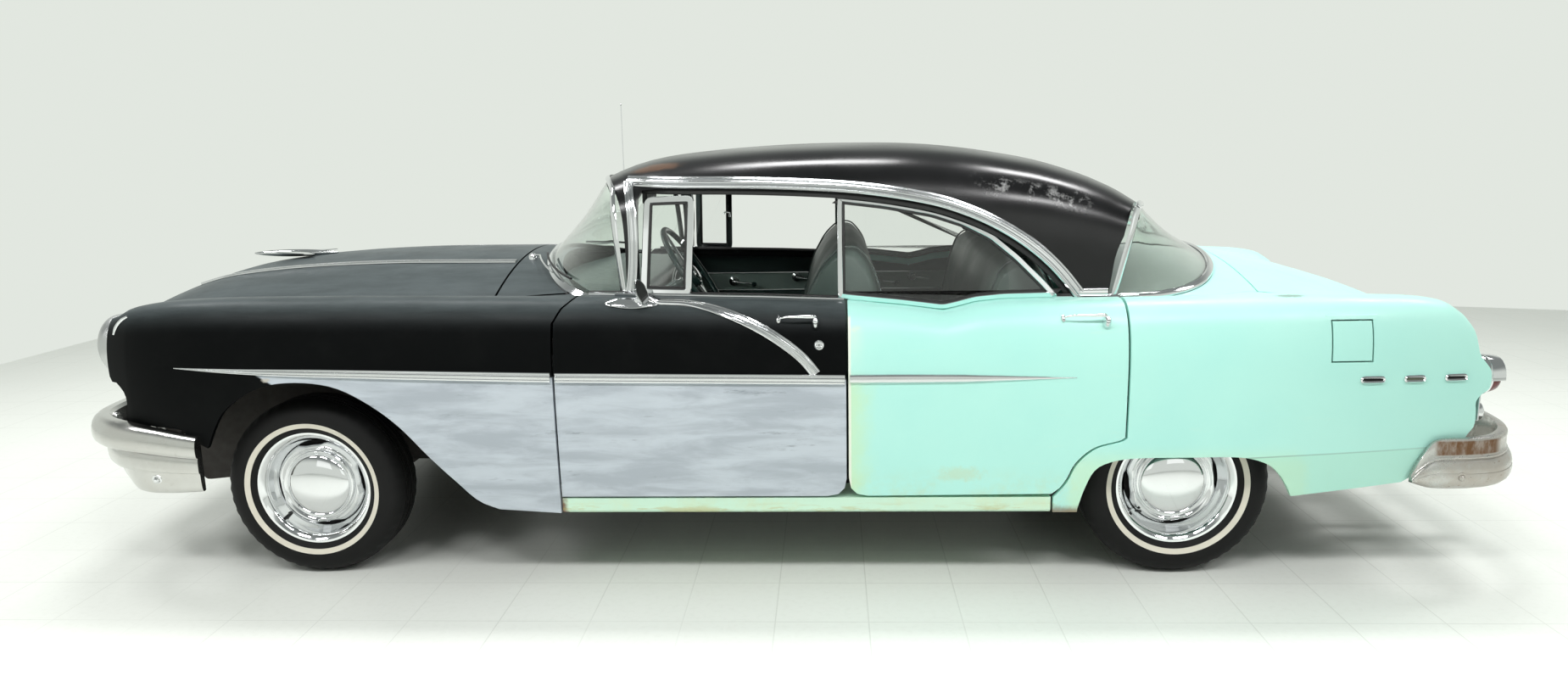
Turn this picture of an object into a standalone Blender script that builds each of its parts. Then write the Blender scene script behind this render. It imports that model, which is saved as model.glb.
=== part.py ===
"""A four-door hardtop saloon of the middle 1950s, as separate body panels on a ladder frame.

The car faces -X, its left side is -Y and it stands on z = 0. All lengths are in metres.
Tables and outlines hold shares of the named sizes that they follow.
"""

import math

import bmesh
import bpy
from mathutils import Matrix, Vector

# Overall sizes
LENGTH = 5.22
BODY_WIDTH = 1.908
HEIGHT = 1.53
WHEELBASE = 3.099
FRONT_OVERHANG = 0.91
BELT_HEIGHT = 1.0
SILL_HEIGHT = 0.27
WIDE_HEIGHT = 0.72
SECTION_FOOT = 0.22
GROUND_CLEARANCE = 0.175

# Clearances
SEAT_GAP = 0.0006
PANEL_GAP = 0.005
DOOR_GAP = 0.008
WINDOW_GAP = 0.006
ROOF_SEAT = 0.0012
SCREEN_SEAT = 0.0052
MIRROR_SEAT = 0.005
ANTENNA_SEAT = 0.0037
DASH_SIDE = 0.0796
OVERRUN = 0.05

# Wheels and tyres
TRACK = 1.49
TYRE_RADIUS = 0.328
TYRE_WIDTH = 0.205
SPINDLE_RADIUS = 0.0294
SPINDLE_REACH = 0.020
DRUM_RADIUS = 0.122
DRUM_INNER = 0.080
DRUM_OUTER = 0.017
KINGPIN_Y = 0.68

# Body panels
SHEET = 0.018
DOOR_EDGE_THICKNESS = 0.040
DOOR_THICKNESS = 0.058
DOOR_TAPER = 0.070
DOOR_LIP = 0.030
SILL_INNER_Y = 0.787
DECK_EDGE_Y = 0.772
DOOR_FRONT_X = -0.755
DOOR_MIDDLE_X = 0.244
DOOR_REAR_X = 1.177
DOOR_BOTTOM = 0.332
DOOR_CORNER = 0.065
NOSE_X = -2.40
NOSE_BLOCK = 0.10
TAIL_X = 2.392
TAIL_BLOCK = 0.09

# Lids and decks
HOOD_REAR_X = -1.045
HOOD_NOSE_X = -2.50
HOOD_NOSE_SWEEP = 0.08
LID_FRONT_X = 1.703
LID_TURN_X = 2.300
LID_REAR_X = 2.372
LID_BOTTOM = 0.620
HINGE_HEIGHT = 1.128
LID_HINGE_HEIGHT = 1.086
COWL_HALF_WIDTH = 0.779
COWL_LAP = 0.05
REAR_DECK_X = 1.03

# Greenhouse
ROOF_SHEET = 0.034
GLASS = 0.006
GLASS_HALF_WIDTH = 0.775
ROOF_FRONT_X = -0.525
ROOF_FRONT_SWEEP = 0.135
SCREEN_FOOT_X = -0.535
SCREEN_SWEEP = 0.415
BACKLIGHT_FOOT_X = 1.168
BACKLIGHT_SWEEP = 0.492
WINDOW_FOOT_Y = 0.790
WINDOW_LEAN = 0.080
WINDOW_RISE = 0.38
FRAME_DEPTH = 0.012

HALF_LENGTH = LENGTH / 2
HALF_WIDTH = BODY_WIDTH / 2
FRONT_AXLE_X = FRONT_OVERHANG - HALF_LENGTH
REAR_AXLE_X = FRONT_AXLE_X + WHEELBASE
AXLE_Z = TYRE_RADIUS

# Body stations: x of half length, crown height of belt height, then crown, widest, foot and
# inner-edge half widths of half width
BODY_SHARES = (
    (-0.935, 0.955, 0.760, 0.860, 0.830, 0.629),
    (-0.881, 0.998, 0.788, 0.922, 0.885, 0.632),
    (-0.805, 1.022, 0.812, 0.959, 0.928, 0.645),
    (-0.651, 1.030, 0.833, 0.983, 0.959, 0.666),
    (-0.421, 1.026, 0.844, 0.996, 0.970, 0.687),
    (-0.287, 1.020, 0.849, 1.000, 0.975, 0.693),
    (0.096, 0.998, 0.849, 1.000, 0.975, 0.812),
    (0.452, 0.998, 0.844, 1.000, 0.975, 0.812),
    (0.575, 1.001, 0.842, 0.998, 0.973, 0.790),
    (0.636, 1.002, 0.840, 0.995, 0.970, 0.706),
    (0.766, 0.998, 0.836, 0.982, 0.955, 0.678),
    (0.862, 0.975, 0.825, 0.958, 0.935, 0.668),
    (0.905, 0.905, 0.806, 0.940, 0.918, 0.664),
    (0.930, 0.880, 0.796, 0.930, 0.908, 0.664),
)

# Belt line of the doors: x of half length, height of belt height
BELT_SHARES = (
    (-0.290, 1.021),
    (-0.250, 1.024),
    (-0.172, 1.019),
    (-0.016, 1.008),
    (0.096, 0.996),
    (0.163, 0.980),
    (0.222, 0.960),
    (0.240, 0.970),
    (0.264, 0.986),
    (0.300, 0.995),
    (0.373, 0.996),
    (0.460, 0.996),
)

# Decks: x of half length, centre and edge heights of belt height
FRONT_DECK_SHARES = (
    (-0.965, 0.925, 0.850),
    (-0.940, 0.985, 0.885),
    (-0.900, 1.030, 0.910),
    (-0.843, 1.070, 0.925),
    (-0.736, 1.103, 0.935),
    (-0.594, 1.120, 0.940),
    (-0.452, 1.120, 0.940),
    (-0.395, 1.118, 0.945),
    (-0.287, 1.100, 0.975),
    (-0.160, 1.080, 0.987),
)
REAR_DECK_SHARES = (
    (0.394, 1.010, 0.985),
    (0.460, 1.030, 0.985),
    (0.575, 1.075, 0.982),
    (0.651, 1.083, 0.958),
    (0.728, 1.045, 0.932),
    (0.789, 1.000, 0.908),
    (0.850, 0.950, 0.878),
    (0.889, 0.905, 0.850),
)

# Roof stations: x of half length, top height of height
ROOF_SHARES = (
    (-0.270, 0.907),
    (-0.245, 0.932),
    (-0.200, 0.962),
    (-0.145, 0.980),
    (-0.023, 0.996),
    (0.100, 1.000),
    (0.222, 0.993),
    (0.345, 0.962),
    (0.414, 0.929),
    (0.464, 0.893),
    (0.498, 0.857),
    (0.540, 0.806),
)
# Rear edge of the roof: angle round the section in degrees, x of half length
ROOF_REAR_SHARES = (
    (0, 0.4395),
    (3, 0.4464),
    (12, 0.4579),
    (25, 0.4655),
    (38, 0.4732),
    (50, 0.4808),
    (62, 0.4923),
    (75, 0.5077),
    (90, 0.5211),
)
ROOF_ROW_SHARES = (0, 0.03, 0.08, 0.16, 0.28, 0.42, 0.56, 0.70, 0.82, 0.91, 0.96, 1)
ROOF_POWER = 5.0
SCREEN_POWER = 2.0
BACKLIGHT_POWER = 2.5

STATIONS = 10
LOWER_STEPS = 3
UPPER_STEPS = 6
INNER_STEPS = 3
WHEEL_STEPS = 20
CROWN_POWER = 2.7
DECK_POWER = 2.0

# Side-view outlines in shares of the tyre radius about the axle
FRONT_ARCH_SHARES = (
    (-1.043, 0.259),
    (-0.966, 0.64),
    (-0.75, 0.951),
    (-0.366, 1.201),
    (0.012, 1.28),
    (0.466, 1.241),
    (0.817, 1.079),
    (1.159, 0.817),
    (1.494, 0.439),
    (1.75, 0.174),
    (1.966, -0.037),
    (2.19, -0.134),
)
REAR_ARCH_SHARES = (
    (1.07, -0.012),
    (1.0, 0.125),
    (0.905, 0.256),
    (0.768, 0.357),
    (0.506, 0.421),
    (-0.012, 0.424),
    (-0.53, 0.418),
    (-0.79, 0.381),
    (-0.96, 0.29),
    (-1.058, 0.085),
    (-1.119, -0.128),
)
DOOR_NOTCH_SHARES = (
    (-0.671, 0.646),
    (-0.73, 0.61),
    (-0.979, 0.537),
    (-1.162, 0.375),
    (-1.253, 0.189),
    (-1.32, 0.09),
    (-1.40, 0.03),
)
# Ends of the fenders and quarters: x from the tip, height of belt height
NOSE_SHARES = (
    (0.115, 1.100),
    (0.060, 0.985),
    (0.015, 0.960),
    (0.000, 0.945),
    (0.000, 0.755),
    (0.030, 0.735),
    (0.065, 0.700),
    (0.072, 0.660),
    (0.060, 0.615),
    (0.075, 0.590),
    (0.280, 0.575),
    (0.285, 0.430),
)
TAIL_SHARES = (
    (0.115, 1.100),
    (0.075, 0.930),
    (0.055, 0.880),
    (0.045, 0.810),
    (0.025, 0.780),
    (0.000, 0.745),
    (0.000, 0.690),
    (0.027, 0.665),
    (0.033, 0.640),
    (0.018, 0.610),
    (0.015, 0.560),
    (0.035, 0.530),
    (0.085, 0.400),
    (0.272, 0.368),
)

# Side-view outlines: x of half length, z of height
SIDE_WINDOW_SHARES = (
    (-0.1851, 0.6209), (-0.1851, 0.8824), (-0.1782, 0.902), (-0.1303, 0.9092), (-0.0161, 0.9059),
    (0.0977, 0.8948), (0.1881, 0.8732), (0.2444, 0.8471), (0.3015, 0.8033), (0.359, 0.734),
    (0.3908, 0.6732), (0.4015, 0.6209),
)
VENT_SHARES = (
    (-0.182, 0.6676), (-0.1766, 0.8876), (-0.1084, 0.8902), (-0.113, 0.6637),
)
REAR_GLASS_SHARES = (
    (0.0824, 0.6562), (0.0824, 0.8837), (0.1456, 0.8699), (0.2092, 0.8497), (0.2529, 0.8248),
    (0.2881, 0.7941), (0.3222, 0.7458), (0.3567, 0.6863), (0.3736, 0.6529), (0.3, 0.6507),
    (0.264, 0.6451), (0.2398, 0.6346), (0.2218, 0.6281), (0.1628, 0.6408), (0.0966, 0.6526),
)
FLOOR_SHARES = (
    (-0.3885, 0.4706), (-0.3808, 0.4706), (-0.3602, 0.3366), (-0.3027, 0.2209), (0.3793, 0.2209),
    (0.4023, 0.3431), (0.6667, 0.3431), (0.6858, 0.3105), (0.8946, 0.3105), (0.8946, 0.2974),
    (0.682, 0.2974), (0.6628, 0.3301), (0.408, 0.3301), (0.3851, 0.2078), (-0.3065, 0.2078),
    (-0.3678, 0.3268),
)
RAIL_SHARES = (
    (-0.9004, 0.281), (-0.4406, 0.281), (-0.364, 0.2075), (0.3908, 0.2075), (0.4406, 0.3268),
    (0.6322, 0.3268), (0.6858, 0.2946), (0.8889, 0.2928), (0.8889, 0.2353), (0.6743, 0.2353),
    (0.6207, 0.2647), (0.4521, 0.2647), (0.3985, 0.1471), (-0.3755, 0.1471), (-0.4598, 0.2157),
    (-0.9004, 0.2157),
)
FRONT_SEAT_SHARES = (
    (-0.1648, 0.2213), (-0.1762, 0.2941), (-0.1724, 0.366), (-0.1533, 0.3987), (-0.0575, 0.4052),
    (0.0077, 0.3922), (0.023, 0.5229), (0.0421, 0.6536), (0.0651, 0.7255), (0.0881, 0.7614),
    (0.1111, 0.7614), (0.1322, 0.719), (0.1456, 0.6405), (0.1475, 0.5229), (0.1379, 0.3922),
    (0.1264, 0.2213),
)
REAR_SEAT_SHARES = (
    (0.1686, 0.2213), (0.1533, 0.2941), (0.1571, 0.366), (0.1762, 0.402), (0.2375, 0.4052),
    (0.2682, 0.3922), (0.2816, 0.5556), (0.2931, 0.6536), (0.3065, 0.7124), (0.3295, 0.7353),
    (0.3525, 0.732), (0.3755, 0.6732), (0.3824, 0.6209), (0.3839, 0.3464), (0.3697, 0.3268),
    (0.3563, 0.2213),
)
SPRING_SHARES = (
    (0.3065, 0.1863), (0.4215, 0.1863), (0.536, 0.1843), (0.6513, 0.2124), (0.7663, 0.2745),
    (0.7701, 0.2549), (0.6552, 0.1915), (0.536, 0.1647), (0.4215, 0.1667), (0.3065, 0.1667),
)
TAIL_PANEL_SHARES = (
    (0.895, 0.3072), (0.9004, 0.4), (0.9084, 0.4), (0.9031, 0.3072),
)
DASH_SHARES = (
    (-0.1992, 0.6634), (-0.187, 0.6503), (-0.1839, 0.6078), (-0.1916, 0.5359), (-0.2088, 0.5163),
)

# Boxes: low and high corners, x of half length, y of half width, z of height
FIREWALL_BOX_SHARES = (
    (-0.3973, 0.6289, 0.3268), (-0.3897, 0.6289, 0.3268),
)
HINGE_POST_SHARES = (
    (-0.2854, 0.7338, 0.2213), (-0.1935, 0.8155, 0.6418),
)
APRON_SHARES = (
    (-0.8697, 0.4665, 0.3268), (-0.3927, 0.4874, 0.5882),
)
APRON_SHELF_SHARES = (
    (-0.8697, 0.4717, 0.5784), (-0.3927, 0.6734, 0.5882),
)
RADIATOR_SUPPORT_SHARES = (
    (-0.8697, -0.4822, 0.2941), (-0.8621, 0.4822, 0.5882),
)
RADIATOR_SHARES = (
    (-0.864, -0.3459, 0.3072), (-0.8429, 0.3459, 0.5817),
)
SHELF_WALL_SHARES = (
    (0.3966, -0.6126, 0.3529), (0.4023, 0.6126, 0.6536),
)
WHEEL_CUT_SHARES = (
    (0.3908, 0.6289, 0.1307), (0.6839, 0.9434, 0.4575),
)
WHEEL_TUB_SHARES = (
    (0.3851, 0.6132, 0.2614), (0.6897, 0.8124, 0.5425),
)
FLOOR_END_SHARES = (
    (0.8793, 0.6562, 0.2614), (0.9195, 0.9434, 0.3922),
)
TUB_INSIDE_SHARES = (
    (0.3908, 0.6289, 0.1634), (0.6839, 0.9434, 0.5327),
)
RAIL_BOX_SHARES = (
    (0, 0.3774, 0), (0, 0.4403, 0),
)
CROSS_MEMBER_SHARES = (
    (-0.8985, -0.3826, 0.219), (-0.8755, 0.3826, 0.2778), (-0.6782, -0.3826, 0.1275),
    (-0.6245, 0.3826, 0.1728), (-0.3027, -0.3826, 0.1144), (-0.272, 0.3826, 0.1386),
    (0.0038, -0.3826, 0.1144), (0.0345, 0.3826, 0.1453), (0.6782, -0.3826, 0.2451),
    (0.7011, 0.3826, 0.2876), (0.8659, -0.3826, 0.2386), (0.887, 0.3826, 0.2876),
)
DROP_BOX_SHARES = (
    (0.3008, 0.4298, 0.1867), (0.318, 0.5556, 0.2043), (0.7605, 0.4298, 0.2749),
    (0.7739, 0.5556, 0.2915), (-0.6782, 0.3721, 0.1275), (-0.6245, 0.4455, 0.2255),
    (-0.3027, 0.3721, 0.1144), (-0.272, 0.4455, 0.1699), (0.0038, 0.3721, 0.1144),
    (0.0345, 0.4455, 0.1699),
)
ENGINE_SHARES = (
    (-0.7739, -0.2778, 0.1732), (-0.5096, 0.2778, 0.5229),
)
AIR_CLEANER_SHARES = (
    (-0.6973, -0.1572, 0.5163), (-0.5824, 0.1572, 0.6078),
)
GEARBOX_SHARES = (
    (-0.5115, -0.1363, 0.1503), (-0.3065, 0.1363, 0.2059),
)
BELL_SHARES = (
    (-0.5115, -0.2096, 0.1536), (-0.4138, 0.2096, 0.3922),
)
TANK_SHARES = (
    (0.7126, -0.2306, 0.1765), (0.8582, 0.3616, 0.297),
)
SPRING_PAD_SHARES = (
    (0.5134, 0.4927, 0.1797), (0.5594, 0.5556, 0.2124),
)
SPRING_SPAN_SHARES = (
    (0, 0.4927, 0), (0, 0.5556, 0),
)
FUEL_HOLE_SHARES = (
    (0.7057, -1.0482, 0.5163), (0.759, -0.8543, 0.6078),
)
FUEL_CUP_SHARES = (
    (0.7004, -0.9748, 0.5072), (0.7644, -0.8386, 0.617),
)
NOSE_OPENING_SHARES = (
    (-0.9962, -0.5556, 0.4118), (-0.8812, 0.5556, 0.549),
)
NOSE_PANEL_SHARES = (
    (-0.9272, 0.6294, 0.3693), (-0.9195, 0.6294, 0.3693),
)
GRILLE_RIM_SHARES = (
    (-0.9425, -0.5818, 0.3967), (-0.9274, 0.5818, 0.5641),
)
GRILLE_HOLE_SHARES = (
    (-0.9962, -0.5556, 0.4131), (-0.8812, 0.5556, 0.5477),
)
GRILLE_BAR_SHARES = (
    (-0.9375, -0.566, 0.4366), (-0.9318, 0.566, 0.4458), (-0.9375, -0.566, 0.4627),
    (-0.9318, 0.566, 0.4719), (-0.9375, -0.566, 0.4889), (-0.9318, 0.566, 0.498),
    (-0.9375, -0.566, 0.515), (-0.9318, 0.566, 0.5242), (-0.9364, -0.0084, 0.4052),
    (-0.931, 0.0084, 0.5556), (-0.9364, -0.3019, 0.4052), (-0.931, -0.2851, 0.5556),
    (-0.9364, 0.2851, 0.4052), (-0.931, 0.3019, 0.5556),
)
FRONT_BRACKET_SHARES = (
    (-0.9847, 0.3774, 0.232), (-0.9006, 0.4403, 0.2647),
)
REAR_BRACKET_SHARES = (
    (0.8891, 0.3774, 0.2516), (0.9847, 0.4403, 0.2843),
)
FRONT_SEAT_HALF = 0.67
REAR_SEAT_HALF = 0.70
LAMP_PLATE_SHARES = (
    (0.9167, 0.7862, 0.366), (0.9195, 0.8805, 0.4771),
)

# Bumper stations: x of half length, inner half width of half width, bulge, top and bottom shares
FRONT_BUMPER_SHARES = (
    (-0.7854, 0.9623, 0.55, 0.3608, 0.2288), (-0.8123, 0.9591, 0.6, 0.3693, 0.2255),
    (-0.8429, 0.9539, 0.65, 0.3791, 0.2235), (-0.8889, 0.9361, 0.8, 0.3922, 0.2222),
    (-0.9272, 0.8805, 0.95, 0.3941, 0.2222), (-0.9617, 0.7757, 1, 0.3941, 0.2222),
    (-0.977, 0.5765, 1, 0.3941, 0.2222), (-0.9789, 0.2621, 1, 0.3941, 0.2222),
)
REAR_BUMPER_SHARES = (
    (0.8199, 0.9665, 0.4, 0.2614, 0.2431), (0.8333, 0.9659, 0.45, 0.3072, 0.2353),
    (0.8506, 0.9644, 0.5, 0.3399, 0.2288), (0.8927, 0.9497, 0.7, 0.3425, 0.2255),
    (0.931, 0.9078, 0.95, 0.3444, 0.2255), (0.9617, 0.7966, 1, 0.3477, 0.2255),
    (0.977, 0.5765, 1, 0.3477, 0.2255), (0.9789, 0.2621, 1, 0.3477, 0.2255),
)
BUMPER_BULGE = 0.055
# Bumper sections: outward share of the bulge, height share from bottom to top
FRONT_BUMPER_SECTION = (
    (0, 0), (0.30, 0.03), (0.60, 0.17), (0.80, 0.33), (0.80, 0.43), (0.62, 0.48),
    (0.85, 0.54), (1.0, 0.66), (0.95, 0.80), (0.62, 0.95), (0.30, 1), (0, 1),
)
REAR_BUMPER_SECTION = (
    (0, 0), (0.45, 0.02), (0.90, 0.14), (1.0, 0.32), (0.88, 0.46), (0.62, 0.56),
    (0.55, 0.80), (0.50, 0.95), (0.25, 1), (0, 1),
)
BOMB_Y = 0.42
BOMB_Z = 0.50
# Turned profiles: radius and offset in shares of the named size
BOMB_RADIUS = 0.085
BOMB_SHARES = ((0, -1.28), (0.35, -1.22), (0.68, -0.98), (0.94, -0.55), (1, 0), (1, 0.55), (0, 0.55))
TYRE_SHARES = (
    (0.5826, -0.1966), (0.6268, -0.2216), (0.6646, -0.2683), (0.7774, -0.3125), (0.9024, -0.2835),
    (0.9726, -0.2195), (1, -0.1463), (1, 0.1463), (0.9726, 0.2195), (0.9024, 0.2835), (0.7774, 0.3125),
    (0.6646, 0.2683), (0.6268, 0.2216), (0.5826, 0.1966),
)
RIM_SHARES = (
    (0.625, 0.2439), (0.625, 0.2256), (0.5808, 0.2012), (0.5808, 0.1372), (0.5122, 0.061),
    (0.5122, -0.061), (0.5808, -0.1372), (0.5808, -0.2012), (0.625, -0.2256), (0.625, -0.2439),
    (0.5625, -0.2195), (0.4939, -0.0671), (0.4939, 0.0427), (0.1524, 0.0671), (0.1524, -0.0305),
    (0.0915, -0.0305), (0.0915, 0.0915), (0, 0.0915), (0, 0.2256), (0.1829, 0.2104), (0.3171, 0.1585),
    (0.3841, 0.0854), (0.4878, 0.0854), (0.5625, 0.2134),
)
HEADLAMP_RADIUS = 0.112
HEADLAMP_Y = 0.713
HEADLAMP_Z = 0.850
HEADLAMP_SHARES = ((0, 0), (1, 0), (1, -0.35), (0.96, -0.70), (0.86, -0.94), (0.76, -0.88), (0.70, -0.66), (0.35, -0.80), (0, -0.84))
TAIL_LAMP_RADIUS = 0.070
TAIL_LAMP_Y = 0.795
TAIL_LAMP_Z = 0.715
TAIL_LAMP_SHARES = ((0, 0.0), (1, 0.0), (1, 0.30), (0.86, 0.62), (0.70, 0.66), (0.55, 0.78), (0.30, 0.98), (0, 1.04))
REVERSING_LAMP_RADIUS = 0.034
REVERSING_LAMP_Z = 0.585
REVERSING_LAMP_SHARES = ((0, 0.05), (1, 0.05), (1, 0.42), (0.82, 0.66), (0.50, 0.86), (0, 0.95))

# Steering wheel
STEERING_X = -0.337
STEERING_Y = -0.37
STEERING_Z = 1.04
STEERING_RADIUS = 0.205
STEERING_GRIP = 0.011
STEERING_TILT = 56.8
STEERING_STEPS = 24
HUB_SHARES = ((0, -0.36), (0.10, -0.36), (0.10, -0.20), (0.22, -0.14), (0.24, -0.02), (0.16, 0.06), (0, 0.08))
SPOKE_SHARES = ((-0.97, -0.09, -0.07), (0.97, 0.09, -0.02))
COLUMN_RADIUS = 0.026
COLUMN_START = 0.0744
COLUMN_LENGTH = 0.40

# Chassis parts
ARM_SHARES = (
    (-0.0498, 0.3795, 0.1216), (-0.0084, 0.6866, 0.119), (0.0084, 0.6866, 0.119),
    (0.0498, 0.3795, 0.1216),
)
UPPER_ARM_Z = 0.459
LOWER_ARM_Z = 0.180
ARM_THICKNESS = 0.020
ARM_ROOT_Y = 0.37
ARM_TIP_Y = 0.655
ARM_ROOT_HALF = 0.12
ARM_TIP_HALF = 0.020
SPRING_TOWER_Y = 0.455
SPRING_TOWER_RADIUS = 0.042
UPRIGHT_SHARES = (
    (-0.0077, -0.0178, -0.0833), (0.0077, 0.0314, 0.0852),
)
STEERING_ARM_SHARES = (
    (0.0038, -0.0126, -0.049), (0.0517, 0.0294, -0.0294),
)
AXLE_TUBE_RADIUS = 0.035
DIFFERENTIAL_SHARES = (
    (0, -0.1363), (0.0629, -0.1258), (0.1153, -0.0734), (0.1258, 0), (0.1153, 0.0734),
    (0.0629, 0.1258), (0, 0.1363),
)
SHAFT_RADIUS = 0.028
SHAFT_SHARES = (
    (-0.3084, 0, 0.1752), (0.4915, 0, 0.1882),
)
PIPE_RADIUS = 0.024
EXHAUST_SHARES = (
    (-0.5556, -0.3249, 0.3268), (-0.4789, -0.3249, 0.2484), (-0.3755, -0.3145, 0.1712),
    (-0.2299, -0.283, 0.1614), (0.364, -0.2621, 0.1614), (0.4368, -0.2621, 0.2157),
    (0.4904, -0.2621, 0.2778), (0.5824, -0.2621, 0.281), (0.6437, -0.283, 0.2418),
    (0.6897, -0.2987, 0.2059), (0.931, -0.3145, 0.1928),
)
MUFFLER_SHARES = (
    (0.0843, -0.2621, 0.1588), (0.2759, -0.2621, 0.1588),
)
MUFFLER_RADIUS = 0.062

# Antenna, mirror and ornament
ANTENNA_X = -0.815
ANTENNA_Y = 0.75
ANTENNA_TOP = 1.733
ANTENNA_RADIUS = 0.022
ANTENNA_SHARES = ((0, 0), (1, 0), (0.95, 0.012), (0.50, 0.055), (0.16, 0.060), (0.10, 0.999), (0, 1))
MIRROR_X = -0.492
MIRROR_Y = 0.884
MIRROR_LENGTH = 0.180
MIRROR_RISE = 0.014
MIRROR_BASE_SHARES = ((-0.5, 0.02), (-0.42, 0.10), (-0.20, 0.17), (0.05, 0.19), (0.28, 0.15), (0.44, 0.08), (0.5, 0.02))
MIRROR_HEAD_SHARES = (
    (-0.1732, -0.9486, 0.683),
)
MIRROR_HEAD_RADIUS = 0.044
MIRROR_PROFILE_SHARES = ((0, -0.45), (0.45, -0.40), (0.85, -0.18), (1, 0.10), (0.95, 0.20), (0, 0.14))
STALK_RADIUS = 0.007
ORNAMENT_SHARES = (
    (-0.8755, 0.0042, 0.002), (-0.8582, 0.0168, 0.0065), (-0.8276, 0.0273, 0.0098),
    (-0.7893, 0.0231, 0.0098), (-0.7586, 0.0126, 0.0065), (-0.7356, 0.0031, 0.002),
)
ORNAMENT_Z = 1.1066
ORNAMENT_WING_SHARES = (
    (-0.8467, 0.0126), (-0.7739, 0.1101), (-0.7548, 0.1101), (-0.7778, 0.0126),
)
ORNAMENT_WING = 0.008

MINT = (0.30, 0.78, 0.66)
BLACK = (0.012, 0.013, 0.015)
PRIMER = (0.36, 0.38, 0.44)
CHROME = (0.75, 0.75, 0.74)
STEEL = (0.08, 0.08, 0.085)
RUBBER = (0.015, 0.015, 0.016)
TRIM_GREEN = (0.10, 0.16, 0.15)
GLASS_TINT = (0.45, 0.60, 0.55)


def clear_scene():
    for obj in list(bpy.data.objects):
        bpy.data.objects.remove(obj, do_unlink=True)


def material(name, colour, roughness, metallic=0.0, alpha=1.0):
    made = bpy.data.materials.new(name)
    made.use_nodes = True
    shader = made.node_tree.nodes["Principled BSDF"]
    shader.inputs["Base Color"].default_value = (*colour, 1.0)
    shader.inputs["Roughness"].default_value = roughness
    shader.inputs["Metallic"].default_value = metallic
    shader.inputs["Alpha"].default_value = alpha
    return made


def new_object(name, mesh, finish):
    obj = bpy.data.objects.new(name, mesh)
    bpy.context.scene.collection.objects.link(obj)
    mesh.materials.clear()
    mesh.materials.append(finish)
    return obj


def smooth_faces(mesh):
    mesh.shade_smooth()
    mesh.set_sharp_from_angle(angle=math.radians(30))


def solid(name, verts, faces, finish):
    """A closed mesh from points and faces, its faces pointing out."""
    mesh = bpy.data.meshes.new(name)
    mesh.from_pydata([tuple(v) for v in verts], [], faces)
    work = bmesh.new()
    work.from_mesh(mesh)
    bmesh.ops.remove_doubles(work, verts=work.verts, dist=SEAT_GAP / 10)
    bmesh.ops.recalc_face_normals(work, faces=work.faces)
    work.to_mesh(mesh)
    work.free()
    smooth_faces(mesh)
    return new_object(name, mesh, finish)


def loft(name, rings, finish, closed=False):
    """Skins rings of equal count. Open lofts get flat ends."""
    count = len(rings[0])
    verts = [p for ring in rings for p in ring]
    spans = len(rings) if closed else len(rings) - 1
    faces = []
    for i in range(spans):
        a, b = i * count, ((i + 1) % len(rings)) * count
        for j in range(count):
            k = (j + 1) % count
            faces.append((a + j, a + k, b + k, b + j))
    if not closed:
        faces.append(tuple(range(count)))
        last = (len(rings) - 1) * count
        faces.append(tuple(last + j for j in reversed(range(count))))
    return solid(name, verts, faces, finish)


def shell(name, outer, inner, finish):
    """A wall between two grids of points of the same size."""
    rows, columns = len(outer), len(outer[0])
    verts = [p for row in outer for p in row] + [p for row in inner for p in row]
    base = rows * columns

    def at(i, j, side):
        return side * base + i * columns + j

    faces = []
    for i in range(rows - 1):
        for j in range(columns - 1):
            faces.append((at(i, j, 0), at(i + 1, j, 0), at(i + 1, j + 1, 0), at(i, j + 1, 0)))
            faces.append((at(i, j, 1), at(i, j + 1, 1), at(i + 1, j + 1, 1), at(i + 1, j, 1)))
    rim = [(i, 0) for i in range(rows)]
    rim += [(rows - 1, j) for j in range(1, columns)]
    rim += [(i, columns - 1) for i in reversed(range(rows - 1))]
    rim += [(0, j) for j in reversed(range(1, columns - 1))]
    for (i, j), (k, m) in zip(rim, rim[1:] + rim[:1]):
        faces.append((at(i, j, 0), at(k, m, 0), at(k, m, 1), at(i, j, 1)))
    return solid(name, verts, faces, finish)


def thickened(name, outer, depth, finish):
    """A wall of one depth behind a grid whose rows run back and columns run to the right."""
    rows, columns = len(outer), len(outer[0])
    inner = []
    for i, row in enumerate(outer):
        line = []
        for j, p in enumerate(row):
            along = Vector(outer[min(i + 1, rows - 1)][j]) - Vector(outer[max(i - 1, 0)][j])
            across = Vector(row[min(j + 1, columns - 1)]) - Vector(row[max(j - 1, 0)])
            line.append(Vector(p) - along.cross(across).normalized() * depth)
        inner.append(line)
    return shell(name, outer, inner, finish)


def prism(name, outline, low_y, high_y, finish):
    """A side-view outline of (x, z) points, extruded across the car."""
    return loft(name, [[(x, y, z) for x, z in outline] for y in (low_y, high_y)], finish)


def box(name, low, high, finish):
    (x0, y0, z0), (x1, y1, z1) = low, high
    return prism(name, [(x0, z0), (x1, z0), (x1, z1), (x0, z1)], y0, y1, finish)


def place(share):
    return (share[0] * HALF_LENGTH, share[1] * HALF_WIDTH, share[2] * HEIGHT)


def side(table):
    return [(x * HALF_LENGTH, z * HEIGHT) for x, z in table]


def block(name, corners, finish, mirror=False):
    """A box from two corners in shares, on the other side of the car if mirror is set."""
    low, high = place(corners[0]), place(corners[1])
    if mirror:
        low, high = (low[0], -high[1], low[2]), (high[0], -low[1], high[2])
    return box(name, low, high, finish)


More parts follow.
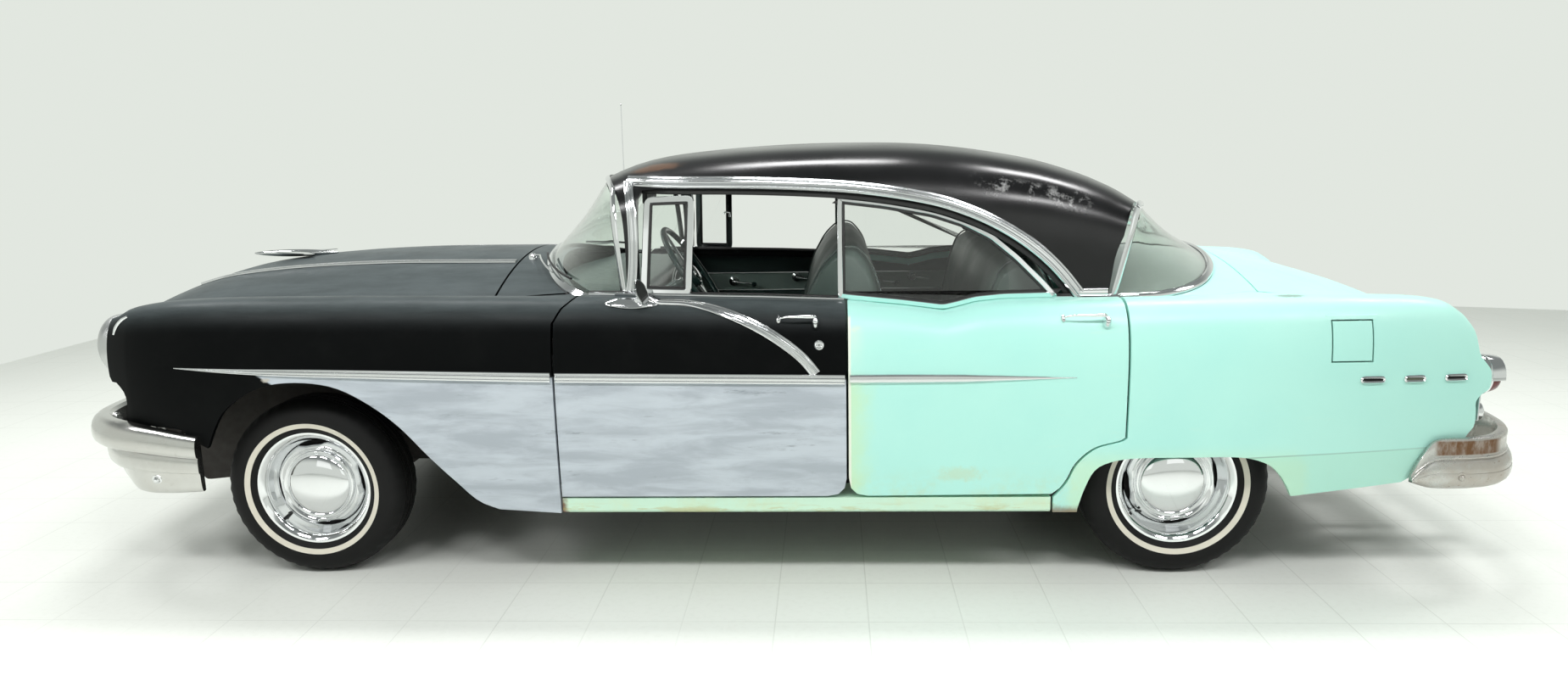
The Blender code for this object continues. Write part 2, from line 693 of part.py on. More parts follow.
def turned(name, profile, centre, steps, finish, axis="Y", phase=0.0):
    """A closed profile of (radius, offset) points turned about an axis through centre."""
    rings = []
    for k in range(steps):
        a = 2 * math.pi * (k + phase) / steps
        c, s = math.cos(a), math.sin(a)
        if axis == "Y":
            ring = [(centre[0] + r * c, centre[1] + d, centre[2] + r * s) for r, d in profile]
        elif axis == "X":
            ring = [(centre[0] + d, centre[1] + r * c, centre[2] + r * s) for r, d in profile]
        else:
            ring = [(centre[0] + r * c, centre[1] + r * s, centre[2] + d) for r, d in profile]
        rings.append(ring)
    return loft(name, rings, finish, closed=True)


def scaled(table, size, sign=1):
    return [(r * size, d * size * sign) for r, d in table]


def tube(name, points, radius, steps, finish):
    """A round bar through the points."""
    path = [Vector(p) for p in points]
    rings = []
    for i, p in enumerate(path):
        along = (path[min(i + 1, len(path) - 1)] - path[max(i - 1, 0)]).normalized()
        across = Vector((0, 0, 1)).cross(along)
        if across.length < math.sin(math.radians(5)):
            across = Vector((0, 1, 0))
        across.normalize()
        up = along.cross(across)
        angles = [2 * math.pi * k / steps for k in range(steps)]
        rings.append([p + (across * math.cos(t) + up * math.sin(t)) * radius for t in angles])
    return loft(name, rings, finish)


def apply_modifiers(obj):
    bpy.context.view_layer.update()
    graph = bpy.context.evaluated_depsgraph_get()
    mesh = bpy.data.meshes.new_from_object(obj.evaluated_get(graph))
    obj.modifiers.clear()
    old = obj.data
    obj.data = mesh
    bpy.data.meshes.remove(old)
    work = bmesh.new()
    work.from_mesh(mesh)
    bmesh.ops.dissolve_degenerate(work, edges=work.edges, dist=SEAT_GAP / 20)
    work.to_mesh(mesh)
    work.free()
    smooth_faces(mesh)


def combine(obj, others, operation):
    """Joins, cuts or intersects obj with the other shapes, which go."""
    finish = obj.data.materials[0]
    for other in others:
        modifier = obj.modifiers.new("shape", "BOOLEAN")
        modifier.operation = operation
        modifier.solver = "EXACT"
        modifier.object = other
        apply_modifiers(obj)
        bpy.data.objects.remove(other, do_unlink=True)
    obj.data.materials.clear()
    obj.data.materials.append(finish)
    return obj


def mirrored(obj, name):
    """The same piece on the other side of the car."""
    mesh = obj.data.copy()
    work = bmesh.new()
    work.from_mesh(mesh)
    for v in work.verts:
        v.co.y = -v.co.y
    bmesh.ops.reverse_faces(work, faces=work.faces)
    work.to_mesh(mesh)
    work.free()
    mesh.set_sharp_from_angle(angle=math.radians(30))
    return new_object(name, mesh, obj.data.materials[0])


def set_origin(obj, point):
    """Moves the piece's origin onto its joint and leaves the piece where it is."""
    shift = Matrix.Translation(-Vector(point))
    obj.data.transform(shift)
    obj.location = point


def smooth_row(table, x):
    """The table's row at x, by a cubic through its rows."""
    last = len(table) - 1
    if x <= table[0][0]:
        return table[0]
    if x >= table[last][0]:
        return table[last]
    i = max(k for k in range(last) if table[k][0] <= x)
    a, b = table[i], table[i + 1]
    before, after = table[max(i - 1, 0)], table[min(i + 2, last)]
    span = b[0] - a[0]
    t = (x - a[0]) / span
    row = [x]
    for c in range(1, len(a)):
        m0 = (b[c] - before[c]) / (b[0] - before[0]) * span
        m1 = (after[c] - a[c]) / (after[0] - a[0]) * span
        h = (2 * t**3 - 3 * t**2 + 1) * a[c] + (t**3 - 2 * t**2 + t) * m0
        row.append(h + (3 * t**2 - 2 * t**3) * b[c] + (t**3 - t**2) * m1)
    return row


def straight_value(table, x):
    """The table's second column at x, by straight lines."""
    if x <= table[0][0]:
        return table[0][1]
    for a, b in zip(table, table[1:]):
        if x <= b[0]:
            return a[1] + (b[1] - a[1]) * (x - a[0]) / (b[0] - a[0])
    return table[-1][1]


def deck_z(x, y):
    """Height of the hood, cowl, rear deck and boot lid."""
    table = FRONT_DECK_SHARES if x < 0 else REAR_DECK_SHARES
    _, centre, edge = smooth_row(table, x / HALF_LENGTH)
    fall = min(abs(y) / DECK_EDGE_Y, 1.0) ** DECK_POWER
    return BELT_HEIGHT * (edge + (centre - edge) * (1 - fall))


def inner_edge_y(x):
    """Half width at which a fender or quarter meets the deck."""
    edges = [(row[0], row[5]) for row in BODY_SHARES]
    return HALF_WIDTH * straight_value(edges, x / HALF_LENGTH)


def belt_z(x):
    return BELT_HEIGHT * straight_value(BELT_SHARES, x / HALF_LENGTH)


def side_section(x, door=False):
    """The body side at x as (y, z) points from its foot over the crown to the inner edge."""
    _, crown_z, crown_y, wide_y, foot_y, _ = smooth_row(BODY_SHARES, x / HALF_LENGTH)
    crown_y, wide_y, foot_y = (HALF_WIDTH * v for v in (crown_y, wide_y, foot_y))
    edge_y = inner_edge_y(x)
    crown_z = belt_z(x) if door else BELT_HEIGHT * crown_z
    points = []
    for k in range(LOWER_STEPS):
        t = k / LOWER_STEPS
        y = foot_y + (wide_y - foot_y) * math.sin(t * math.pi / 2)
        points.append((y, SECTION_FOOT + (WIDE_HEIGHT - SECTION_FOOT) * t))
    for k in range(UPPER_STEPS + 1):
        a = math.pi / 2 * k / UPPER_STEPS
        y = crown_y + (wide_y - crown_y) * max(math.cos(a), 0) ** (2 / CROWN_POWER)
        points.append((y, WIDE_HEIGHT + (crown_z - WIDE_HEIGHT) * math.sin(a) ** (2 / CROWN_POWER)))
    if door:
        end_y, end_z = SILL_INNER_Y, crown_z
    else:
        end_y, end_z = edge_y, deck_z(x, edge_y)
    for k in range(1, INNER_STEPS + 1):
        t = k / INNER_STEPS
        dip = (1 - math.cos(math.pi * t)) / 2
        points.append((crown_y + (end_y - crown_y) * t, crown_z + (end_z - crown_z) * dip))
    return points


def offset_section(points, depth):
    """The section moved inward by depth along its own normals."""
    made = []
    for i, (y, z) in enumerate(points):
        y0, z0 = points[max(i - 1, 0)]
        y1, z1 = points[min(i + 1, len(points) - 1)]
        size = math.hypot(y1 - y0, z1 - z0)
        made.append((y - depth * (z1 - z0) / size, z + depth * (y1 - y0) / size))
    return made


def surface_z(x, y, door=False):
    """Height of the body side's top at half width y."""
    points = side_section(x, door)[LOWER_STEPS:]
    for (y0, z0), (y1, z1) in zip(points, points[1:]):
        if y1 <= y <= y0:
            return z0 + (z1 - z0) * (y0 - y) / (y0 - y1)
    return points[-1][1]


def stations(start, end, count):
    return [start + (end - start) * k / (count - 1) for k in range(count)]


def with_knots(xs):
    """The stations with those of the body table between them."""
    low, high = min(xs), max(xs)
    knots = [row[0] * HALF_LENGTH for row in BODY_SHARES]
    spare = [k for k in knots if low < k < high and min(abs(k - x) for x in xs) > PANEL_GAP]
    return sorted(list(xs) + spare)


def door_inner(x, section, low_x, high_x):
    """The inner skin of a door: thick in the middle, thinner at its front and rear edges."""
    edge = min(x - low_x, high_x - x)
    t = min(max(edge / DOOR_TAPER, 0.0), 1.0)
    depth = DOOR_EDGE_THICKNESS + (DOOR_THICKNESS - DOOR_EDGE_THICKNESS) * t * t * (3 - 2 * t)
    top_z = belt_z(x) - DOOR_LIP
    wide_y = section[LOWER_STEPS][0] - depth
    made = []
    for i, (y, z) in enumerate(section):
        k = i - LOWER_STEPS
        if k < 0:
            made.append((y - depth, z))
        else:
            a = math.pi / 2 * min(k / (UPPER_STEPS + INNER_STEPS), 1.0)
            y = SILL_INNER_Y + (wide_y - SILL_INNER_Y) * math.cos(a)
            made.append((y, WIDE_HEIGHT + (top_z - WIDE_HEIGHT) * math.sin(a)))
    return made


def side_shell(name, xs, finish, thickness=SHEET, door=None, solid_from=None):
    """A stretch of the left body side, filled to its inner edge beyond solid_from."""
    outer, inner = [], []
    for x in xs:
        section = side_section(x, door is not None)
        if door is not None:
            inside = door_inner(x, section, *door)
        elif solid_from is not None and abs(x) > abs(solid_from):
            low_z, high_z = section[0][1], section[-1][1] - thickness
            count = len(section) - 1
            inside = [
                (section[-1][0], low_z + (high_z - low_z) * i / count) for i in range(count + 1)
            ]
        else:
            inside = offset_section(section, thickness)
        outer.append([(x, -y, z) for y, z in section])
        inner.append([(x, -y, z) for y, z in inside])
    return shell(name, outer, inner, finish)


def trim_to(obj, outline):
    """Keeps what lies inside a side-view outline on the left."""
    cutter = prism("outline", outline, -BODY_WIDTH, -SILL_HEIGHT, obj.data.materials[0])
    return combine(obj, [cutter], "INTERSECT")


def around(centre_x, centre_z, size, shares):
    """Outline points given as shares of a size about a centre."""
    return [(centre_x + size * a, centre_z + size * b) for a, b in shares]


def rounded(points, corner, radius, steps=3):
    """The outline with one corner rounded."""
    before, here, after = (Vector(points[k % len(points)]) for k in (corner - 1, corner, corner + 1))
    a = here + (before - here).normalized() * radius
    b = here + (after - here).normalized() * radius
    arc = []
    for k in range(steps + 1):
        t = k / steps
        arc.append(tuple(a * (1 - t) ** 2 + here * 2 * t * (1 - t) + b * t * t))
    return points[:corner] + arc + points[corner + 1 :]


def cross_plate(name, low_x, high_x, half, bottom, drop, finish):
    """A plate across the car that follows the deck above it."""
    xs = (low_x, high_x)
    count = STATIONS
    rings = []
    for x in xs:
        ring = [(x, -half, bottom)]
        for k in range(count + 1):
            y = half * (2 * k / count - 1)
            ring.append((x, y, deck_z((low_x + high_x) / 2, y) - drop))
        ring.append((x, half, bottom))
        rings.append(ring)
    return loft(name, rings, finish)


def build_fenders(finish):
    end_x = DOOR_FRONT_X - DOOR_GAP
    block_x = NOSE_X + NOSE_BLOCK
    xs = [NOSE_X - OVERRUN, NOSE_X, block_x - SHEET, block_x]
    xs = with_knots(xs + stations(block_x, end_x, STATIONS - 3)[1:])
    panel = side_shell("fender_left", xs, finish, solid_from=block_x - SHEET / 2)
    outline = [(end_x, 1.2 * BELT_HEIGHT)]
    outline += [(NOSE_X + s, BELT_HEIGHT * h) for s, h in NOSE_SHARES]
    outline += around(FRONT_AXLE_X, AXLE_Z, TYRE_RADIUS, FRONT_ARCH_SHARES)
    outline += [(end_x, SILL_HEIGHT)]
    trim_to(panel, outline)
    return panel, mirrored(panel, "fender_right")


def build_doors(finish_front, finish_rear):
    top = 1.2 * BELT_HEIGHT
    front_end = DOOR_MIDDLE_X - DOOR_GAP / 2
    outline = [
        (DOOR_FRONT_X, DOOR_BOTTOM),
        (DOOR_FRONT_X, 0.945 * BELT_HEIGHT),
        (DOOR_FRONT_X + 0.4 * DOOR_CORNER, 0.990 * BELT_HEIGHT),
        (DOOR_FRONT_X + DOOR_CORNER, 1.022 * BELT_HEIGHT),
        (DOOR_FRONT_X + 2 * DOOR_CORNER, top),
        (front_end, top),
        (front_end, DOOR_BOTTOM),
    ]
    outline = rounded(outline, len(outline) - 1, DOOR_CORNER)
    xs = stations(DOOR_FRONT_X - PANEL_GAP, front_end + PANEL_GAP, STATIONS)
    front = side_shell("door_front_left", xs, finish_front, door=(DOOR_FRONT_X, front_end))
    trim_to(front, outline)

    start = DOOR_MIDDLE_X + DOOR_GAP / 2
    outline = [(start, top), (DOOR_REAR_X, top)]
    outline += around(REAR_AXLE_X, AXLE_Z, TYRE_RADIUS, DOOR_NOTCH_SHARES)
    outline += [(start, DOOR_BOTTOM)]
    outline = rounded(outline, len(outline) - 1, DOOR_CORNER)
    dip = [HALF_LENGTH * BELT_SHARES[k][0] for k in (6, 7, 8)]
    xs = sorted(stations(start - PANEL_GAP, DOOR_REAR_X + PANEL_GAP, STATIONS - 1) + dip)
    rear = side_shell("door_rear_left", xs, finish_rear, door=(start, DOOR_REAR_X))
    trim_to(rear, outline)
    return front, rear, mirrored(front, "door_front_right"), mirrored(rear, "door_rear_right")


def build_quarters(finish):
    start = DOOR_REAR_X + DOOR_GAP
    block_x = TAIL_X - TAIL_BLOCK
    xs = stations(start - OVERRUN / 2, block_x, STATIONS - 1)
    xs = [start - 5 * OVERRUN] + xs + [block_x + SHEET, TAIL_X - TAIL_BLOCK / 2, TAIL_X + OVERRUN]
    xs = with_knots(xs)
    panel = side_shell("quarter_left", xs, finish, solid_from=block_x + SHEET / 2)
    notch = around(REAR_AXLE_X, AXLE_Z, TYRE_RADIUS, DOOR_NOTCH_SHARES)
    toe_x = notch[-1][0] + DOOR_GAP
    outline = [(start, 1.2 * BELT_HEIGHT)]
    outline += [(x + DOOR_GAP, z - DOOR_GAP / 2) for x, z in notch[:-1]]
    outline += [(toe_x, DOOR_BOTTOM - DOOR_GAP), (toe_x, SILL_HEIGHT)]
    outline += [(notch[-2][0] + 8 * DOOR_GAP, SILL_HEIGHT)]
    outline += reversed(around(REAR_AXLE_X, AXLE_Z, TYRE_RADIUS, REAR_ARCH_SHARES))
    outline += reversed([(TAIL_X - s, BELT_HEIGHT * h) for s, h in TAIL_SHARES])
    trim_to(panel, outline)
    right = mirrored(panel, "quarter_right")
    combine(panel, [block("cup", FUEL_CUP_SHARES, finish)], "UNION")
    combine(panel, [block("hole", FUEL_HOLE_SHARES, finish)], "DIFFERENCE")
    (x0, _, z0), (x1, _, z1) = (place(c) for c in FUEL_HOLE_SHARES)
    door = side_shell("fuel_door", stations(x0 - PANEL_GAP, x1 + PANEL_GAP, 4), finish, SHEET / 3)
    g = PANEL_GAP
    trim_to(door, [(x0 + g, z0 + g), (x1 - g, z0 + g), (x1 - g, z1 - g), (x0 + g, z1 - g)])
    return panel, right, door


def build_rockers(finish):
    low_x = DOOR_FRONT_X - DOOR_GAP / 4
    high_x = REAR_AXLE_X + TYRE_RADIUS * DOOR_NOTCH_SHARES[-1][0]
    rings = []
    for x in stations(low_x, high_x, 4):
        section = side_section(x)
        outer = section[0][0] + PANEL_GAP / 2
        inner_edge = GLASS_HALF_WIDTH + SEAT_GAP
        top = DOOR_BOTTOM - DOOR_GAP
        rings.append(
            [
                (x, -outer, SILL_HEIGHT + SHEET / 2),
                (x, -outer, top),
                (x, -inner_edge, top),
                (x, -inner_edge, SILL_HEIGHT),
                (x, -outer + SHEET / 2, SILL_HEIGHT),
            ]
        )
    left = loft("rocker_left", rings, finish)
    return left, mirrored(left, "rocker_right")


def hood_front_x(y):
    return HOOD_NOSE_X + HOOD_NOSE_SWEEP * (y / DECK_EDGE_Y) ** 2


def build_hood(finish):
    columns, rows = 13, 8
    spread = [(i / (rows - 1)) ** 2 * (2 - i / (rows - 1)) for i in range(rows)]
    xs = with_knots([HOOD_NOSE_X * (1 - t) + HOOD_REAR_X * t for t in spread])
    outer = []
    for at_x in xs:
        t = (at_x - HOOD_NOSE_X) / (HOOD_REAR_X - HOOD_NOSE_X)
        line = []
        for j in range(columns):
            u = 2 * j / (columns - 1) - 1
            x = at_x + (hood_front_x(u * DECK_EDGE_Y) - HOOD_NOSE_X) * max(1 - 4 * t, 0)
            y = u * (inner_edge_y(x) - DOOR_GAP)
            line.append((x, y, deck_z(x, y)))
        outer.append(line)
    return thickened("hood", outer, SHEET, finish)


def build_trunk_lid(finish):
    columns = 11
    profile = []
    for x in with_knots(stations(LID_FRONT_X, LID_TURN_X, 5)):
        profile.append((x, 0))
    for a in (25, 45, 65, 80, 90):
        profile.append((None, math.radians(a)))
    outer = []
    for x, a in profile:
        line = []
        for j in range(columns):
            u = 2 * j / (columns - 1) - 1
            if x is not None:
                y = u * (inner_edge_y(x) - DOOR_GAP)
                line.append((x, y, deck_z(x, y)))
            else:
                turn_x = LID_TURN_X + (LID_REAR_X - LID_TURN_X) * math.sin(a)
                y = u * (inner_edge_y(LID_TURN_X) - DOOR_GAP)
                top = deck_z(LID_TURN_X, y)
                line.append((turn_x, y, LID_BOTTOM + (top - LID_BOTTOM) * math.cos(a)))
        outer.append(line)
    return thickened("trunk_lid", outer, SHEET, finish)


def screen_foot(u):
    """Foot of the windscreen at share u of its half width, as (x, y)."""
    y = u * (GLASS_HALF_WIDTH - WINDOW_GAP)
    bow = max(1 - abs(u) ** SCREEN_POWER, 0) ** (1 / SCREEN_POWER)
    return SCREEN_FOOT_X - SCREEN_SWEEP * bow, y


def backlight_foot(u):
    y = u * (GLASS_HALF_WIDTH - WINDOW_GAP)
    bow = max(1 - abs(u) ** BACKLIGHT_POWER, 0) ** (1 / BACKLIGHT_POWER)
    return BACKLIGHT_FOOT_X + BACKLIGHT_SWEEP * bow, y


def roof_top(x):
    return HEIGHT * smooth_row(ROOF_SHARES, x / HALF_LENGTH)[1]


def roof_angle(y):
    return math.acos(min((abs(y) / GLASS_HALF_WIDTH) ** (ROOF_POWER / 2), 1.0))


def roof_edge_x(angle):
    """Front and rear edges of the roof at an angle round its section."""
    y = GLASS_HALF_WIDTH * max(math.cos(angle), 0) ** (2 / ROOF_POWER)
    front = ROOF_FRONT_X - ROOF_FRONT_SWEEP * (1 - (y / GLASS_HALF_WIDTH) ** 4)
    return front, HALF_LENGTH * straight_value(ROOF_REAR_SHARES, math.degrees(angle))


def roof_z(x, angle):
    return BELT_HEIGHT + (roof_top(x) - BELT_HEIGHT) * math.sin(angle) ** (2 / ROOF_POWER)


def roof_half_width(z, top):
    t = min(max((z - BELT_HEIGHT) / (top - BELT_HEIGHT), 0.0), 1.0)
    return GLASS_HALF_WIDTH * (1 - t**ROOF_POWER) ** (1 / ROOF_POWER)


def build_roof(finish):
    angles = [math.radians(row[0]) for row in ROOF_REAR_SHARES]
    columns = [(a, -1) for a in angles] + [(a, 1) for a in reversed(angles[:-1])]
    outer = []
    for s in ROOF_ROW_SHARES:
        line = []
        for a, hand in columns:
            front, rear = roof_edge_x(a)
            x = front + (rear - front) * s
            y = hand * GLASS_HALF_WIDTH * max(math.cos(a), 0) ** (2 / ROOF_POWER)
            z = roof_z(x, a) if a > angles[0] else deck_z(x, abs(y) - ROOF_SHEET) + ROOF_SEAT
            line.append((x, y, z))
        outer.append(line)
    roof = thickened("roof", outer, ROOF_SHEET, finish)
    cutter = prism("cutter", side(SIDE_WINDOW_SHARES), -BODY_WIDTH, BODY_WIDTH, finish)
    return combine(roof, [cutter], "DIFFERENCE")


def glazing(name, foot, edge, rows, columns, finish):
    """A wrapped pane between its foot on the deck and the edge of the roof."""
    head_half = roof_half_width(HEIGHT * 0.905, HEIGHT * 0.955) - WINDOW_GAP
    outer = []
    for i in range(rows):
        v = i / (rows - 1)
        line = []
        for j in range(columns):
            u = math.sin((2 * j / (columns - 1) - 1) * math.pi / 2)
            foot_x, foot_y = foot(u)
            foot_z = deck_z(foot_x, foot_y) + (WINDOW_GAP if edge else SCREEN_SEAT)
            angle = roof_angle(u * head_half)
            head_x = roof_edge_x(angle)[edge]
            head_z = roof_z(head_x, angle) - ROOF_SHEET / 2
            head_x += WINDOW_GAP * (2 * edge - 1)
            x = foot_x + (head_x - foot_x) * v
            z = foot_z + (head_z - foot_z) * v
            y = u * (roof_half_width(z, HEIGHT * 0.955) - WINDOW_GAP)
            line.append((x, y, z))
        outer.append(line)
    if edge == 1:
        outer.reverse()
    return thickened(name, outer, GLASS, finish)


def leaned_pane(name, table, depth, finish):
    """A flat window of the left side that leans in with the greenhouse."""
    pane = prism(name, side(table), 0, depth, finish)
    for v in pane.data.vertices:
        lean = WINDOW_LEAN * (v.co.z - BELT_HEIGHT) / WINDOW_RISE
        v.co.y -= WINDOW_FOOT_Y - lean + depth
    return pane


def build_side_windows(finish):
    vent = leaned_pane("vent_window_left", VENT_SHARES, FRAME_DEPTH, finish)
    rear = leaned_pane("rear_door_window_left", REAR_GLASS_SHARES, FRAME_DEPTH, finish)
    return (
        vent,
        rear,
        mirrored(vent, "vent_window_right"),
        mirrored(rear, "rear_door_window_right"),
    )


def build_cowl(finish):
    columns, rows = 15, 5
    outer = []
    for i in range(rows):
        t = i / (rows - 1)
        line = []
        for j in range(columns):
            u = math.sin((2 * j / (columns - 1) - 1) * math.pi / 2)
            y = u * COWL_HALF_WIDTH
            front = HOOD_REAR_X + DOOR_GAP
            x = front + (screen_foot(u)[0] + COWL_LAP - front) * t
            line.append((x, y, deck_z(x, y)))
        outer.append(line)
    cowl = thickened("cowl", outer, SHEET, finish)
    edge = inner_edge_y(HOOD_REAR_X) - DOOR_GAP
    for hand in (-1, 1):
        low = (HOOD_REAR_X - OVERRUN, min(hand * edge, hand * HALF_WIDTH), BELT_HEIGHT / 2)
        high = (DOOR_FRONT_X - DOOR_GAP + SEAT_GAP, max(hand * edge, hand * HALF_WIDTH), HEIGHT)
        combine(cowl, [box("corner", low, high, finish)], "DIFFERENCE")
    (x0, half, bottom), (x1, _, _) = (place(c) for c in FIREWALL_BOX_SHARES)
    pieces = [cross_plate("firewall", x0, x1, half, bottom, SHEET / 2, finish)]
    for mirror in (False, True):
        for table in (HINGE_POST_SHARES, APRON_SHARES, APRON_SHELF_SHARES):
            pieces.append(block("piece", table, finish, mirror))
    pieces.append(block("support", RADIATOR_SUPPORT_SHARES, finish))
    pieces.append(block("radiator", RADIATOR_SHARES, finish))
    return combine(cowl, pieces, "UNION")


def build_rear_deck(finish):
    columns = 13
    outer = []
    for x in with_knots(stations(REAR_DECK_X, LID_FRONT_X - DOOR_GAP, 5)):
        line = []
        for j in range(columns):
            u = math.sin((2 * j / (columns - 1) - 1) * math.pi / 2)
            y = u * (min(inner_edge_y(x), GLASS_HALF_WIDTH) - 1.5 * SEAT_GAP)
            line.append((x, y, deck_z(x, y)))
        outer.append(line)
    deck = thickened("rear_deck", outer, SHEET, finish)
    return combine(deck, [block("wall", SHELF_WALL_SHARES, finish)], "UNION")


def build_nose(paint, chrome):
    (x0, half, bottom), (x1, _, _) = (place(c) for c in NOSE_PANEL_SHARES)
    panel = cross_plate("nose_panel", x0, x1, half, bottom, 2 * SHEET + DOOR_GAP, paint)
    combine(panel, [block("opening", NOSE_OPENING_SHARES, paint)], "DIFFERENCE")
    grille = block("grille", GRILLE_RIM_SHARES, chrome)
    combine(grille, [block("hole", GRILLE_HOLE_SHARES, chrome)], "DIFFERENCE")
    bars = GRILLE_BAR_SHARES
    pieces = [block("bar", bars[k : k + 2], chrome) for k in range(0, len(bars), 2)]
    combine(grille, pieces, "UNION")
    return panel, grille


def build_bumper(name, table, section, finish):
    """A bumper swept round the corners of the car, bulge outwards."""
    left = [(x * HALF_LENGTH, -y * HALF_WIDTH, b, t * HEIGHT, f * HEIGHT) for x, y, b, t, f in table]
    path = left + [(x, -y, b, t, f) for x, y, b, t, f in reversed(left)]
    rings = []
    for i, (x, y, bulge, top, bottom) in enumerate(path):
        before, after = path[max(i - 1, 0)], path[min(i + 1, len(path) - 1)]
        run = Vector((after[0] - before[0], after[1] - before[1], 0)).normalized()
        out = Vector((-run.y, run.x, 0))
        if out.x * x < 0 or (out.y * y < 0 and abs(out.y) > abs(out.x)):
            out = -out
        ring = []
        for o, h in section:
            p = Vector((x, y, bottom + (top - bottom) * h)) + out * o * bulge * BUMPER_BULGE
            ring.append(p)
        rings.append(ring)
    return loft(name, rings, finish)


def build_bumpers(finish):
    front = build_bumper("front_bumper", FRONT_BUMPER_SHARES, FRONT_BUMPER_SECTION, finish)
    tip = HALF_LENGTH - 1.28 * BOMB_RADIUS
    pieces = []
    for hand in (-1, 1):
        pieces.append(
            turned(
                "bomb",
                scaled(BOMB_SHARES, BOMB_RADIUS),
                (-tip, hand * BOMB_Y, BOMB_Z),
                12,
                finish,
                "X",
            )
        )
        pieces.append(block("bracket", FRONT_BRACKET_SHARES, finish, hand > 0))
    combine(front, pieces, "UNION")
    rear = build_bumper("rear_bumper", REAR_BUMPER_SHARES, REAR_BUMPER_SECTION, finish)
    pieces = [block("bracket", REAR_BRACKET_SHARES, finish, mirror) for mirror in (False, True)]
    combine(rear, pieces, "UNION")
    return front, rear


def build_lamps(chrome):
    lamp = turned(
        "headlamp_left",
        scaled(HEADLAMP_SHARES, HEADLAMP_RADIUS),
        (NOSE_X - SEAT_GAP, -HEADLAMP_Y, HEADLAMP_Z),
        16,
        chrome,
        "X",
    )
    mirrored(lamp, "headlamp_right")
    tail = block("tail_lamp_left", LAMP_PLATE_SHARES, chrome, True)
    start = TAIL_X + SEAT_GAP
    upper = turned(
        "upper",
        scaled(TAIL_LAMP_SHARES, TAIL_LAMP_RADIUS),
        (start, -TAIL_LAMP_Y, TAIL_LAMP_Z),
        12,
        chrome,
        "X",
    )
    lower = turned(
        "lower",
        scaled(REVERSING_LAMP_SHARES, REVERSING_LAMP_RADIUS),
        (start, -TAIL_LAMP_Y, REVERSING_LAMP_Z),
        10,
        chrome,
        "X",
    )
    combine(tail, [upper, lower], "UNION")
    mirrored(tail, "tail_lamp_right")


def build_dashboard(finish):
    columns = 11
    profile = side(DASH_SHARES)
    outer = []
    for i in range(len(profile) + 1):
        line = []
        for j in range(columns):
            u = math.sin((2 * j / (columns - 1) - 1) * math.pi / 2)
            y = u * (COWL_HALF_WIDTH - DASH_SIDE)
            if i == 0:
                x = screen_foot(u * (1 - OVERRUN / 2))[0] + COWL_LAP + WINDOW_GAP
                x = min(x, profile[0][0] - SHEET)
                line.append((x, y, min(deck_z(x, y), profile[0][1] + DOOR_LIP) - SHEET / 2))
            else:
                x, z = profile[i - 1]
                line.append((x, y, z))
        outer.append(line)
    dash = thickened("dashboard", outer, SHEET, finish)
    axis = steering_axis()
    hub = Vector((STEERING_X, STEERING_Y, STEERING_Z))
    path = [hub - axis * COLUMN_START, hub - axis * (COLUMN_START + COLUMN_LENGTH)]
    return combine(dash, [tube("column", path, COLUMN_RADIUS, 10, finish)], "UNION")


def steering_axis():
    tilt = math.radians(STEERING_TILT)
    return Vector((math.sin(tilt), 0, math.cos(tilt)))


def build_steering_wheel(finish):
    grip = STEERING_GRIP
    profile = [
        (STEERING_RADIUS + grip * math.cos(a), grip * math.sin(a))
        for a in (2 * math.pi * k / 6 for k in range(6))
    ]
    wheel = turned("steering_wheel", profile, (0, 0, 0), STEERING_STEPS, finish, "Z")
    low, high = ([v * STEERING_RADIUS for v in corner] for corner in SPOKE_SHARES)
    spokes = box("spokes", (low[1], low[0], low[2]), (high[1], high[0], high[2]), finish)
    hub = turned("hub", scaled(HUB_SHARES, STEERING_RADIUS), (0, 0, 0), 12, finish, "Z")
    combine(wheel, [spokes, hub], "UNION")
    wheel.data.transform(steering_axis().to_track_quat("Z", "Y").to_matrix().to_4x4())
    wheel.location = (STEERING_X, STEERING_Y, STEERING_Z)
    return wheel


def build_seats(finish):
    for name, table, half in (
        ("front_seat", FRONT_SEAT_SHARES, FRONT_SEAT_HALF),
        ("rear_seat", REAR_SEAT_SHARES, REAR_SEAT_HALF),
    ):
        prism(name, side(table), -half, half, finish)


def build_floor(finish):
    floor = prism("floor_pan", side(FLOOR_SHARES), -GLASS_HALF_WIDTH, GLASS_HALF_WIDTH, finish)
    for mirror in (False, True):
        combine(floor, [block("cut", WHEEL_CUT_SHARES, finish, mirror)], "DIFFERENCE")
        tub = block("tub", WHEEL_TUB_SHARES, finish, mirror)
        combine(tub, [block("inside", TUB_INSIDE_SHARES, finish, mirror)], "DIFFERENCE")
        combine(floor, [tub], "UNION")
        combine(floor, [block("end", FLOOR_END_SHARES, finish, mirror)], "DIFFERENCE")
    return floor


def arm(name, hand, low_z, finish):
    rings = []
    for z in (low_z, low_z + ARM_THICKNESS):
        rings.append(
            [
                (FRONT_AXLE_X - ARM_ROOT_HALF, hand * ARM_ROOT_Y, z),
                (FRONT_AXLE_X - ARM_TIP_HALF, hand * ARM_TIP_Y, z),
                (FRONT_AXLE_X + ARM_TIP_HALF, hand * ARM_TIP_Y, z),
                (FRONT_AXLE_X + ARM_ROOT_HALF, hand * ARM_ROOT_Y, z),
            ]
        )
    return loft(name, rings, finish)


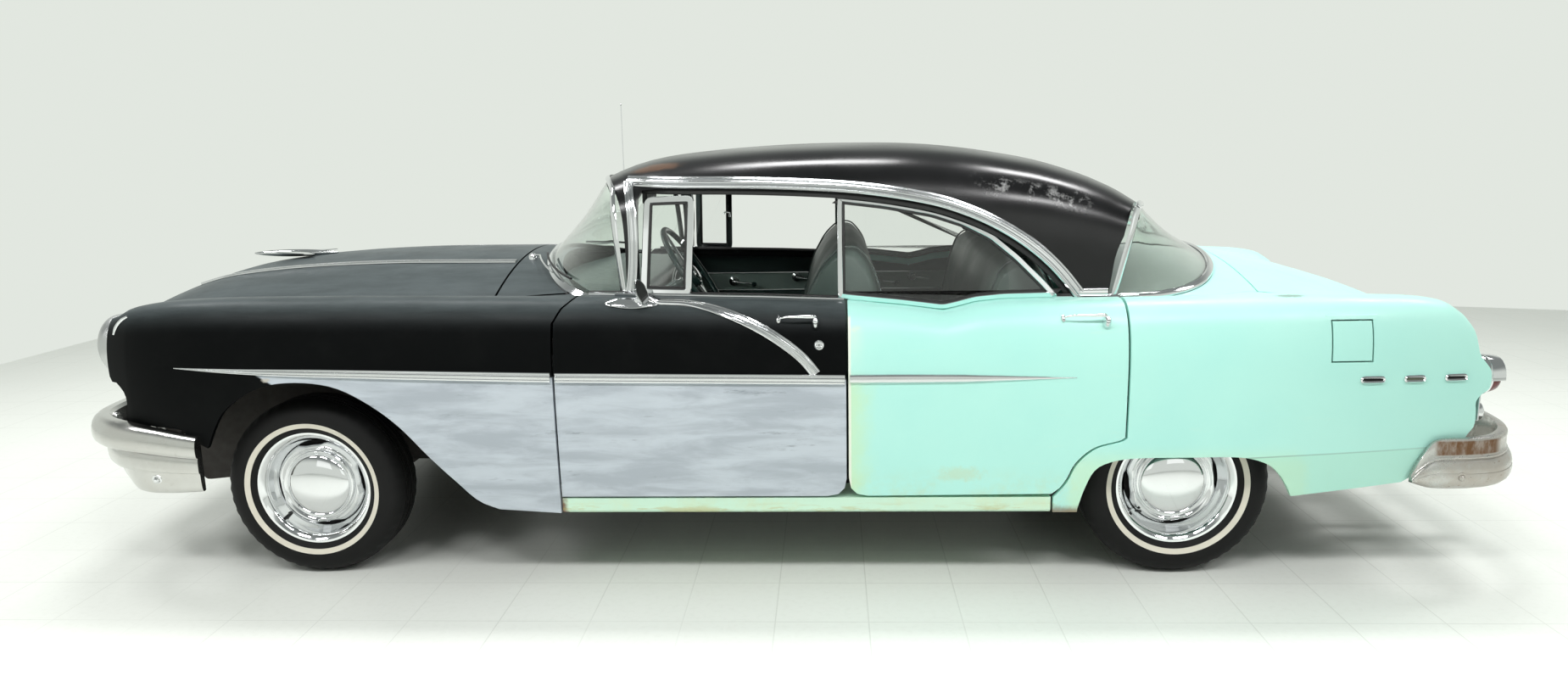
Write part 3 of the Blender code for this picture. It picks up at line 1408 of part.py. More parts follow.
def build_chassis(finish):
    low, high = (c[1] * HALF_WIDTH for c in RAIL_BOX_SHARES)
    frame = prism("chassis_frame", side(RAIL_SHARES), low, high, finish)
    pieces = [prism("rail", side(RAIL_SHARES), -high, -low, finish)]
    table = CROSS_MEMBER_SHARES
    pieces += [block("member", table[k : k + 2], finish) for k in range(0, len(table), 2)]
    table = DROP_BOX_SHARES
    for k in range(0, len(table), 2):
        pieces += [block("drop", table[k : k + 2], finish, mirror) for mirror in (False, True)]
    for hand in (-1, 1):
        pieces.append(
            tube(
                "tower",
                [
                    (FRONT_AXLE_X, hand * SPRING_TOWER_Y, LOWER_ARM_Z + ARM_THICKNESS / 2),
                    (FRONT_AXLE_X, hand * SPRING_TOWER_Y, UPPER_ARM_Z + ARM_THICKNESS / 2),
                ],
                SPRING_TOWER_RADIUS,
                12,
                finish,
            )
        )
        pieces.append(arm("upper", hand, UPPER_ARM_Z, finish))
        pieces.append(arm("lower", hand, LOWER_ARM_Z, finish))
    return combine(frame, pieces, "UNION")


def build_drive(finish):
    engine = block("driveline", ENGINE_SHARES, finish)
    pieces = [
        block("cleaner", AIR_CLEANER_SHARES, finish),
        block("bell", BELL_SHARES, finish),
        block("box", GEARBOX_SHARES, finish),
        tube("shaft", [place(p) for p in SHAFT_SHARES], SHAFT_RADIUS, 10, finish),
    ]
    combine(engine, pieces, "UNION")

    end = TRACK / 2 - DRUM_OUTER
    hub = TRACK / 2 + SPINDLE_REACH
    centre = (REAR_AXLE_X, 0, AXLE_Z)
    profile = [(0, -hub), (SPINDLE_RADIUS, -hub), (SPINDLE_RADIUS, -end), (DRUM_RADIUS, -end)]
    profile += [(DRUM_RADIUS, -TRACK / 2 + DRUM_INNER), (AXLE_TUBE_RADIUS, -TRACK / 2 + DRUM_INNER)]
    profile += [(r, -d) for r, d in reversed(profile)]
    axle = turned("rear_axle", profile, centre, 14, finish)
    bulb = [(r * HALF_WIDTH, d * HALF_WIDTH) for r, d in DIFFERENTIAL_SHARES]
    pieces = [turned("bulb", bulb, centre, 10, finish)]
    low, high = (c[1] * HALF_WIDTH for c in SPRING_SPAN_SHARES)
    for hand in (-1, 1):
        low_y, high_y = sorted((hand * low, hand * high))
        pieces.append(prism("leaf", side(SPRING_SHARES), low_y, high_y, finish))
        pieces.append(block("pad", SPRING_PAD_SHARES, finish, hand < 0))
    combine(axle, pieces, "UNION")

    exhaust = tube("exhaust", [place(p) for p in EXHAUST_SHARES], PIPE_RADIUS, 8, finish)
    muffler = tube("muffler", [place(p) for p in MUFFLER_SHARES], MUFFLER_RADIUS, 14, finish)
    combine(exhaust, [muffler], "UNION")
    block("fuel_tank", TANK_SHARES, finish)


def build_knuckles(finish):
    hub = TRACK / 2 + SPINDLE_REACH
    end = TRACK / 2 - DRUM_OUTER
    inner = TRACK / 2 - DRUM_INNER
    centre = (FRONT_AXLE_X, 0, AXLE_Z)
    profile = [(0, -hub), (SPINDLE_RADIUS, -hub), (SPINDLE_RADIUS, -end), (DRUM_RADIUS, -end)]
    profile += [(DRUM_RADIUS, -inner), (0, -inner)]
    left = turned("knuckle_left", profile, centre, 16, finish)
    pieces = []
    for table in (UPRIGHT_SHARES, STEERING_ARM_SHARES):
        low, high = (place(c) for c in table)
        shift = Vector((FRONT_AXLE_X, -inner, AXLE_Z))
        pieces.append(box("piece", Vector(low) + shift, Vector(high) + shift, finish))
    combine(left, pieces, "UNION")
    return left, mirrored(left, "knuckle_right")


def build_wheels(rubber, chrome):
    for end, x in (("front", FRONT_AXLE_X), ("rear", REAR_AXLE_X)):
        for hand, word in ((-1, "left"), (1, "right")):
            centre = (x, hand * TRACK / 2, AXLE_Z)
            for kind, table, finish in (("tyre", TYRE_SHARES, rubber), ("wheel", RIM_SHARES, chrome)):
                name = "%s_%s_%s" % (kind, end, word)
                flat = math.cos(math.pi / WHEEL_STEPS)
                profile = [(r / flat, d) for r, d in scaled(table, TYRE_RADIUS, hand)]
                piece = turned(name, profile, centre, WHEEL_STEPS, finish, phase=0.5)
                set_origin(piece, centre)


def build_small_parts(chrome, glass):
    base_z = surface_z(ANTENNA_X, ANTENNA_Y) + ANTENNA_SEAT
    rise = ANTENNA_TOP - base_z
    profile = [(r * ANTENNA_RADIUS, d * rise) for r, d in ANTENNA_SHARES]
    turned("antenna", profile, (ANTENNA_X, ANTENNA_Y, base_z), 8, chrome, "Z")

    rings = []
    for t, w in MIRROR_BASE_SHARES:
        x = MIRROR_X + t * MIRROR_LENGTH
        half = w * MIRROR_LENGTH
        ring = []
        for k in range(8):
            a = 2 * math.pi * k / 8
            y = MIRROR_Y + half * math.cos(a)
            z = surface_z(x, y, True) + MIRROR_SEAT + MIRROR_RISE * (1 + math.sin(a)) / 2
            ring.append((x, -y, z))
        rings.append(ring)
    mirror = loft("door_mirror", rings, chrome)
    head = place(MIRROR_HEAD_SHARES[0])
    profile = scaled(MIRROR_PROFILE_SHARES, MIRROR_HEAD_RADIUS)
    pieces = [turned("head", profile, head, 12, chrome, "X")]
    foot = (MIRROR_X, -MIRROR_Y, surface_z(MIRROR_X, MIRROR_Y, True) + MIRROR_RISE)
    pieces.append(tube("stalk", [foot, head], STALK_RADIUS, 6, chrome))
    combine(mirror, pieces, "UNION")

    rings = []
    for x, half, rise in ORNAMENT_SHARES:
        ring = []
        for k in range(8):
            a = 2 * math.pi * k / 8
            y = half * HALF_WIDTH * math.cos(a)
            ring.append((x * HALF_LENGTH, y, ORNAMENT_Z + rise * HEIGHT * math.sin(a)))
        rings.append(ring)
    ornament = loft("hood_ornament", rings, chrome)
    pieces = []
    for hand in (-1, 1):
        outline = [(x * HALF_LENGTH, hand * y * HALF_WIDTH) for x, y in ORNAMENT_WING_SHARES]
        wing = [[(x, y, ORNAMENT_Z + z) for x, y in outline] for z in (0, ORNAMENT_WING)]
        pieces.append(loft("wing", wing, chrome))
    combine(ornament, pieces, "UNION")


def main():
    clear_scene()
    mint = material("mint_paint", MINT, 0.45)
    black = material("black_paint", BLACK, 0.35)
    chrome = material("chrome_plate", CHROME, 0.12, metallic=1.0)
    steel = material("dark_steel", STEEL, 0.6, metallic=0.4)
    rubber = material("tyre_rubber", RUBBER, 0.8)
    trim = material("seat_trim", TRIM_GREEN, 0.6)
    glass = material("tinted_glass", GLASS_TINT, 0.05, alpha=0.35)
    build_fenders(black)
    front, rear, front_right, rear_right = build_doors(black, mint)
    _, _, fuel_door = build_quarters(mint)
    build_rockers(mint)
    hood = build_hood(black)
    lid = build_trunk_lid(mint)
    build_roof(black)
    glazing("windshield", screen_foot, 0, 7, 17, glass)
    glazing("rear_window", backlight_foot, 1, 6, 15, glass)
    build_side_windows(glass)
    build_cowl(black)
    build_rear_deck(mint)
    build_nose(black, chrome)
    half = inner_edge_y(TAIL_X) - SEAT_GAP
    prism("tail_panel", side(TAIL_PANEL_SHARES), -half, half, mint)
    build_bumpers(chrome)
    build_lamps(chrome)
    build_dashboard(trim)
    build_steering_wheel(black)
    build_seats(trim)
    build_floor(steel)
    build_chassis(steel)
    build_drive(steel)
    left, right = build_knuckles(steel)
    build_wheels(rubber, chrome)
    build_small_parts(chrome, glass)

    for piece, x, hand in (
        (front, DOOR_FRONT_X, -1),
        (front_right, DOOR_FRONT_X, 1),
        (rear, DOOR_MIDDLE_X + DOOR_GAP / 2, -1),
        (rear_right, DOOR_MIDDLE_X + DOOR_GAP / 2, 1),
    ):
        set_origin(piece, (x, hand * HALF_WIDTH, WIDE_HEIGHT))
    set_origin(hood, (HOOD_REAR_X, 0, HINGE_HEIGHT))
    set_origin(lid, (LID_FRONT_X, 0, LID_HINGE_HEIGHT))
    hinge_x = place(FUEL_HOLE_SHARES[0])[0] + PANEL_GAP
    hinge_z = (place(FUEL_HOLE_SHARES[0])[2] + place(FUEL_HOLE_SHARES[1])[2]) / 2
    set_origin(fuel_door, (hinge_x, -HALF_WIDTH, hinge_z))
    for piece, hand in ((left, -1), (right, 1)):
        set_origin(piece, (FRONT_AXLE_X, hand * KINGPIN_Y, AXLE_Z))


main()
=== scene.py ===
"""The looks of a mid-fifties four-door hardtop saloon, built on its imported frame."""

import math

import bmesh
import bpy
from mathutils import Matrix, Vector
from mathutils.bvhtree import BVHTree
from mathutils.interpolate import poly_3d_calc

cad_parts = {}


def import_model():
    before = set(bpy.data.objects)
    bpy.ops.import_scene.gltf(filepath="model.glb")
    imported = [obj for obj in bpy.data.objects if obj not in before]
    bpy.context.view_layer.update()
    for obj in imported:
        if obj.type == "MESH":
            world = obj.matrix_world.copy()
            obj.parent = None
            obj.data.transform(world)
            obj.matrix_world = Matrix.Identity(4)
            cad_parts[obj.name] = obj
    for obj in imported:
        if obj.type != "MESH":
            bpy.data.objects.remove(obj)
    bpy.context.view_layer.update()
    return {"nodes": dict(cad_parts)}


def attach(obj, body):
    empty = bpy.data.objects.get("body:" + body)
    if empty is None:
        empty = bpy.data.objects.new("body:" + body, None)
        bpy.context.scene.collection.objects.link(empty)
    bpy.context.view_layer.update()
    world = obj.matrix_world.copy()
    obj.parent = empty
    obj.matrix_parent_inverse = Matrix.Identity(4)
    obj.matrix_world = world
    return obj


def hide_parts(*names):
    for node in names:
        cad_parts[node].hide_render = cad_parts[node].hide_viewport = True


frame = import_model()

# Body shape, shared with the part
LENGTH = 5.22
BODY_WIDTH = 1.908
HEIGHT = 1.53
SCREEN_HEAD, SCREEN_TOP = HEIGHT * 0.905, HEIGHT * 0.955
WHEELBASE = 3.099
FRONT_OVERHANG = 0.91
BELT_HEIGHT = 1.0
SILL_HEIGHT = 0.27
WIDE_HEIGHT = 0.72
SECTION_FOOT = 0.22
SEAT_GAP = 0.0006
PANEL_GAP = 0.005
DOOR_GAP = 0.008
WINDOW_GAP = 0.006
ROOF_SEAT = 0.0012
SCREEN_SEAT = 0.0052
ANTENNA_SEAT = 0.0037
DASH_SIDE = 0.0796
OVERRUN = 0.05
TRACK = 1.49
TYRE_RADIUS = 0.328
SHEET = 0.018
DOOR_EDGE_THICKNESS = 0.040
DOOR_THICKNESS = 0.058
DOOR_TAPER = 0.070
DOOR_LIP = 0.030
SILL_INNER_Y = 0.787
DECK_EDGE_Y = 0.772
DOOR_FRONT_X = -0.755
DOOR_MIDDLE_X = 0.244
DOOR_REAR_X = 1.177
DOOR_BOTTOM = 0.332
DOOR_CORNER = 0.065
NOSE_X = -2.40
NOSE_BLOCK = 0.10
TAIL_X = 2.392
TAIL_BLOCK = 0.09
HOOD_REAR_X = -1.045
HOOD_NOSE_X = -2.50
HOOD_NOSE_SWEEP = 0.08
LID_FRONT_X = 1.703
LID_TURN_X = 2.300
LID_REAR_X = 2.372
LID_BOTTOM = 0.620
COWL_HALF_WIDTH = 0.779
COWL_LAP = 0.05
REAR_DECK_X = 1.03
ROOF_SHEET = 0.034
GLASS = 0.006
GLASS_HALF_WIDTH = 0.775
ROOF_FRONT_X = -0.525
ROOF_FRONT_SWEEP = 0.135
SCREEN_FOOT_X = -0.535
SCREEN_SWEEP = 0.415
BACKLIGHT_FOOT_X = 1.168
BACKLIGHT_SWEEP = 0.492
WINDOW_FOOT_Y = 0.790
WINDOW_LEAN = 0.080
WINDOW_RISE = 0.38
FRAME_DEPTH = 0.012
HALF_LENGTH = LENGTH / 2
HALF_WIDTH = BODY_WIDTH / 2
FRONT_AXLE_X = FRONT_OVERHANG - HALF_LENGTH
REAR_AXLE_X = FRONT_AXLE_X + WHEELBASE
AXLE_Z = TYRE_RADIUS
BODY_SHARES = (
    (-0.935, 0.955, 0.760, 0.860, 0.830, 0.629),
    (-0.881, 0.998, 0.788, 0.922, 0.885, 0.632),
    (-0.805, 1.022, 0.812, 0.959, 0.928, 0.645),
    (-0.651, 1.030, 0.833, 0.983, 0.959, 0.666),
    (-0.421, 1.026, 0.844, 0.996, 0.970, 0.687),
    (-0.287, 1.020, 0.849, 1.000, 0.975, 0.693),
    (0.096, 0.998, 0.849, 1.000, 0.975, 0.812),
    (0.452, 0.998, 0.844, 1.000, 0.975, 0.812),
    (0.575, 1.001, 0.842, 0.998, 0.973, 0.790),
    (0.636, 1.002, 0.840, 0.995, 0.970, 0.706),
    (0.766, 0.998, 0.836, 0.982, 0.955, 0.678),
    (0.862, 0.975, 0.825, 0.958, 0.935, 0.668),
    (0.905, 0.905, 0.806, 0.940, 0.918, 0.664),
    (0.930, 0.880, 0.796, 0.930, 0.908, 0.664),
)
BELT_SHARES = (
    (-0.290, 1.021),
    (-0.250, 1.024),
    (-0.172, 1.019),
    (-0.016, 1.008),
    (0.096, 0.996),
    (0.163, 0.980),
    (0.222, 0.960),
    (0.240, 0.970),
    (0.264, 0.986),
    (0.300, 0.995),
    (0.373, 0.996),
    (0.460, 0.996),
)
FRONT_DECK_SHARES = (
    (-0.965, 0.925, 0.850),
    (-0.940, 0.985, 0.885),
    (-0.900, 1.030, 0.910),
    (-0.843, 1.070, 0.925),
    (-0.736, 1.103, 0.935),
    (-0.594, 1.120, 0.940),
    (-0.452, 1.120, 0.940),
    (-0.395, 1.118, 0.945),
    (-0.287, 1.100, 0.975),
    (-0.160, 1.080, 0.987),
)
REAR_DECK_SHARES = (
    (0.394, 1.010, 0.985),
    (0.460, 1.030, 0.985),
    (0.575, 1.075, 0.982),
    (0.651, 1.083, 0.958),
    (0.728, 1.045, 0.932),
    (0.789, 1.000, 0.908),
    (0.850, 0.950, 0.878),
    (0.889, 0.905, 0.850),
)
ROOF_SHARES = (
    (-0.270, 0.907),
    (-0.245, 0.932),
    (-0.200, 0.962),
    (-0.145, 0.980),
    (-0.023, 0.996),
    (0.100, 1.000),
    (0.222, 0.993),
    (0.345, 0.962),
    (0.414, 0.929),
    (0.464, 0.893),
    (0.498, 0.857),
    (0.540, 0.806),
)
ROOF_REAR_SHARES = (
    (0, 0.4395),
    (3, 0.4464),
    (12, 0.4579),
    (25, 0.4655),
    (38, 0.4732),
    (50, 0.4808),
    (62, 0.4923),
    (75, 0.5077),
    (90, 0.5211),
)
ROOF_ROW_SHARES = (0, 0.03, 0.08, 0.16, 0.28, 0.42, 0.56, 0.70, 0.82, 0.91, 0.96, 1)
ROOF_POWER = 5.0
SCREEN_POWER = 2.0
BACKLIGHT_POWER = 2.5
CROWN_POWER = 2.7
DECK_POWER = 2.0
FRONT_ARCH_SHARES = (
    (-1.043, 0.259),
    (-0.966, 0.64),
    (-0.75, 0.951),
    (-0.366, 1.201),
    (0.012, 1.28),
    (0.466, 1.241),
    (0.817, 1.079),
    (1.159, 0.817),
    (1.494, 0.439),
    (1.75, 0.174),
    (1.966, -0.037),
    (2.19, -0.134),
)
REAR_ARCH_SHARES = (
    (1.07, -0.012),
    (1.0, 0.125),
    (0.905, 0.256),
    (0.768, 0.357),
    (0.506, 0.421),
    (-0.012, 0.424),
    (-0.53, 0.418),
    (-0.79, 0.381),
    (-0.96, 0.29),
    (-1.058, 0.085),
    (-1.119, -0.128),
)
DOOR_NOTCH_SHARES = (
    (-0.671, 0.646),
    (-0.73, 0.61),
    (-0.979, 0.537),
    (-1.162, 0.375),
    (-1.253, 0.189),
    (-1.32, 0.09),
    (-1.40, 0.03),
)
NOSE_SHARES = (
    (0.115, 1.100),
    (0.060, 0.985),
    (0.015, 0.960),
    (0.000, 0.945),
    (0.000, 0.755),
    (0.030, 0.735),
    (0.065, 0.700),
    (0.072, 0.660),
    (0.060, 0.615),
    (0.075, 0.590),
    (0.280, 0.575),
    (0.285, 0.430),
)
TAIL_SHARES = (
    (0.115, 1.100),
    (0.075, 0.930),
    (0.055, 0.880),
    (0.045, 0.810),
    (0.025, 0.780),
    (0.000, 0.745),
    (0.000, 0.690),
    (0.027, 0.665),
    (0.033, 0.640),
    (0.018, 0.610),
    (0.015, 0.560),
    (0.035, 0.530),
    (0.085, 0.400),
    (0.272, 0.368),
)
SIDE_WINDOW_SHARES = (
    (-0.1851, 0.6209), (-0.1851, 0.8824), (-0.1782, 0.902), (-0.1303, 0.9092), (-0.0161, 0.9059),
    (0.0977, 0.8948), (0.1881, 0.8732), (0.2444, 0.8471), (0.3015, 0.8033), (0.359, 0.734),
    (0.3908, 0.6732), (0.4015, 0.6209),
)
VENT_SHARES = (
    (-0.182, 0.6676), (-0.1766, 0.8876), (-0.1084, 0.8902), (-0.113, 0.6637),
)
REAR_GLASS_SHARES = (
    (0.0824, 0.6562), (0.0824, 0.8837), (0.1456, 0.8699), (0.2092, 0.8497), (0.2529, 0.8248),
    (0.2881, 0.7941), (0.3222, 0.7458), (0.3567, 0.6863), (0.3736, 0.6529), (0.3, 0.6507),
    (0.264, 0.6451), (0.2398, 0.6346), (0.2218, 0.6281), (0.1628, 0.6408), (0.0966, 0.6526),
)
FLOOR_SHARES = (
    (-0.3885, 0.4706), (-0.3808, 0.4706), (-0.3602, 0.3366), (-0.3027, 0.2209), (0.3793, 0.2209),
    (0.4023, 0.3431), (0.6667, 0.3431), (0.6858, 0.3105), (0.8946, 0.3105), (0.8946, 0.2974),
    (0.682, 0.2974), (0.6628, 0.3301), (0.408, 0.3301), (0.3851, 0.2078), (-0.3065, 0.2078),
    (-0.3678, 0.3268),
)
FRONT_SEAT_SHARES = (
    (-0.1648, 0.2213), (-0.1762, 0.2941), (-0.1724, 0.366), (-0.1533, 0.3987), (-0.0575, 0.4052),
    (0.0077, 0.3922), (0.023, 0.5229), (0.0421, 0.6536), (0.0651, 0.7255), (0.0881, 0.7614),
    (0.1111, 0.7614), (0.1322, 0.719), (0.1456, 0.6405), (0.1475, 0.5229), (0.1379, 0.3922),
    (0.1264, 0.2213),
)
REAR_SEAT_SHARES = (
    (0.1686, 0.2213), (0.1533, 0.2941), (0.1571, 0.366), (0.1762, 0.402), (0.2375, 0.4052),
    (0.2682, 0.3922), (0.2816, 0.5556), (0.2931, 0.6536), (0.3065, 0.7124), (0.3295, 0.7353),
    (0.3525, 0.732), (0.3755, 0.6732), (0.3824, 0.6209), (0.3839, 0.3464), (0.3697, 0.3268),
    (0.3563, 0.2213),
)
DASH_SHARES = (
    (-0.1992, 0.6634), (-0.187, 0.6503), (-0.1839, 0.6078), (-0.1916, 0.5359), (-0.2088, 0.5163),
)
FIREWALL_BOX_SHARES = (
    (-0.3973, 0.6289, 0.3268), (-0.3897, 0.6289, 0.3268),
)
HINGE_POST_SHARES = (
    (-0.2854, 0.7338, 0.2213), (-0.1935, 0.8155, 0.6418),
)
APRON_SHARES = (
    (-0.8697, 0.4665, 0.3268), (-0.3927, 0.4874, 0.5882),
)
APRON_SHELF_SHARES = (
    (-0.8697, 0.4717, 0.5784), (-0.3927, 0.6734, 0.5882),
)
RADIATOR_SUPPORT_SHARES = (
    (-0.8697, -0.4822, 0.2941), (-0.8621, 0.4822, 0.5882),
)
RADIATOR_SHARES = (
    (-0.864, -0.3459, 0.3072), (-0.8429, 0.3459, 0.5817),
)
SHELF_WALL_SHARES = (
    (0.3966, -0.6126, 0.3529), (0.4023, 0.6126, 0.6536),
)
FUEL_HOLE_SHARES = (
    (0.7057, -1.0482, 0.5163), (0.759, -0.8543, 0.6078),
)
FUEL_CUP_SHARES = (
    (0.7004, -0.9748, 0.5072), (0.7644, -0.8386, 0.617),
)
NOSE_OPENING_SHARES = (
    (-0.9962, -0.5556, 0.4118), (-0.8812, 0.5556, 0.549),
)
NOSE_PANEL_SHARES = (
    (-0.9272, 0.6294, 0.3693), (-0.9195, 0.6294, 0.3693),
)
GRILLE_RIM_SHARES = (
    (-0.9425, -0.5818, 0.3967), (-0.9274, 0.5818, 0.5641),
)
GRILLE_HOLE_SHARES = (
    (-0.9962, -0.5556, 0.4131), (-0.8812, 0.5556, 0.5477),
)
GRILLE_BAR_SHARES = (
    (-0.9375, -0.566, 0.4366), (-0.9318, 0.566, 0.4458), (-0.9375, -0.566, 0.4627),
    (-0.9318, 0.566, 0.4719), (-0.9375, -0.566, 0.4889), (-0.9318, 0.566, 0.498),
    (-0.9375, -0.566, 0.515), (-0.9318, 0.566, 0.5242), (-0.9364, -0.0084, 0.4052),
    (-0.931, 0.0084, 0.5556), (-0.9364, -0.3019, 0.4052), (-0.931, -0.2851, 0.5556),
    (-0.9364, 0.2851, 0.4052), (-0.931, 0.3019, 0.5556),
)
FRONT_BRACKET_SHARES = (
    (-0.9847, 0.3774, 0.232), (-0.9006, 0.4403, 0.2647),
)
REAR_BRACKET_SHARES = (
    (0.8891, 0.3774, 0.2516), (0.9847, 0.4403, 0.2843),
)
FRONT_SEAT_HALF = 0.67
REAR_SEAT_HALF = 0.70
LAMP_PLATE_SHARES = (
    (0.9167, 0.7862, 0.366), (0.9195, 0.8805, 0.4771),
)
FRONT_BUMPER_SHARES = (
    (-0.7854, 0.9623, 0.55, 0.3608, 0.2288), (-0.8123, 0.9591, 0.6, 0.3693, 0.2255),
    (-0.8429, 0.9539, 0.65, 0.3791, 0.2235), (-0.8889, 0.9361, 0.8, 0.3922, 0.2222),
    (-0.9272, 0.8805, 0.95, 0.3941, 0.2222), (-0.9617, 0.7757, 1, 0.3941, 0.2222),
    (-0.977, 0.5765, 1, 0.3941, 0.2222), (-0.9789, 0.2621, 1, 0.3941, 0.2222),
)
REAR_BUMPER_SHARES = (
    (0.8199, 0.9665, 0.4, 0.2614, 0.2431), (0.8333, 0.9659, 0.45, 0.3072, 0.2353),
    (0.8506, 0.9644, 0.5, 0.3399, 0.2288), (0.8927, 0.9497, 0.7, 0.3425, 0.2255),
    (0.931, 0.9078, 0.95, 0.3444, 0.2255), (0.9617, 0.7966, 1, 0.3477, 0.2255),
    (0.977, 0.5765, 1, 0.3477, 0.2255), (0.9789, 0.2621, 1, 0.3477, 0.2255),
)
BUMPER_BULGE = 0.055
BOMB_Y = 0.42
BOMB_Z = 0.50
BOMB_RADIUS = 0.085
HEADLAMP_RADIUS = 0.112
HEADLAMP_Y = 0.713
HEADLAMP_Z = 0.850
TAIL_LAMP_RADIUS = 0.070
TAIL_LAMP_Y = 0.795
TAIL_LAMP_Z = 0.715
REVERSING_LAMP_RADIUS = 0.034
REVERSING_LAMP_Z = 0.585
STEERING_X = -0.337
STEERING_Y = -0.37
STEERING_Z = 1.04
STEERING_RADIUS = 0.205
STEERING_GRIP = 0.011
STEERING_TILT = 56.8
COLUMN_RADIUS = 0.026
COLUMN_START = 0.0744
COLUMN_LENGTH = 0.40
ANTENNA_X = -0.815
ANTENNA_Y = 0.75
ANTENNA_TOP = 1.733
ANTENNA_RADIUS = 0.022
MIRROR_X = -0.492
MIRROR_Y = 0.884
MIRROR_LENGTH = 0.180
MIRROR_RISE = 0.014
MIRROR_BASE_SHARES = (
    (-0.5, 0.02), (-0.42, 0.10), (-0.20, 0.17), (0.05, 0.19), (0.28, 0.15), (0.44, 0.08), (0.5, 0.02),
)
MIRROR_HEAD_SHARES = (
    (-0.1732, -0.9486, 0.683),
)
MIRROR_HEAD_RADIUS = 0.044
ORNAMENT_SHARES = (
    (-0.8755, 0.0042, 0.002), (-0.8582, 0.0168, 0.0065), (-0.8276, 0.0273, 0.0098),
    (-0.7893, 0.0231, 0.0098), (-0.7586, 0.0126, 0.0065), (-0.7356, 0.0031, 0.002),
)
ORNAMENT_Z = 1.1066


def new_object(name, mesh, finish):
    obj = bpy.data.objects.new(name, mesh)
    bpy.context.scene.collection.objects.link(obj)
    mesh.materials.clear()
    mesh.materials.append(finish)
    return obj


def smooth_faces(mesh):
    mesh.shade_smooth()
    mesh.set_sharp_from_angle(angle=math.radians(30))


def solid(name, verts, faces, finish):
    """A closed mesh from points and faces, its faces pointing out."""
    mesh = bpy.data.meshes.new(name)
    mesh.from_pydata([tuple(v) for v in verts], [], faces)
    work = bmesh.new()
    work.from_mesh(mesh)
    bmesh.ops.remove_doubles(work, verts=work.verts, dist=SEAT_GAP / 10)
    bmesh.ops.recalc_face_normals(work, faces=work.faces)
    work.to_mesh(mesh)
    work.free()
    smooth_faces(mesh)
    return new_object(name, mesh, finish)


def loft(name, rings, finish, closed=False):
    """Skins rings of equal count. Open lofts get flat ends."""
    count = len(rings[0])
    verts = [p for ring in rings for p in ring]
    spans = len(rings) if closed else len(rings) - 1
    faces = []
    for i in range(spans):
        a, b = i * count, ((i + 1) % len(rings)) * count
        for j in range(count):
            k = (j + 1) % count
            faces.append((a + j, a + k, b + k, b + j))
    if not closed:
        faces.append(tuple(range(count)))
        last = (len(rings) - 1) * count
        faces.append(tuple(last + j for j in reversed(range(count))))
    return solid(name, verts, faces, finish)


def shell(name, outer, inner, finish):
    """A wall between two grids of points of the same size."""
    rows, columns = len(outer), len(outer[0])
    verts = [p for row in outer for p in row] + [p for row in inner for p in row]
    base = rows * columns

    def at(i, j, side):
        return side * base + i * columns + j

    faces = []
    for i in range(rows - 1):
        for j in range(columns - 1):
            faces.append((at(i, j, 0), at(i + 1, j, 0), at(i + 1, j + 1, 0), at(i, j + 1, 0)))
            faces.append((at(i, j, 1), at(i, j + 1, 1), at(i + 1, j + 1, 1), at(i + 1, j, 1)))
    rim = [(i, 0) for i in range(rows)]
    rim += [(rows - 1, j) for j in range(1, columns)]
    rim += [(i, columns - 1) for i in reversed(range(rows - 1))]
    rim += [(0, j) for j in reversed(range(1, columns - 1))]
    for (i, j), (k, m) in zip(rim, rim[1:] + rim[:1]):
        faces.append((at(i, j, 0), at(k, m, 0), at(k, m, 1), at(i, j, 1)))
    return solid(name, verts, faces, finish)


def thickened(name, outer, depth, finish):
    """A wall of one depth behind a grid whose rows run back and columns run to the right."""
    rows, columns = len(outer), len(outer[0])
    inner = []
    for i, row in enumerate(outer):
        line = []
        for j, p in enumerate(row):
            along = Vector(outer[min(i + 1, rows - 1)][j]) - Vector(outer[max(i - 1, 0)][j])
            across = Vector(row[min(j + 1, columns - 1)]) - Vector(row[max(j - 1, 0)])
            line.append(Vector(p) - along.cross(across).normalized() * depth)
        inner.append(line)
    return shell(name, outer, inner, finish)


def prism(name, outline, low_y, high_y, finish):
    """A side-view outline of (x, z) points, extruded across the car."""
    return loft(name, [[(x, y, z) for x, z in outline] for y in (low_y, high_y)], finish)


def box(name, low, high, finish):
    (x0, y0, z0), (x1, y1, z1) = low, high
    return prism(name, [(x0, z0), (x1, z0), (x1, z1), (x0, z1)], y0, y1, finish)


def place(share):
    return (share[0] * HALF_LENGTH, share[1] * HALF_WIDTH, share[2] * HEIGHT)


def side(table):
    return [(x * HALF_LENGTH, z * HEIGHT) for x, z in table]


def block(name, corners, finish, mirror=False):
    """A box from two corners in shares, on the other side of the car if mirror is set."""
    low, high = place(corners[0]), place(corners[1])
    if mirror:
        low, high = (low[0], -high[1], low[2]), (high[0], -low[1], high[2])
    return box(name, low, high, finish)


def turned(name, profile, centre, steps, finish, axis="Y"):
    """A closed profile of (radius, offset) points turned about an axis through centre."""
    rings = []
    for k in range(steps):
        a = 2 * math.pi * k / steps
        c, s = math.cos(a), math.sin(a)
        if axis == "Y":
            ring = [(centre[0] + r * c, centre[1] + d, centre[2] + r * s) for r, d in profile]
        elif axis == "X":
            ring = [(centre[0] + d, centre[1] + r * c, centre[2] + r * s) for r, d in profile]
        else:
            ring = [(centre[0] + r * c, centre[1] + r * s, centre[2] + d) for r, d in profile]
        rings.append(ring)
    return loft(name, rings, finish, closed=True)


def scaled(table, size):
    return [(r * size, d * size) for r, d in table]


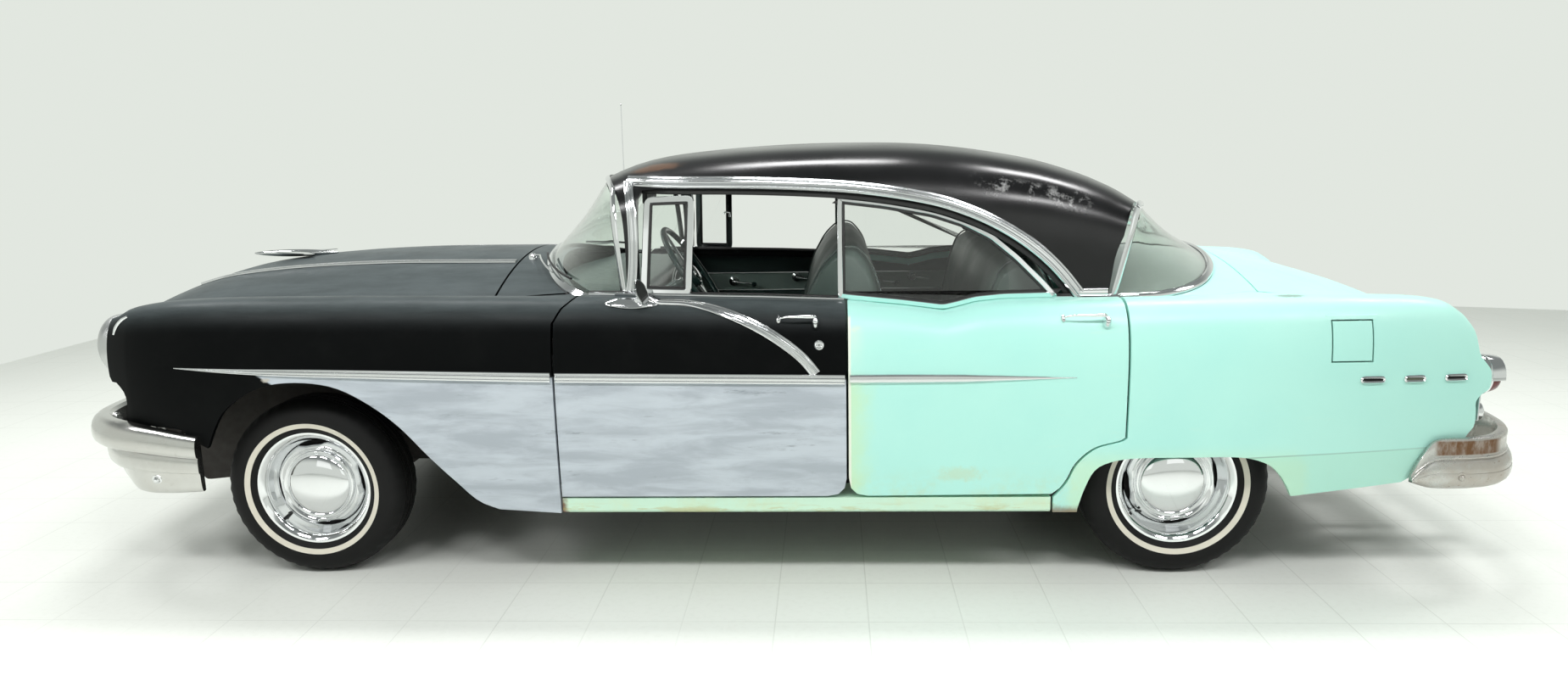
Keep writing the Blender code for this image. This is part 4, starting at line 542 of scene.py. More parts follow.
def tube(name, points, radius, steps, finish):
    """A round bar through the points."""
    path = [Vector(p) for p in points]
    rings = []
    for i, p in enumerate(path):
        along = (path[min(i + 1, len(path) - 1)] - path[max(i - 1, 0)]).normalized()
        across = Vector((0, 0, 1)).cross(along)
        if across.length < math.sin(math.radians(5)):
            across = Vector((0, 1, 0))
        across.normalize()
        up = along.cross(across)
        angles = [2 * math.pi * k / steps for k in range(steps)]
        rings.append([p + (across * math.cos(t) + up * math.sin(t)) * radius for t in angles])
    return loft(name, rings, finish)


def apply_modifiers(obj):
    bpy.context.view_layer.update()
    graph = bpy.context.evaluated_depsgraph_get()
    mesh = bpy.data.meshes.new_from_object(obj.evaluated_get(graph))
    obj.modifiers.clear()
    old = obj.data
    obj.data = mesh
    bpy.data.meshes.remove(old)
    work = bmesh.new()
    work.from_mesh(mesh)
    bmesh.ops.dissolve_degenerate(work, edges=work.edges, dist=SEAT_GAP / 20)
    work.to_mesh(mesh)
    work.free()
    smooth_faces(mesh)


def combine(obj, others, operation):
    """Joins, cuts or intersects obj with the other shapes, which go."""
    finish = obj.data.materials[0]
    for other in others:
        modifier = obj.modifiers.new("shape", "BOOLEAN")
        modifier.operation = operation
        modifier.solver = "EXACT"
        modifier.object = other
        apply_modifiers(obj)
        bpy.data.objects.remove(other, do_unlink=True)
    obj.data.materials.clear()
    obj.data.materials.append(finish)
    return obj


def mirrored(obj, name):
    """The same piece on the other side of the car."""
    mesh = obj.data.copy()
    work = bmesh.new()
    work.from_mesh(mesh)
    for v in work.verts:
        v.co.y = -v.co.y
    bmesh.ops.reverse_faces(work, faces=work.faces)
    work.to_mesh(mesh)
    work.free()
    mesh.set_sharp_from_angle(angle=math.radians(30))
    return new_object(name, mesh, obj.data.materials[0])


def smooth_row(table, x):
    """The table's row at x, by a cubic through its rows."""
    last = len(table) - 1
    if x <= table[0][0]:
        return table[0]
    if x >= table[last][0]:
        return table[last]
    i = max(k for k in range(last) if table[k][0] <= x)
    a, b = table[i], table[i + 1]
    before, after = table[max(i - 1, 0)], table[min(i + 2, last)]
    span = b[0] - a[0]
    t = (x - a[0]) / span
    row = [x]
    for c in range(1, len(a)):
        m0 = (b[c] - before[c]) / (b[0] - before[0]) * span
        m1 = (after[c] - a[c]) / (after[0] - a[0]) * span
        h = (2 * t**3 - 3 * t**2 + 1) * a[c] + (t**3 - 2 * t**2 + t) * m0
        row.append(h + (3 * t**2 - 2 * t**3) * b[c] + (t**3 - t**2) * m1)
    return row


def straight_value(table, x):
    """The table's second column at x, by straight lines."""
    if x <= table[0][0]:
        return table[0][1]
    for a, b in zip(table, table[1:]):
        if x <= b[0]:
            return a[1] + (b[1] - a[1]) * (x - a[0]) / (b[0] - a[0])
    return table[-1][1]


def deck_z(x, y):
    """Height of the hood, cowl, rear deck and boot lid."""
    table = FRONT_DECK_SHARES if x < 0 else REAR_DECK_SHARES
    _, centre, edge = smooth_row(table, x / HALF_LENGTH)
    fall = min(abs(y) / DECK_EDGE_Y, 1.0) ** DECK_POWER
    return BELT_HEIGHT * (edge + (centre - edge) * (1 - fall))


def inner_edge_y(x):
    """Half width at which a fender or quarter meets the deck."""
    edges = [(row[0], row[5]) for row in BODY_SHARES]
    return HALF_WIDTH * straight_value(edges, x / HALF_LENGTH)


def belt_z(x):
    return BELT_HEIGHT * straight_value(BELT_SHARES, x / HALF_LENGTH)


def side_section(x, door=False):
    """The body side at x as (y, z) points from its foot over the crown to the inner edge."""
    _, crown_z, crown_y, wide_y, foot_y, _ = smooth_row(BODY_SHARES, x / HALF_LENGTH)
    crown_y, wide_y, foot_y = (HALF_WIDTH * v for v in (crown_y, wide_y, foot_y))
    edge_y = inner_edge_y(x)
    crown_z = belt_z(x) if door else BELT_HEIGHT * crown_z
    points = []
    for k in range(LOWER_STEPS):
        t = k / LOWER_STEPS
        y = foot_y + (wide_y - foot_y) * math.sin(t * math.pi / 2)
        points.append((y, SECTION_FOOT + (WIDE_HEIGHT - SECTION_FOOT) * t))
    for k in range(UPPER_STEPS + 1):
        a = math.pi / 2 * k / UPPER_STEPS
        y = crown_y + (wide_y - crown_y) * max(math.cos(a), 0) ** (2 / CROWN_POWER)
        points.append((y, WIDE_HEIGHT + (crown_z - WIDE_HEIGHT) * math.sin(a) ** (2 / CROWN_POWER)))
    if door:
        end_y, end_z = SILL_INNER_Y, crown_z
    else:
        end_y, end_z = edge_y, deck_z(x, edge_y)
    for k in range(1, INNER_STEPS + 1):
        t = k / INNER_STEPS
        dip = (1 - math.cos(math.pi * t)) / 2
        points.append((crown_y + (end_y - crown_y) * t, crown_z + (end_z - crown_z) * dip))
    return points


def offset_section(points, depth):
    """The section moved inward by depth along its own normals."""
    made = []
    for i, (y, z) in enumerate(points):
        y0, z0 = points[max(i - 1, 0)]
        y1, z1 = points[min(i + 1, len(points) - 1)]
        size = math.hypot(y1 - y0, z1 - z0)
        made.append((y - depth * (z1 - z0) / size, z + depth * (y1 - y0) / size))
    return made


def surface_z(x, y, door=False):
    """Height of the body side's top at half width y."""
    points = side_section(x, door)[LOWER_STEPS:]
    for (y0, z0), (y1, z1) in zip(points, points[1:]):
        if y1 <= y <= y0:
            return z0 + (z1 - z0) * (y0 - y) / (y0 - y1)
    return points[-1][1]


def stations(start, end, count):
    return [start + (end - start) * k / (count - 1) for k in range(count)]


def with_knots(xs):
    """The stations with those of the body table between them."""
    low, high = min(xs), max(xs)
    knots = [row[0] * HALF_LENGTH for row in BODY_SHARES]
    spare = [k for k in knots if low < k < high and min(abs(k - x) for x in xs) > PANEL_GAP]
    return sorted(list(xs) + spare)


def door_inner(x, section, low_x, high_x):
    """The inner skin of a door: thick in the middle, thinner at its front and rear edges."""
    edge = min(x - low_x, high_x - x)
    t = min(max(edge / DOOR_TAPER, 0.0), 1.0)
    depth = DOOR_EDGE_THICKNESS + (DOOR_THICKNESS - DOOR_EDGE_THICKNESS) * t * t * (3 - 2 * t)
    top_z = belt_z(x) - DOOR_LIP
    wide_y = section[LOWER_STEPS][0] - depth
    made = []
    for i, (y, z) in enumerate(section):
        k = i - LOWER_STEPS
        if k < 0:
            made.append((y - depth, z))
        else:
            a = math.pi / 2 * min(k / (UPPER_STEPS + INNER_STEPS), 1.0)
            y = SILL_INNER_Y + (wide_y - SILL_INNER_Y) * math.cos(a)
            made.append((y, WIDE_HEIGHT + (top_z - WIDE_HEIGHT) * math.sin(a)))
    return made


def side_shell(name, xs, finish, thickness=SHEET, door=None, solid_from=None):
    """A stretch of the left body side, filled to its inner edge beyond solid_from."""
    outer, inner = [], []
    for x in xs:
        section = side_section(x, door is not None)
        if door is not None:
            inside = door_inner(x, section, *door)
        elif solid_from is not None and abs(x) > abs(solid_from):
            low_z, high_z = section[0][1], section[-1][1] - thickness
            count = len(section) - 1
            inside = [
                (section[-1][0], low_z + (high_z - low_z) * i / count) for i in range(count + 1)
            ]
        else:
            inside = offset_section(section, thickness)
        outer.append([(x, -y, z) for y, z in section])
        inner.append([(x, -y, z) for y, z in inside])
    return shell(name, outer, inner, finish)


def around(centre_x, centre_z, size, shares):
    """Outline points given as shares of a size about a centre."""
    return [(centre_x + size * a, centre_z + size * b) for a, b in shares]


def rounded(points, corner, radius, steps=3):
    """The outline with one corner rounded."""
    before, here, after = (Vector(points[k % len(points)]) for k in (corner - 1, corner, corner + 1))
    a = here + (before - here).normalized() * radius
    b = here + (after - here).normalized() * radius
    arc = []
    for k in range(steps + 1):
        t = k / steps
        arc.append(tuple(a * (1 - t) ** 2 + here * 2 * t * (1 - t) + b * t * t))
    return points[:corner] + arc + points[corner + 1 :]


def cross_plate(name, low_x, high_x, half, bottom, drop, finish):
    """A plate across the car that follows the deck above it."""
    xs = (low_x, high_x)
    count = STATIONS
    rings = []
    for x in xs:
        ring = [(x, -half, bottom)]
        for k in range(count + 1):
            y = half * (2 * k / count - 1)
            ring.append((x, y, deck_z((low_x + high_x) / 2, y) - drop))
        ring.append((x, half, bottom))
        rings.append(ring)
    return loft(name, rings, finish)


def build_doors(finish_front, finish_rear):
    top = 1.2 * BELT_HEIGHT
    front_end = DOOR_MIDDLE_X - DOOR_GAP / 2
    outline = [
        (DOOR_FRONT_X, DOOR_BOTTOM),
        (DOOR_FRONT_X, 0.945 * BELT_HEIGHT),
        (DOOR_FRONT_X + 0.4 * DOOR_CORNER, 0.990 * BELT_HEIGHT),
        (DOOR_FRONT_X + DOOR_CORNER, 1.022 * BELT_HEIGHT),
        (DOOR_FRONT_X + 2 * DOOR_CORNER, top),
        (front_end, top),
        (front_end, DOOR_BOTTOM),
    ]
    outline = rounded(outline, len(outline) - 1, DOOR_CORNER)
    xs = stations(DOOR_FRONT_X - PANEL_GAP, front_end + PANEL_GAP, STATIONS)
    front = side_shell("door_front_left", xs, finish_front, door=(DOOR_FRONT_X, front_end))
    trim_to(front, outline)

    start = DOOR_MIDDLE_X + DOOR_GAP / 2
    outline = [(start, top), (DOOR_REAR_X, top)]
    outline += around(REAR_AXLE_X, AXLE_Z, TYRE_RADIUS, DOOR_NOTCH_SHARES)
    outline += [(start, DOOR_BOTTOM)]
    outline = rounded(outline, len(outline) - 1, DOOR_CORNER)
    dip = [HALF_LENGTH * BELT_SHARES[k][0] for k in (6, 7, 8)]
    xs = sorted(stations(start - PANEL_GAP, DOOR_REAR_X + PANEL_GAP, STATIONS - 1) + dip)
    rear = side_shell("door_rear_left", xs, finish_rear, door=(start, DOOR_REAR_X))
    trim_to(rear, outline)
    return front, rear, mirrored(front, "door_front_right"), mirrored(rear, "door_rear_right")


def build_quarters(finish):
    start = DOOR_REAR_X + DOOR_GAP
    block_x = TAIL_X - TAIL_BLOCK
    xs = stations(start - OVERRUN / 2, block_x, STATIONS - 1)
    xs = [start - 5 * OVERRUN] + xs + [block_x + SHEET, TAIL_X - TAIL_BLOCK / 2, TAIL_X + OVERRUN]
    xs = with_knots(xs)
    panel = side_shell("quarter_left", xs, finish, solid_from=block_x + SHEET / 2)
    notch = around(REAR_AXLE_X, AXLE_Z, TYRE_RADIUS, DOOR_NOTCH_SHARES)
    toe_x = notch[-1][0] + DOOR_GAP
    outline = [(start, 1.2 * BELT_HEIGHT)]
    outline += [(x + DOOR_GAP, z - DOOR_GAP / 2) for x, z in notch[:-1]]
    outline += [(toe_x, DOOR_BOTTOM - DOOR_GAP), (toe_x, SILL_HEIGHT)]
    outline += [(notch[-2][0] + 8 * DOOR_GAP, SILL_HEIGHT)]
    outline += reversed(around(REAR_AXLE_X, AXLE_Z, TYRE_RADIUS, REAR_ARCH_SHARES))
    outline += reversed([(TAIL_X - s, BELT_HEIGHT * h) for s, h in TAIL_SHARES])
    trim_to(panel, outline)
    right = mirrored(panel, "quarter_right")
    combine(panel, [block("cup", FUEL_CUP_SHARES, finish)], "UNION")
    combine(panel, [block("hole", FUEL_HOLE_SHARES, finish)], "DIFFERENCE")
    (x0, _, z0), (x1, _, z1) = (place(c) for c in FUEL_HOLE_SHARES)
    door = side_shell("fuel_door", stations(x0 - PANEL_GAP, x1 + PANEL_GAP, 4), finish, SHEET / 3)
    g = PANEL_GAP
    trim_to(door, [(x0 + g, z0 + g), (x1 - g, z0 + g), (x1 - g, z1 - g), (x0 + g, z1 - g)])
    return panel, right, door


def hood_front_x(y):
    return HOOD_NOSE_X + HOOD_NOSE_SWEEP * (y / DECK_EDGE_Y) ** 2


def screen_foot(u):
    """Foot of the windscreen at share u of its half width, as (x, y)."""
    y = u * (GLASS_HALF_WIDTH - WINDOW_GAP)
    bow = max(1 - abs(u) ** SCREEN_POWER, 0) ** (1 / SCREEN_POWER)
    return SCREEN_FOOT_X - SCREEN_SWEEP * bow, y


def backlight_foot(u):
    y = u * (GLASS_HALF_WIDTH - WINDOW_GAP)
    bow = max(1 - abs(u) ** BACKLIGHT_POWER, 0) ** (1 / BACKLIGHT_POWER)
    return BACKLIGHT_FOOT_X + BACKLIGHT_SWEEP * bow, y


def roof_top(x):
    return HEIGHT * smooth_row(ROOF_SHARES, x / HALF_LENGTH)[1]


def roof_angle(y):
    return math.acos(min((abs(y) / GLASS_HALF_WIDTH) ** (ROOF_POWER / 2), 1.0))


def roof_edge_x(angle):
    """Front and rear edges of the roof at an angle round its section."""
    y = GLASS_HALF_WIDTH * max(math.cos(angle), 0) ** (2 / ROOF_POWER)
    front = ROOF_FRONT_X - ROOF_FRONT_SWEEP * (1 - (y / GLASS_HALF_WIDTH) ** 4)
    return front, HALF_LENGTH * straight_value(ROOF_REAR_SHARES, math.degrees(angle))


def roof_z(x, angle):
    return BELT_HEIGHT + (roof_top(x) - BELT_HEIGHT) * math.sin(angle) ** (2 / ROOF_POWER)


def roof_half_width(z, top):
    t = min(max((z - BELT_HEIGHT) / (top - BELT_HEIGHT), 0.0), 1.0)
    return GLASS_HALF_WIDTH * (1 - t**ROOF_POWER) ** (1 / ROOF_POWER)


def glazing(name, foot, edge, rows, columns, finish):
    """A wrapped pane between its foot on the deck and the edge of the roof."""
    head_half = roof_half_width(SCREEN_HEAD, SCREEN_TOP) - WINDOW_GAP
    outer = []
    for i in range(rows):
        v = i / (rows - 1)
        line = []
        for j in range(columns):
            u = across(j, columns)
            foot_x, foot_y = foot(u)
            foot_z = deck_z(foot_x, foot_y) + (WINDOW_GAP if edge else SCREEN_SEAT)
            angle = roof_angle(u * head_half)
            head_x = roof_edge_x(angle)[edge]
            head_z = roof_z(head_x, angle) - ROOF_SHEET / 2
            head_x += WINDOW_GAP * (2 * edge - 1)
            x = foot_x + (head_x - foot_x) * v
            z = foot_z + (head_z - foot_z) * v
            y = u * (roof_half_width(z, SCREEN_TOP) - WINDOW_GAP)
            line.append((x, y, z))
        outer.append(line)
    if edge == 1:
        outer.reverse()
    return thickened(name, outer, GLASS, finish)


def steering_axis():
    tilt = math.radians(STEERING_TILT)
    return Vector((math.sin(tilt), 0, math.cos(tilt)))


# Finer steps than the solids have
STATIONS = 40
LOWER_STEPS = 10
UPPER_STEPS = 18
INNER_STEPS = 6
REFERENCE = {}


# Shader helpers
def node(tree, kind, inputs=None, **settings):
    made = tree.nodes.new(kind)
    for key, value in settings.items():
        setattr(made, key, value)
    for key, value in (inputs or {}).items():
        if isinstance(value, bpy.types.NodeSocket):
            tree.links.new(value, made.inputs[key])
        else:
            made.inputs[key].default_value = value
    return made


def calc(tree, operation, a, b=0.0, clamp=False):
    return node(tree, "ShaderNodeMath", {0: a, 1: b}, operation=operation, use_clamp=clamp).outputs[0]


def blend_colour(tree, factor, a, b):
    made = node(tree, "ShaderNodeMix", {0: factor, 6: a, 7: b}, data_type="RGBA")
    return made.outputs[2]


def blend_value(tree, factor, a, b):
    made = node(tree, "ShaderNodeMix", {0: factor, 2: a, 3: b}, data_type="FLOAT")
    return made.outputs[0]


def rgba(colour):
    return (*colour, 1.0)


def spread(tree, value, low, high, to_low=0.0, to_high=1.0):
    """A smooth step of value from low to high."""
    made = node(
        tree,
        "ShaderNodeMapRange",
        {"Value": value, "From Min": low, "From Max": high, "To Min": to_low, "To Max": to_high},
        interpolation_type="SMOOTHSTEP",
    )
    return made.outputs[0]


def noise(tree, vector, scale, detail=4.0, roughness=0.55, stretch=None, distortion=0.0):
    if stretch is not None:
        vector = node(
            tree, "ShaderNodeVectorMath", {0: vector, 1: stretch}, operation="MULTIPLY"
        ).outputs[0]
    inputs = {"Vector": vector, "Scale": scale, "Detail": detail, "Roughness": roughness}
    inputs["Distortion"] = distortion
    return node(tree, "ShaderNodeTexNoise", inputs).outputs["Fac"]


def start_material(name):
    made = bpy.data.materials.new(name)
    made.use_nodes = True
    tree = made.node_tree
    shader = tree.nodes["Principled BSDF"]
    where = node(tree, "ShaderNodeTexCoord").outputs["Object"]
    return made, tree, shader, where


def axes(tree, where):
    split = node(tree, "ShaderNodeSeparateXYZ", {0: where})
    return split.outputs[0], split.outputs[1], split.outputs[2]


def bump(tree, shader, height, strength, distance=0.001):
    made = node(
        tree, "ShaderNodeBump", {"Height": height, "Strength": strength, "Distance": distance}
    )
    tree.links.new(made.outputs[0], shader.inputs["Normal"])


def put(tree, shader, **links):
    for key, value in links.items():
        name = key.replace("_", " ").title()
        if isinstance(value, bpy.types.NodeSocket):
            tree.links.new(value, shader.inputs[name])
        else:
            shader.inputs[name].default_value = value


def plain(name, colour, roughness, metallic=0.0, grain=40.0, vary=0.12, relief=0.05):
    """A simple surface whose colour and gloss wander a little."""
    made, tree, shader, where = start_material(name)
    cloud = noise(tree, where, grain / 6, 5.0)
    fine = noise(tree, where, grain, 3.0)
    low = rgba([c * (1 - vary) for c in colour])
    high = rgba([min(c * (1 + vary), 1.0) for c in colour])
    put(tree, shader, base_color=blend_colour(tree, cloud, low, high))
    put(tree, shader, roughness=spread(tree, fine, 0.2, 0.8, roughness * 0.85, roughness * 1.15))
    shader.inputs["Metallic"].default_value = metallic
    bump(tree, shader, fine, relief)
    return made


# Finishes
MINT_PAINT = (0.43, 0.82, 0.745)
SATIN_BLACK = (0.0012, 0.0016, 0.0018)
RUST = (0.20, 0.075, 0.025)
RUST_YELLOW = (0.62, 0.58, 0.22)
DULL_GLOSS, PAINT_GLOSS = 0.07, 0.45
SOFT_EDGE = 0.003
TAIL_FRECKLES = (
    ((2.29, -0.9, 0.60), 0.006),
    ((1.90, -0.92, 0.56), 0.005),
    ((2.30, -0.88, 0.52), 0.008),
    ((1.39, -0.95, 0.93), 0.006),
)


def times(tree, *parts):
    """The product of two or more values."""
    made = parts[0]
    for part in parts[1:]:
        made = calc(tree, "MULTIPLY", made, part)
    return made


def plus(tree, a, b):
    return calc(tree, "ADD", a, b)


def tinted(tree, colour, mask, share, shade):
    """The colour with a share of another one where mask says."""
    return blend_colour(tree, times(tree, mask, share), colour, rgba(shade))


def line_mask(tree, x, z, height, slope):
    """1 below the line z = height + slope * x."""
    line = plus(tree, times(tree, x, slope), height)
    return spread(tree, calc(tree, "SUBTRACT", line, z), -SOFT_EDGE, SOFT_EDGE)


def between(tree, value, low, rise, fall, high):
    """1 from rise to fall, and 0 outside low and high."""
    return times(tree, spread(tree, value, low, rise), spread(tree, value, high, fall))


def spot(tree, where, centre, radius, ragged, scale=9.0, reach=1.0):
    """A ragged patch round a point."""
    shift = node(tree, "ShaderNodeVectorMath", {0: where, 1: centre}, operation="SUBTRACT")
    shaped = node(
        tree, "ShaderNodeVectorMath", {0: shift.outputs[0], 1: (1.0 / reach, 1.0, 1.0)},
        operation="MULTIPLY",
    )
    size = node(tree, "ShaderNodeVectorMath", {0: shaped.outputs[0]}, operation="LENGTH")
    cloud = noise(tree, where, scale, 5.0, 0.7)
    edge = plus(tree, size.outputs["Value"], times(tree, cloud, ragged))
    return spread(tree, edge, radius + ragged * 0.6, radius * 0.55 + ragged * 0.4)


def paint_grounds(tree, where):
    """The noises that all the old paint shares."""
    return {
        "broad": noise(tree, where, 1.6, 5.0),
        "fine": noise(tree, where, 90.0, 3.0),
        "dust": noise(tree, where, 7.0, 6.0, 0.7),
        "streak": noise(tree, where, 5.5, 6.0, 0.62, stretch=(0.55, 1.0, 3.2), distortion=0.4),
        "smear": noise(tree, where, 14.0, 5.0, 0.7, stretch=(0.35, 1.0, 2.2)),
    }


def black_zone(tree, where, n):
    """Satin black, chalky where it faces up, and lighter there as a painted highlight."""
    lowest = rgba((0.003, 0.0035, 0.0035))
    black = blend_colour(tree, spread(tree, n["dust"], 0.45, 0.85), rgba(SATIN_BLACK), lowest)
    normal = node(tree, "ShaderNodeNewGeometry").outputs["Normal"]
    facing = node(tree, "ShaderNodeSeparateXYZ", {0: normal}).outputs[2]
    # painted highlight: where the black faces up it turns lighter grey, partly chalky paint and partly
    # standing in for the lamps' sheen on the crowns
    level = spread(tree, facing, 0.25, 0.97)
    chalk_and_highlight = times(tree, level, spread(tree, n["smear"], 0.30, 0.70, 0.75, 1.0))
    black = blend_colour(tree, chalk_and_highlight, black, rgba((0.076, 0.091, 0.094)))
    return black, spread(tree, n["dust"], 0.3, 0.8, 0.34, 0.46)


def roof_zone(tree, where, n):
    """Glossier black, worn grey along the rear of the side and brown at the front corner."""
    x, _, z = axes(tree, where)
    black = blend_colour(
        tree, spread(tree, n["dust"], 0.4, 0.9), rgba((0.003, 0.003, 0.0035)), rgba((0.008, 0.008, 0.009)),
    )
    worn = spread(tree, noise(tree, where, 18.0, 8.0, 0.75), 0.50, 0.62)
    band = between(tree, x, 0.66, 0.80, 1.02, 1.12)
    line = plus(tree, z, times(tree, x, 0.20))
    worn = times(tree, worn, band, between(tree, line, 1.485, 1.520, 1.540, 1.575))
    brown = spot(tree, where, (-0.43, -0.61, 1.458), 0.045, 0.06, 14.0, 2.4)
    colour = tinted(tree, black, worn, 0.75, (0.36, 0.36, 0.36))
    colour = tinted(tree, colour, brown, 0.55, (0.17, 0.088, 0.05))
    return colour, spread(tree, n["broad"], 0.3, 0.7, 0.16, 0.28)


def front_zone(tree, where, n):
    """Black above the side strip, and grey primer below it from the wheel arch back."""
    x, _, z = axes(tree, where)
    black, _ = black_zone(tree, where, n)
    cloud = spread(tree, n["streak"], 0.36, 0.66)
    grey = blend_colour(tree, cloud, rgba((0.42, 0.46, 0.505)), rgba((0.56, 0.61, 0.66)))
    grey = tinted(tree, grey, spread(tree, n["smear"], 0.60, 0.74), 0.55, (0.17, 0.19, 0.22))
    below = line_mask(tree, x, z, 0.752, -0.0145)
    slant = plus(tree, x, times(tree, calc(tree, "SUBTRACT", z, 0.765), 1.6))
    primed = times(tree, below, spread(tree, slant, -1.80, -1.785))
    chip = spot(tree, where, (-1.775, -0.93, 0.757), 0.010, 0.012, 60.0, 2.0)
    # the black turns lighter along the crowns above z 0.98: partly rubbed paint, partly a painted highlight
    rub_and_highlight = times(tree, spread(tree, n["smear"], 0.55, 0.75), spread(tree, z, 0.98, 1.03))
    black = tinted(tree, black, rub_and_highlight, 0.35, (0.06, 0.062, 0.068))
    colour = blend_colour(tree, primed, black, grey)
    colour = blend_colour(tree, chip, colour, rgba((0.55, 0.52, 0.46)))
    return colour, blend_value(tree, primed, spread(tree, n["dust"], 0.3, 0.8, 0.33, 0.45), 0.62)


def mint_zone(tree, where, n):
    """Faded mint, chalk-pale in places and yellowed toward the sills."""
    z = axes(tree, where)[2]
    fade = blend_colour(
        tree, spread(tree, n["broad"], 0.3, 0.7), rgba(MINT_PAINT), rgba((0.48, 0.86, 0.77)),
    )
    fade = tinted(tree, fade, spread(tree, n["smear"], 0.60, 0.80), 0.30, (0.58, 0.84, 0.72))
    grime = times(tree, spread(tree, n["dust"], 0.42, 0.72), spread(tree, z, 0.46, 0.27))
    fade = tinted(tree, fade, grime, 0.50, RUST_YELLOW)
    return fade, spread(tree, n["dust"], 0.3, 0.8, 0.30, 0.46)


def mint_door_zone(tree, where, n):
    """Mint with a yellowed front edge, a bare lip and a rusty scrape below the window."""
    x, _, z = axes(tree, where)
    colour, rough = mint_zone(tree, where, n)
    ragged_x = plus(tree, x, times(tree, n["dust"], -0.12))
    edge = times(tree, spread(tree, ragged_x, 0.29, 0.18), spread(tree, z, 0.79, 0.72))
    colour = tinted(tree, colour, edge, 0.55, (0.62, 0.80, 0.42))
    lip = times(tree, spread(tree, x, 0.2575, 0.2555), spread(tree, z, 0.962, 0.952))
    colour = tinted(tree, colour, lip, 0.85, (0.86, 0.86, 0.76))
    pale = spot(tree, where, (0.275, -0.945, 0.927), 0.022, 0.020, 40.0, 1.5)
    colour = tinted(tree, colour, pale, 0.8, (0.80, 0.70, 0.52))
    run = times(
        tree, spread(tree, x, 0.315, 0.265), spread(tree, z, 0.74, 0.92), spread(tree, z, 0.935, 0.915),
    )
    colour = tinted(tree, colour, run, 0.30, (0.84, 0.86, 0.72))
    mark = spot(tree, where, (0.301, -0.945, 0.937), 0.014, 0.012, 50.0)
    colour = blend_colour(tree, mark, colour, rgba((0.30, 0.17, 0.07)))
    scratch = spot(tree, where, (0.63, -0.95, 0.41), 0.030, 0.06, 40.0, 3.0)
    return tinted(tree, colour, scratch, 0.3, (0.60, 0.55, 0.25)), rough


def mint_tail_zone(tree, where, n):
    """Mint with a yellowed wheel arch, a pressed fold drawn as a painted shadow line with darker, greener
    paint below it, a bare patch, rust along the foot and painted shade toward the tail.
    """
    x, _, z = axes(tree, where)
    colour, rough = mint_zone(tree, where, n)
    hub = (REAR_AXLE_X, 0.0, AXLE_Z)
    shift = node(tree, "ShaderNodeVectorMath", {0: where, 1: hub}, operation="SUBTRACT").outputs[0]
    side_on = {0: shift, 1: (1.0, 0.0, 1.0)}
    flat = node(tree, "ShaderNodeVectorMath", side_on, operation="MULTIPLY").outputs[0]
    away = node(tree, "ShaderNodeVectorMath", {0: flat}, operation="LENGTH").outputs["Value"]
    ring = spread(tree, calc(tree, "SUBTRACT", away, times(tree, n["dust"], 0.10)), 0.385, 0.335)
    ring = times(tree, ring, spread(tree, z, 0.52, 0.42))
    colour = tinted(tree, colour, ring, 0.42, (0.66, 0.84, 0.50))
    # the fold is painted, not modelled: a dark painted shadow line along it, and darker, greener paint
    # below it
    fold = calc(tree, "SUBTRACT", z, plus(tree, times(tree, x, 0.043), 0.3945))
    behind = between(tree, x, 1.50, 1.62, 2.20, 2.30)
    below = times(tree, spread(tree, fold, 0.002, -0.003), behind)
    colour = tinted(tree, colour, below, 0.35, (0.40, 0.70, 0.50))
    groove_shadow = times(tree, spread(tree, calc(tree, "ABSOLUTE", fold), 0.0035, 0.0010), behind)
    colour = tinted(tree, colour, groove_shadow, 0.55, (0.16, 0.26, 0.20))
    bare = spot(tree, where, (1.735, -0.835, 1.0), 0.018, 0.026, 45.0, 3.2)
    colour = tinted(tree, colour, bare, 0.8, (0.15, 0.17, 0.14))
    for place_at, size in TAIL_FRECKLES:
        freckle = spot(tree, where, place_at, size, 0.012, 50.0, 1.6)
        colour = blend_colour(tree, freckle, colour, rgba(RUST))
    # painted shade: the mint turns darker toward the tail
    colour = tinted(tree, colour, spread(tree, x, 1.35, 2.25), 0.50, (0.39, 0.66, 0.575))
    foot = plus(tree, z, times(tree, n["dust"], -0.05))
    return tinted(tree, colour, spread(tree, foot, 0.28, 0.25), 0.8, RUST), rough


def rocker_zone(tree, where, n):
    """Paler mint, rotten at its front end and yellow along its foot."""
    x, _, z = axes(tree, where)
    colour, rough = mint_zone(tree, where, n)
    colour = blend_colour(tree, 0.55, colour, rgba((0.72, 0.84, 0.60)))
    rot = spread(tree, plus(tree, x, times(tree, n["dust"], -0.12)), -0.795, -0.825)
    colour = blend_colour(tree, rot, colour, rgba((0.16, 0.06, 0.025)))
    low = times(tree, spread(tree, n["smear"], 0.5, 0.62), spread(tree, z, 0.315, 0.275))
    return tinted(tree, colour, low, 0.55, (0.50, 0.44, 0.16)), rough


def body_paint(name, zone, gloss):
    """Old body paint, its colour and roughness given by one of the zones above."""
    made, tree, shader, where = start_material(name)
    grounds = paint_grounds(tree, where)
    colour, rough = zone(tree, where, grounds)
    tree.links.new(colour, shader.inputs["Base Color"])
    tree.links.new(rough, shader.inputs["Roughness"])
    shader.inputs["Specular IOR Level"].default_value = gloss
    bump(tree, shader, grounds["fine"], 0.04, 0.0006)
    return made


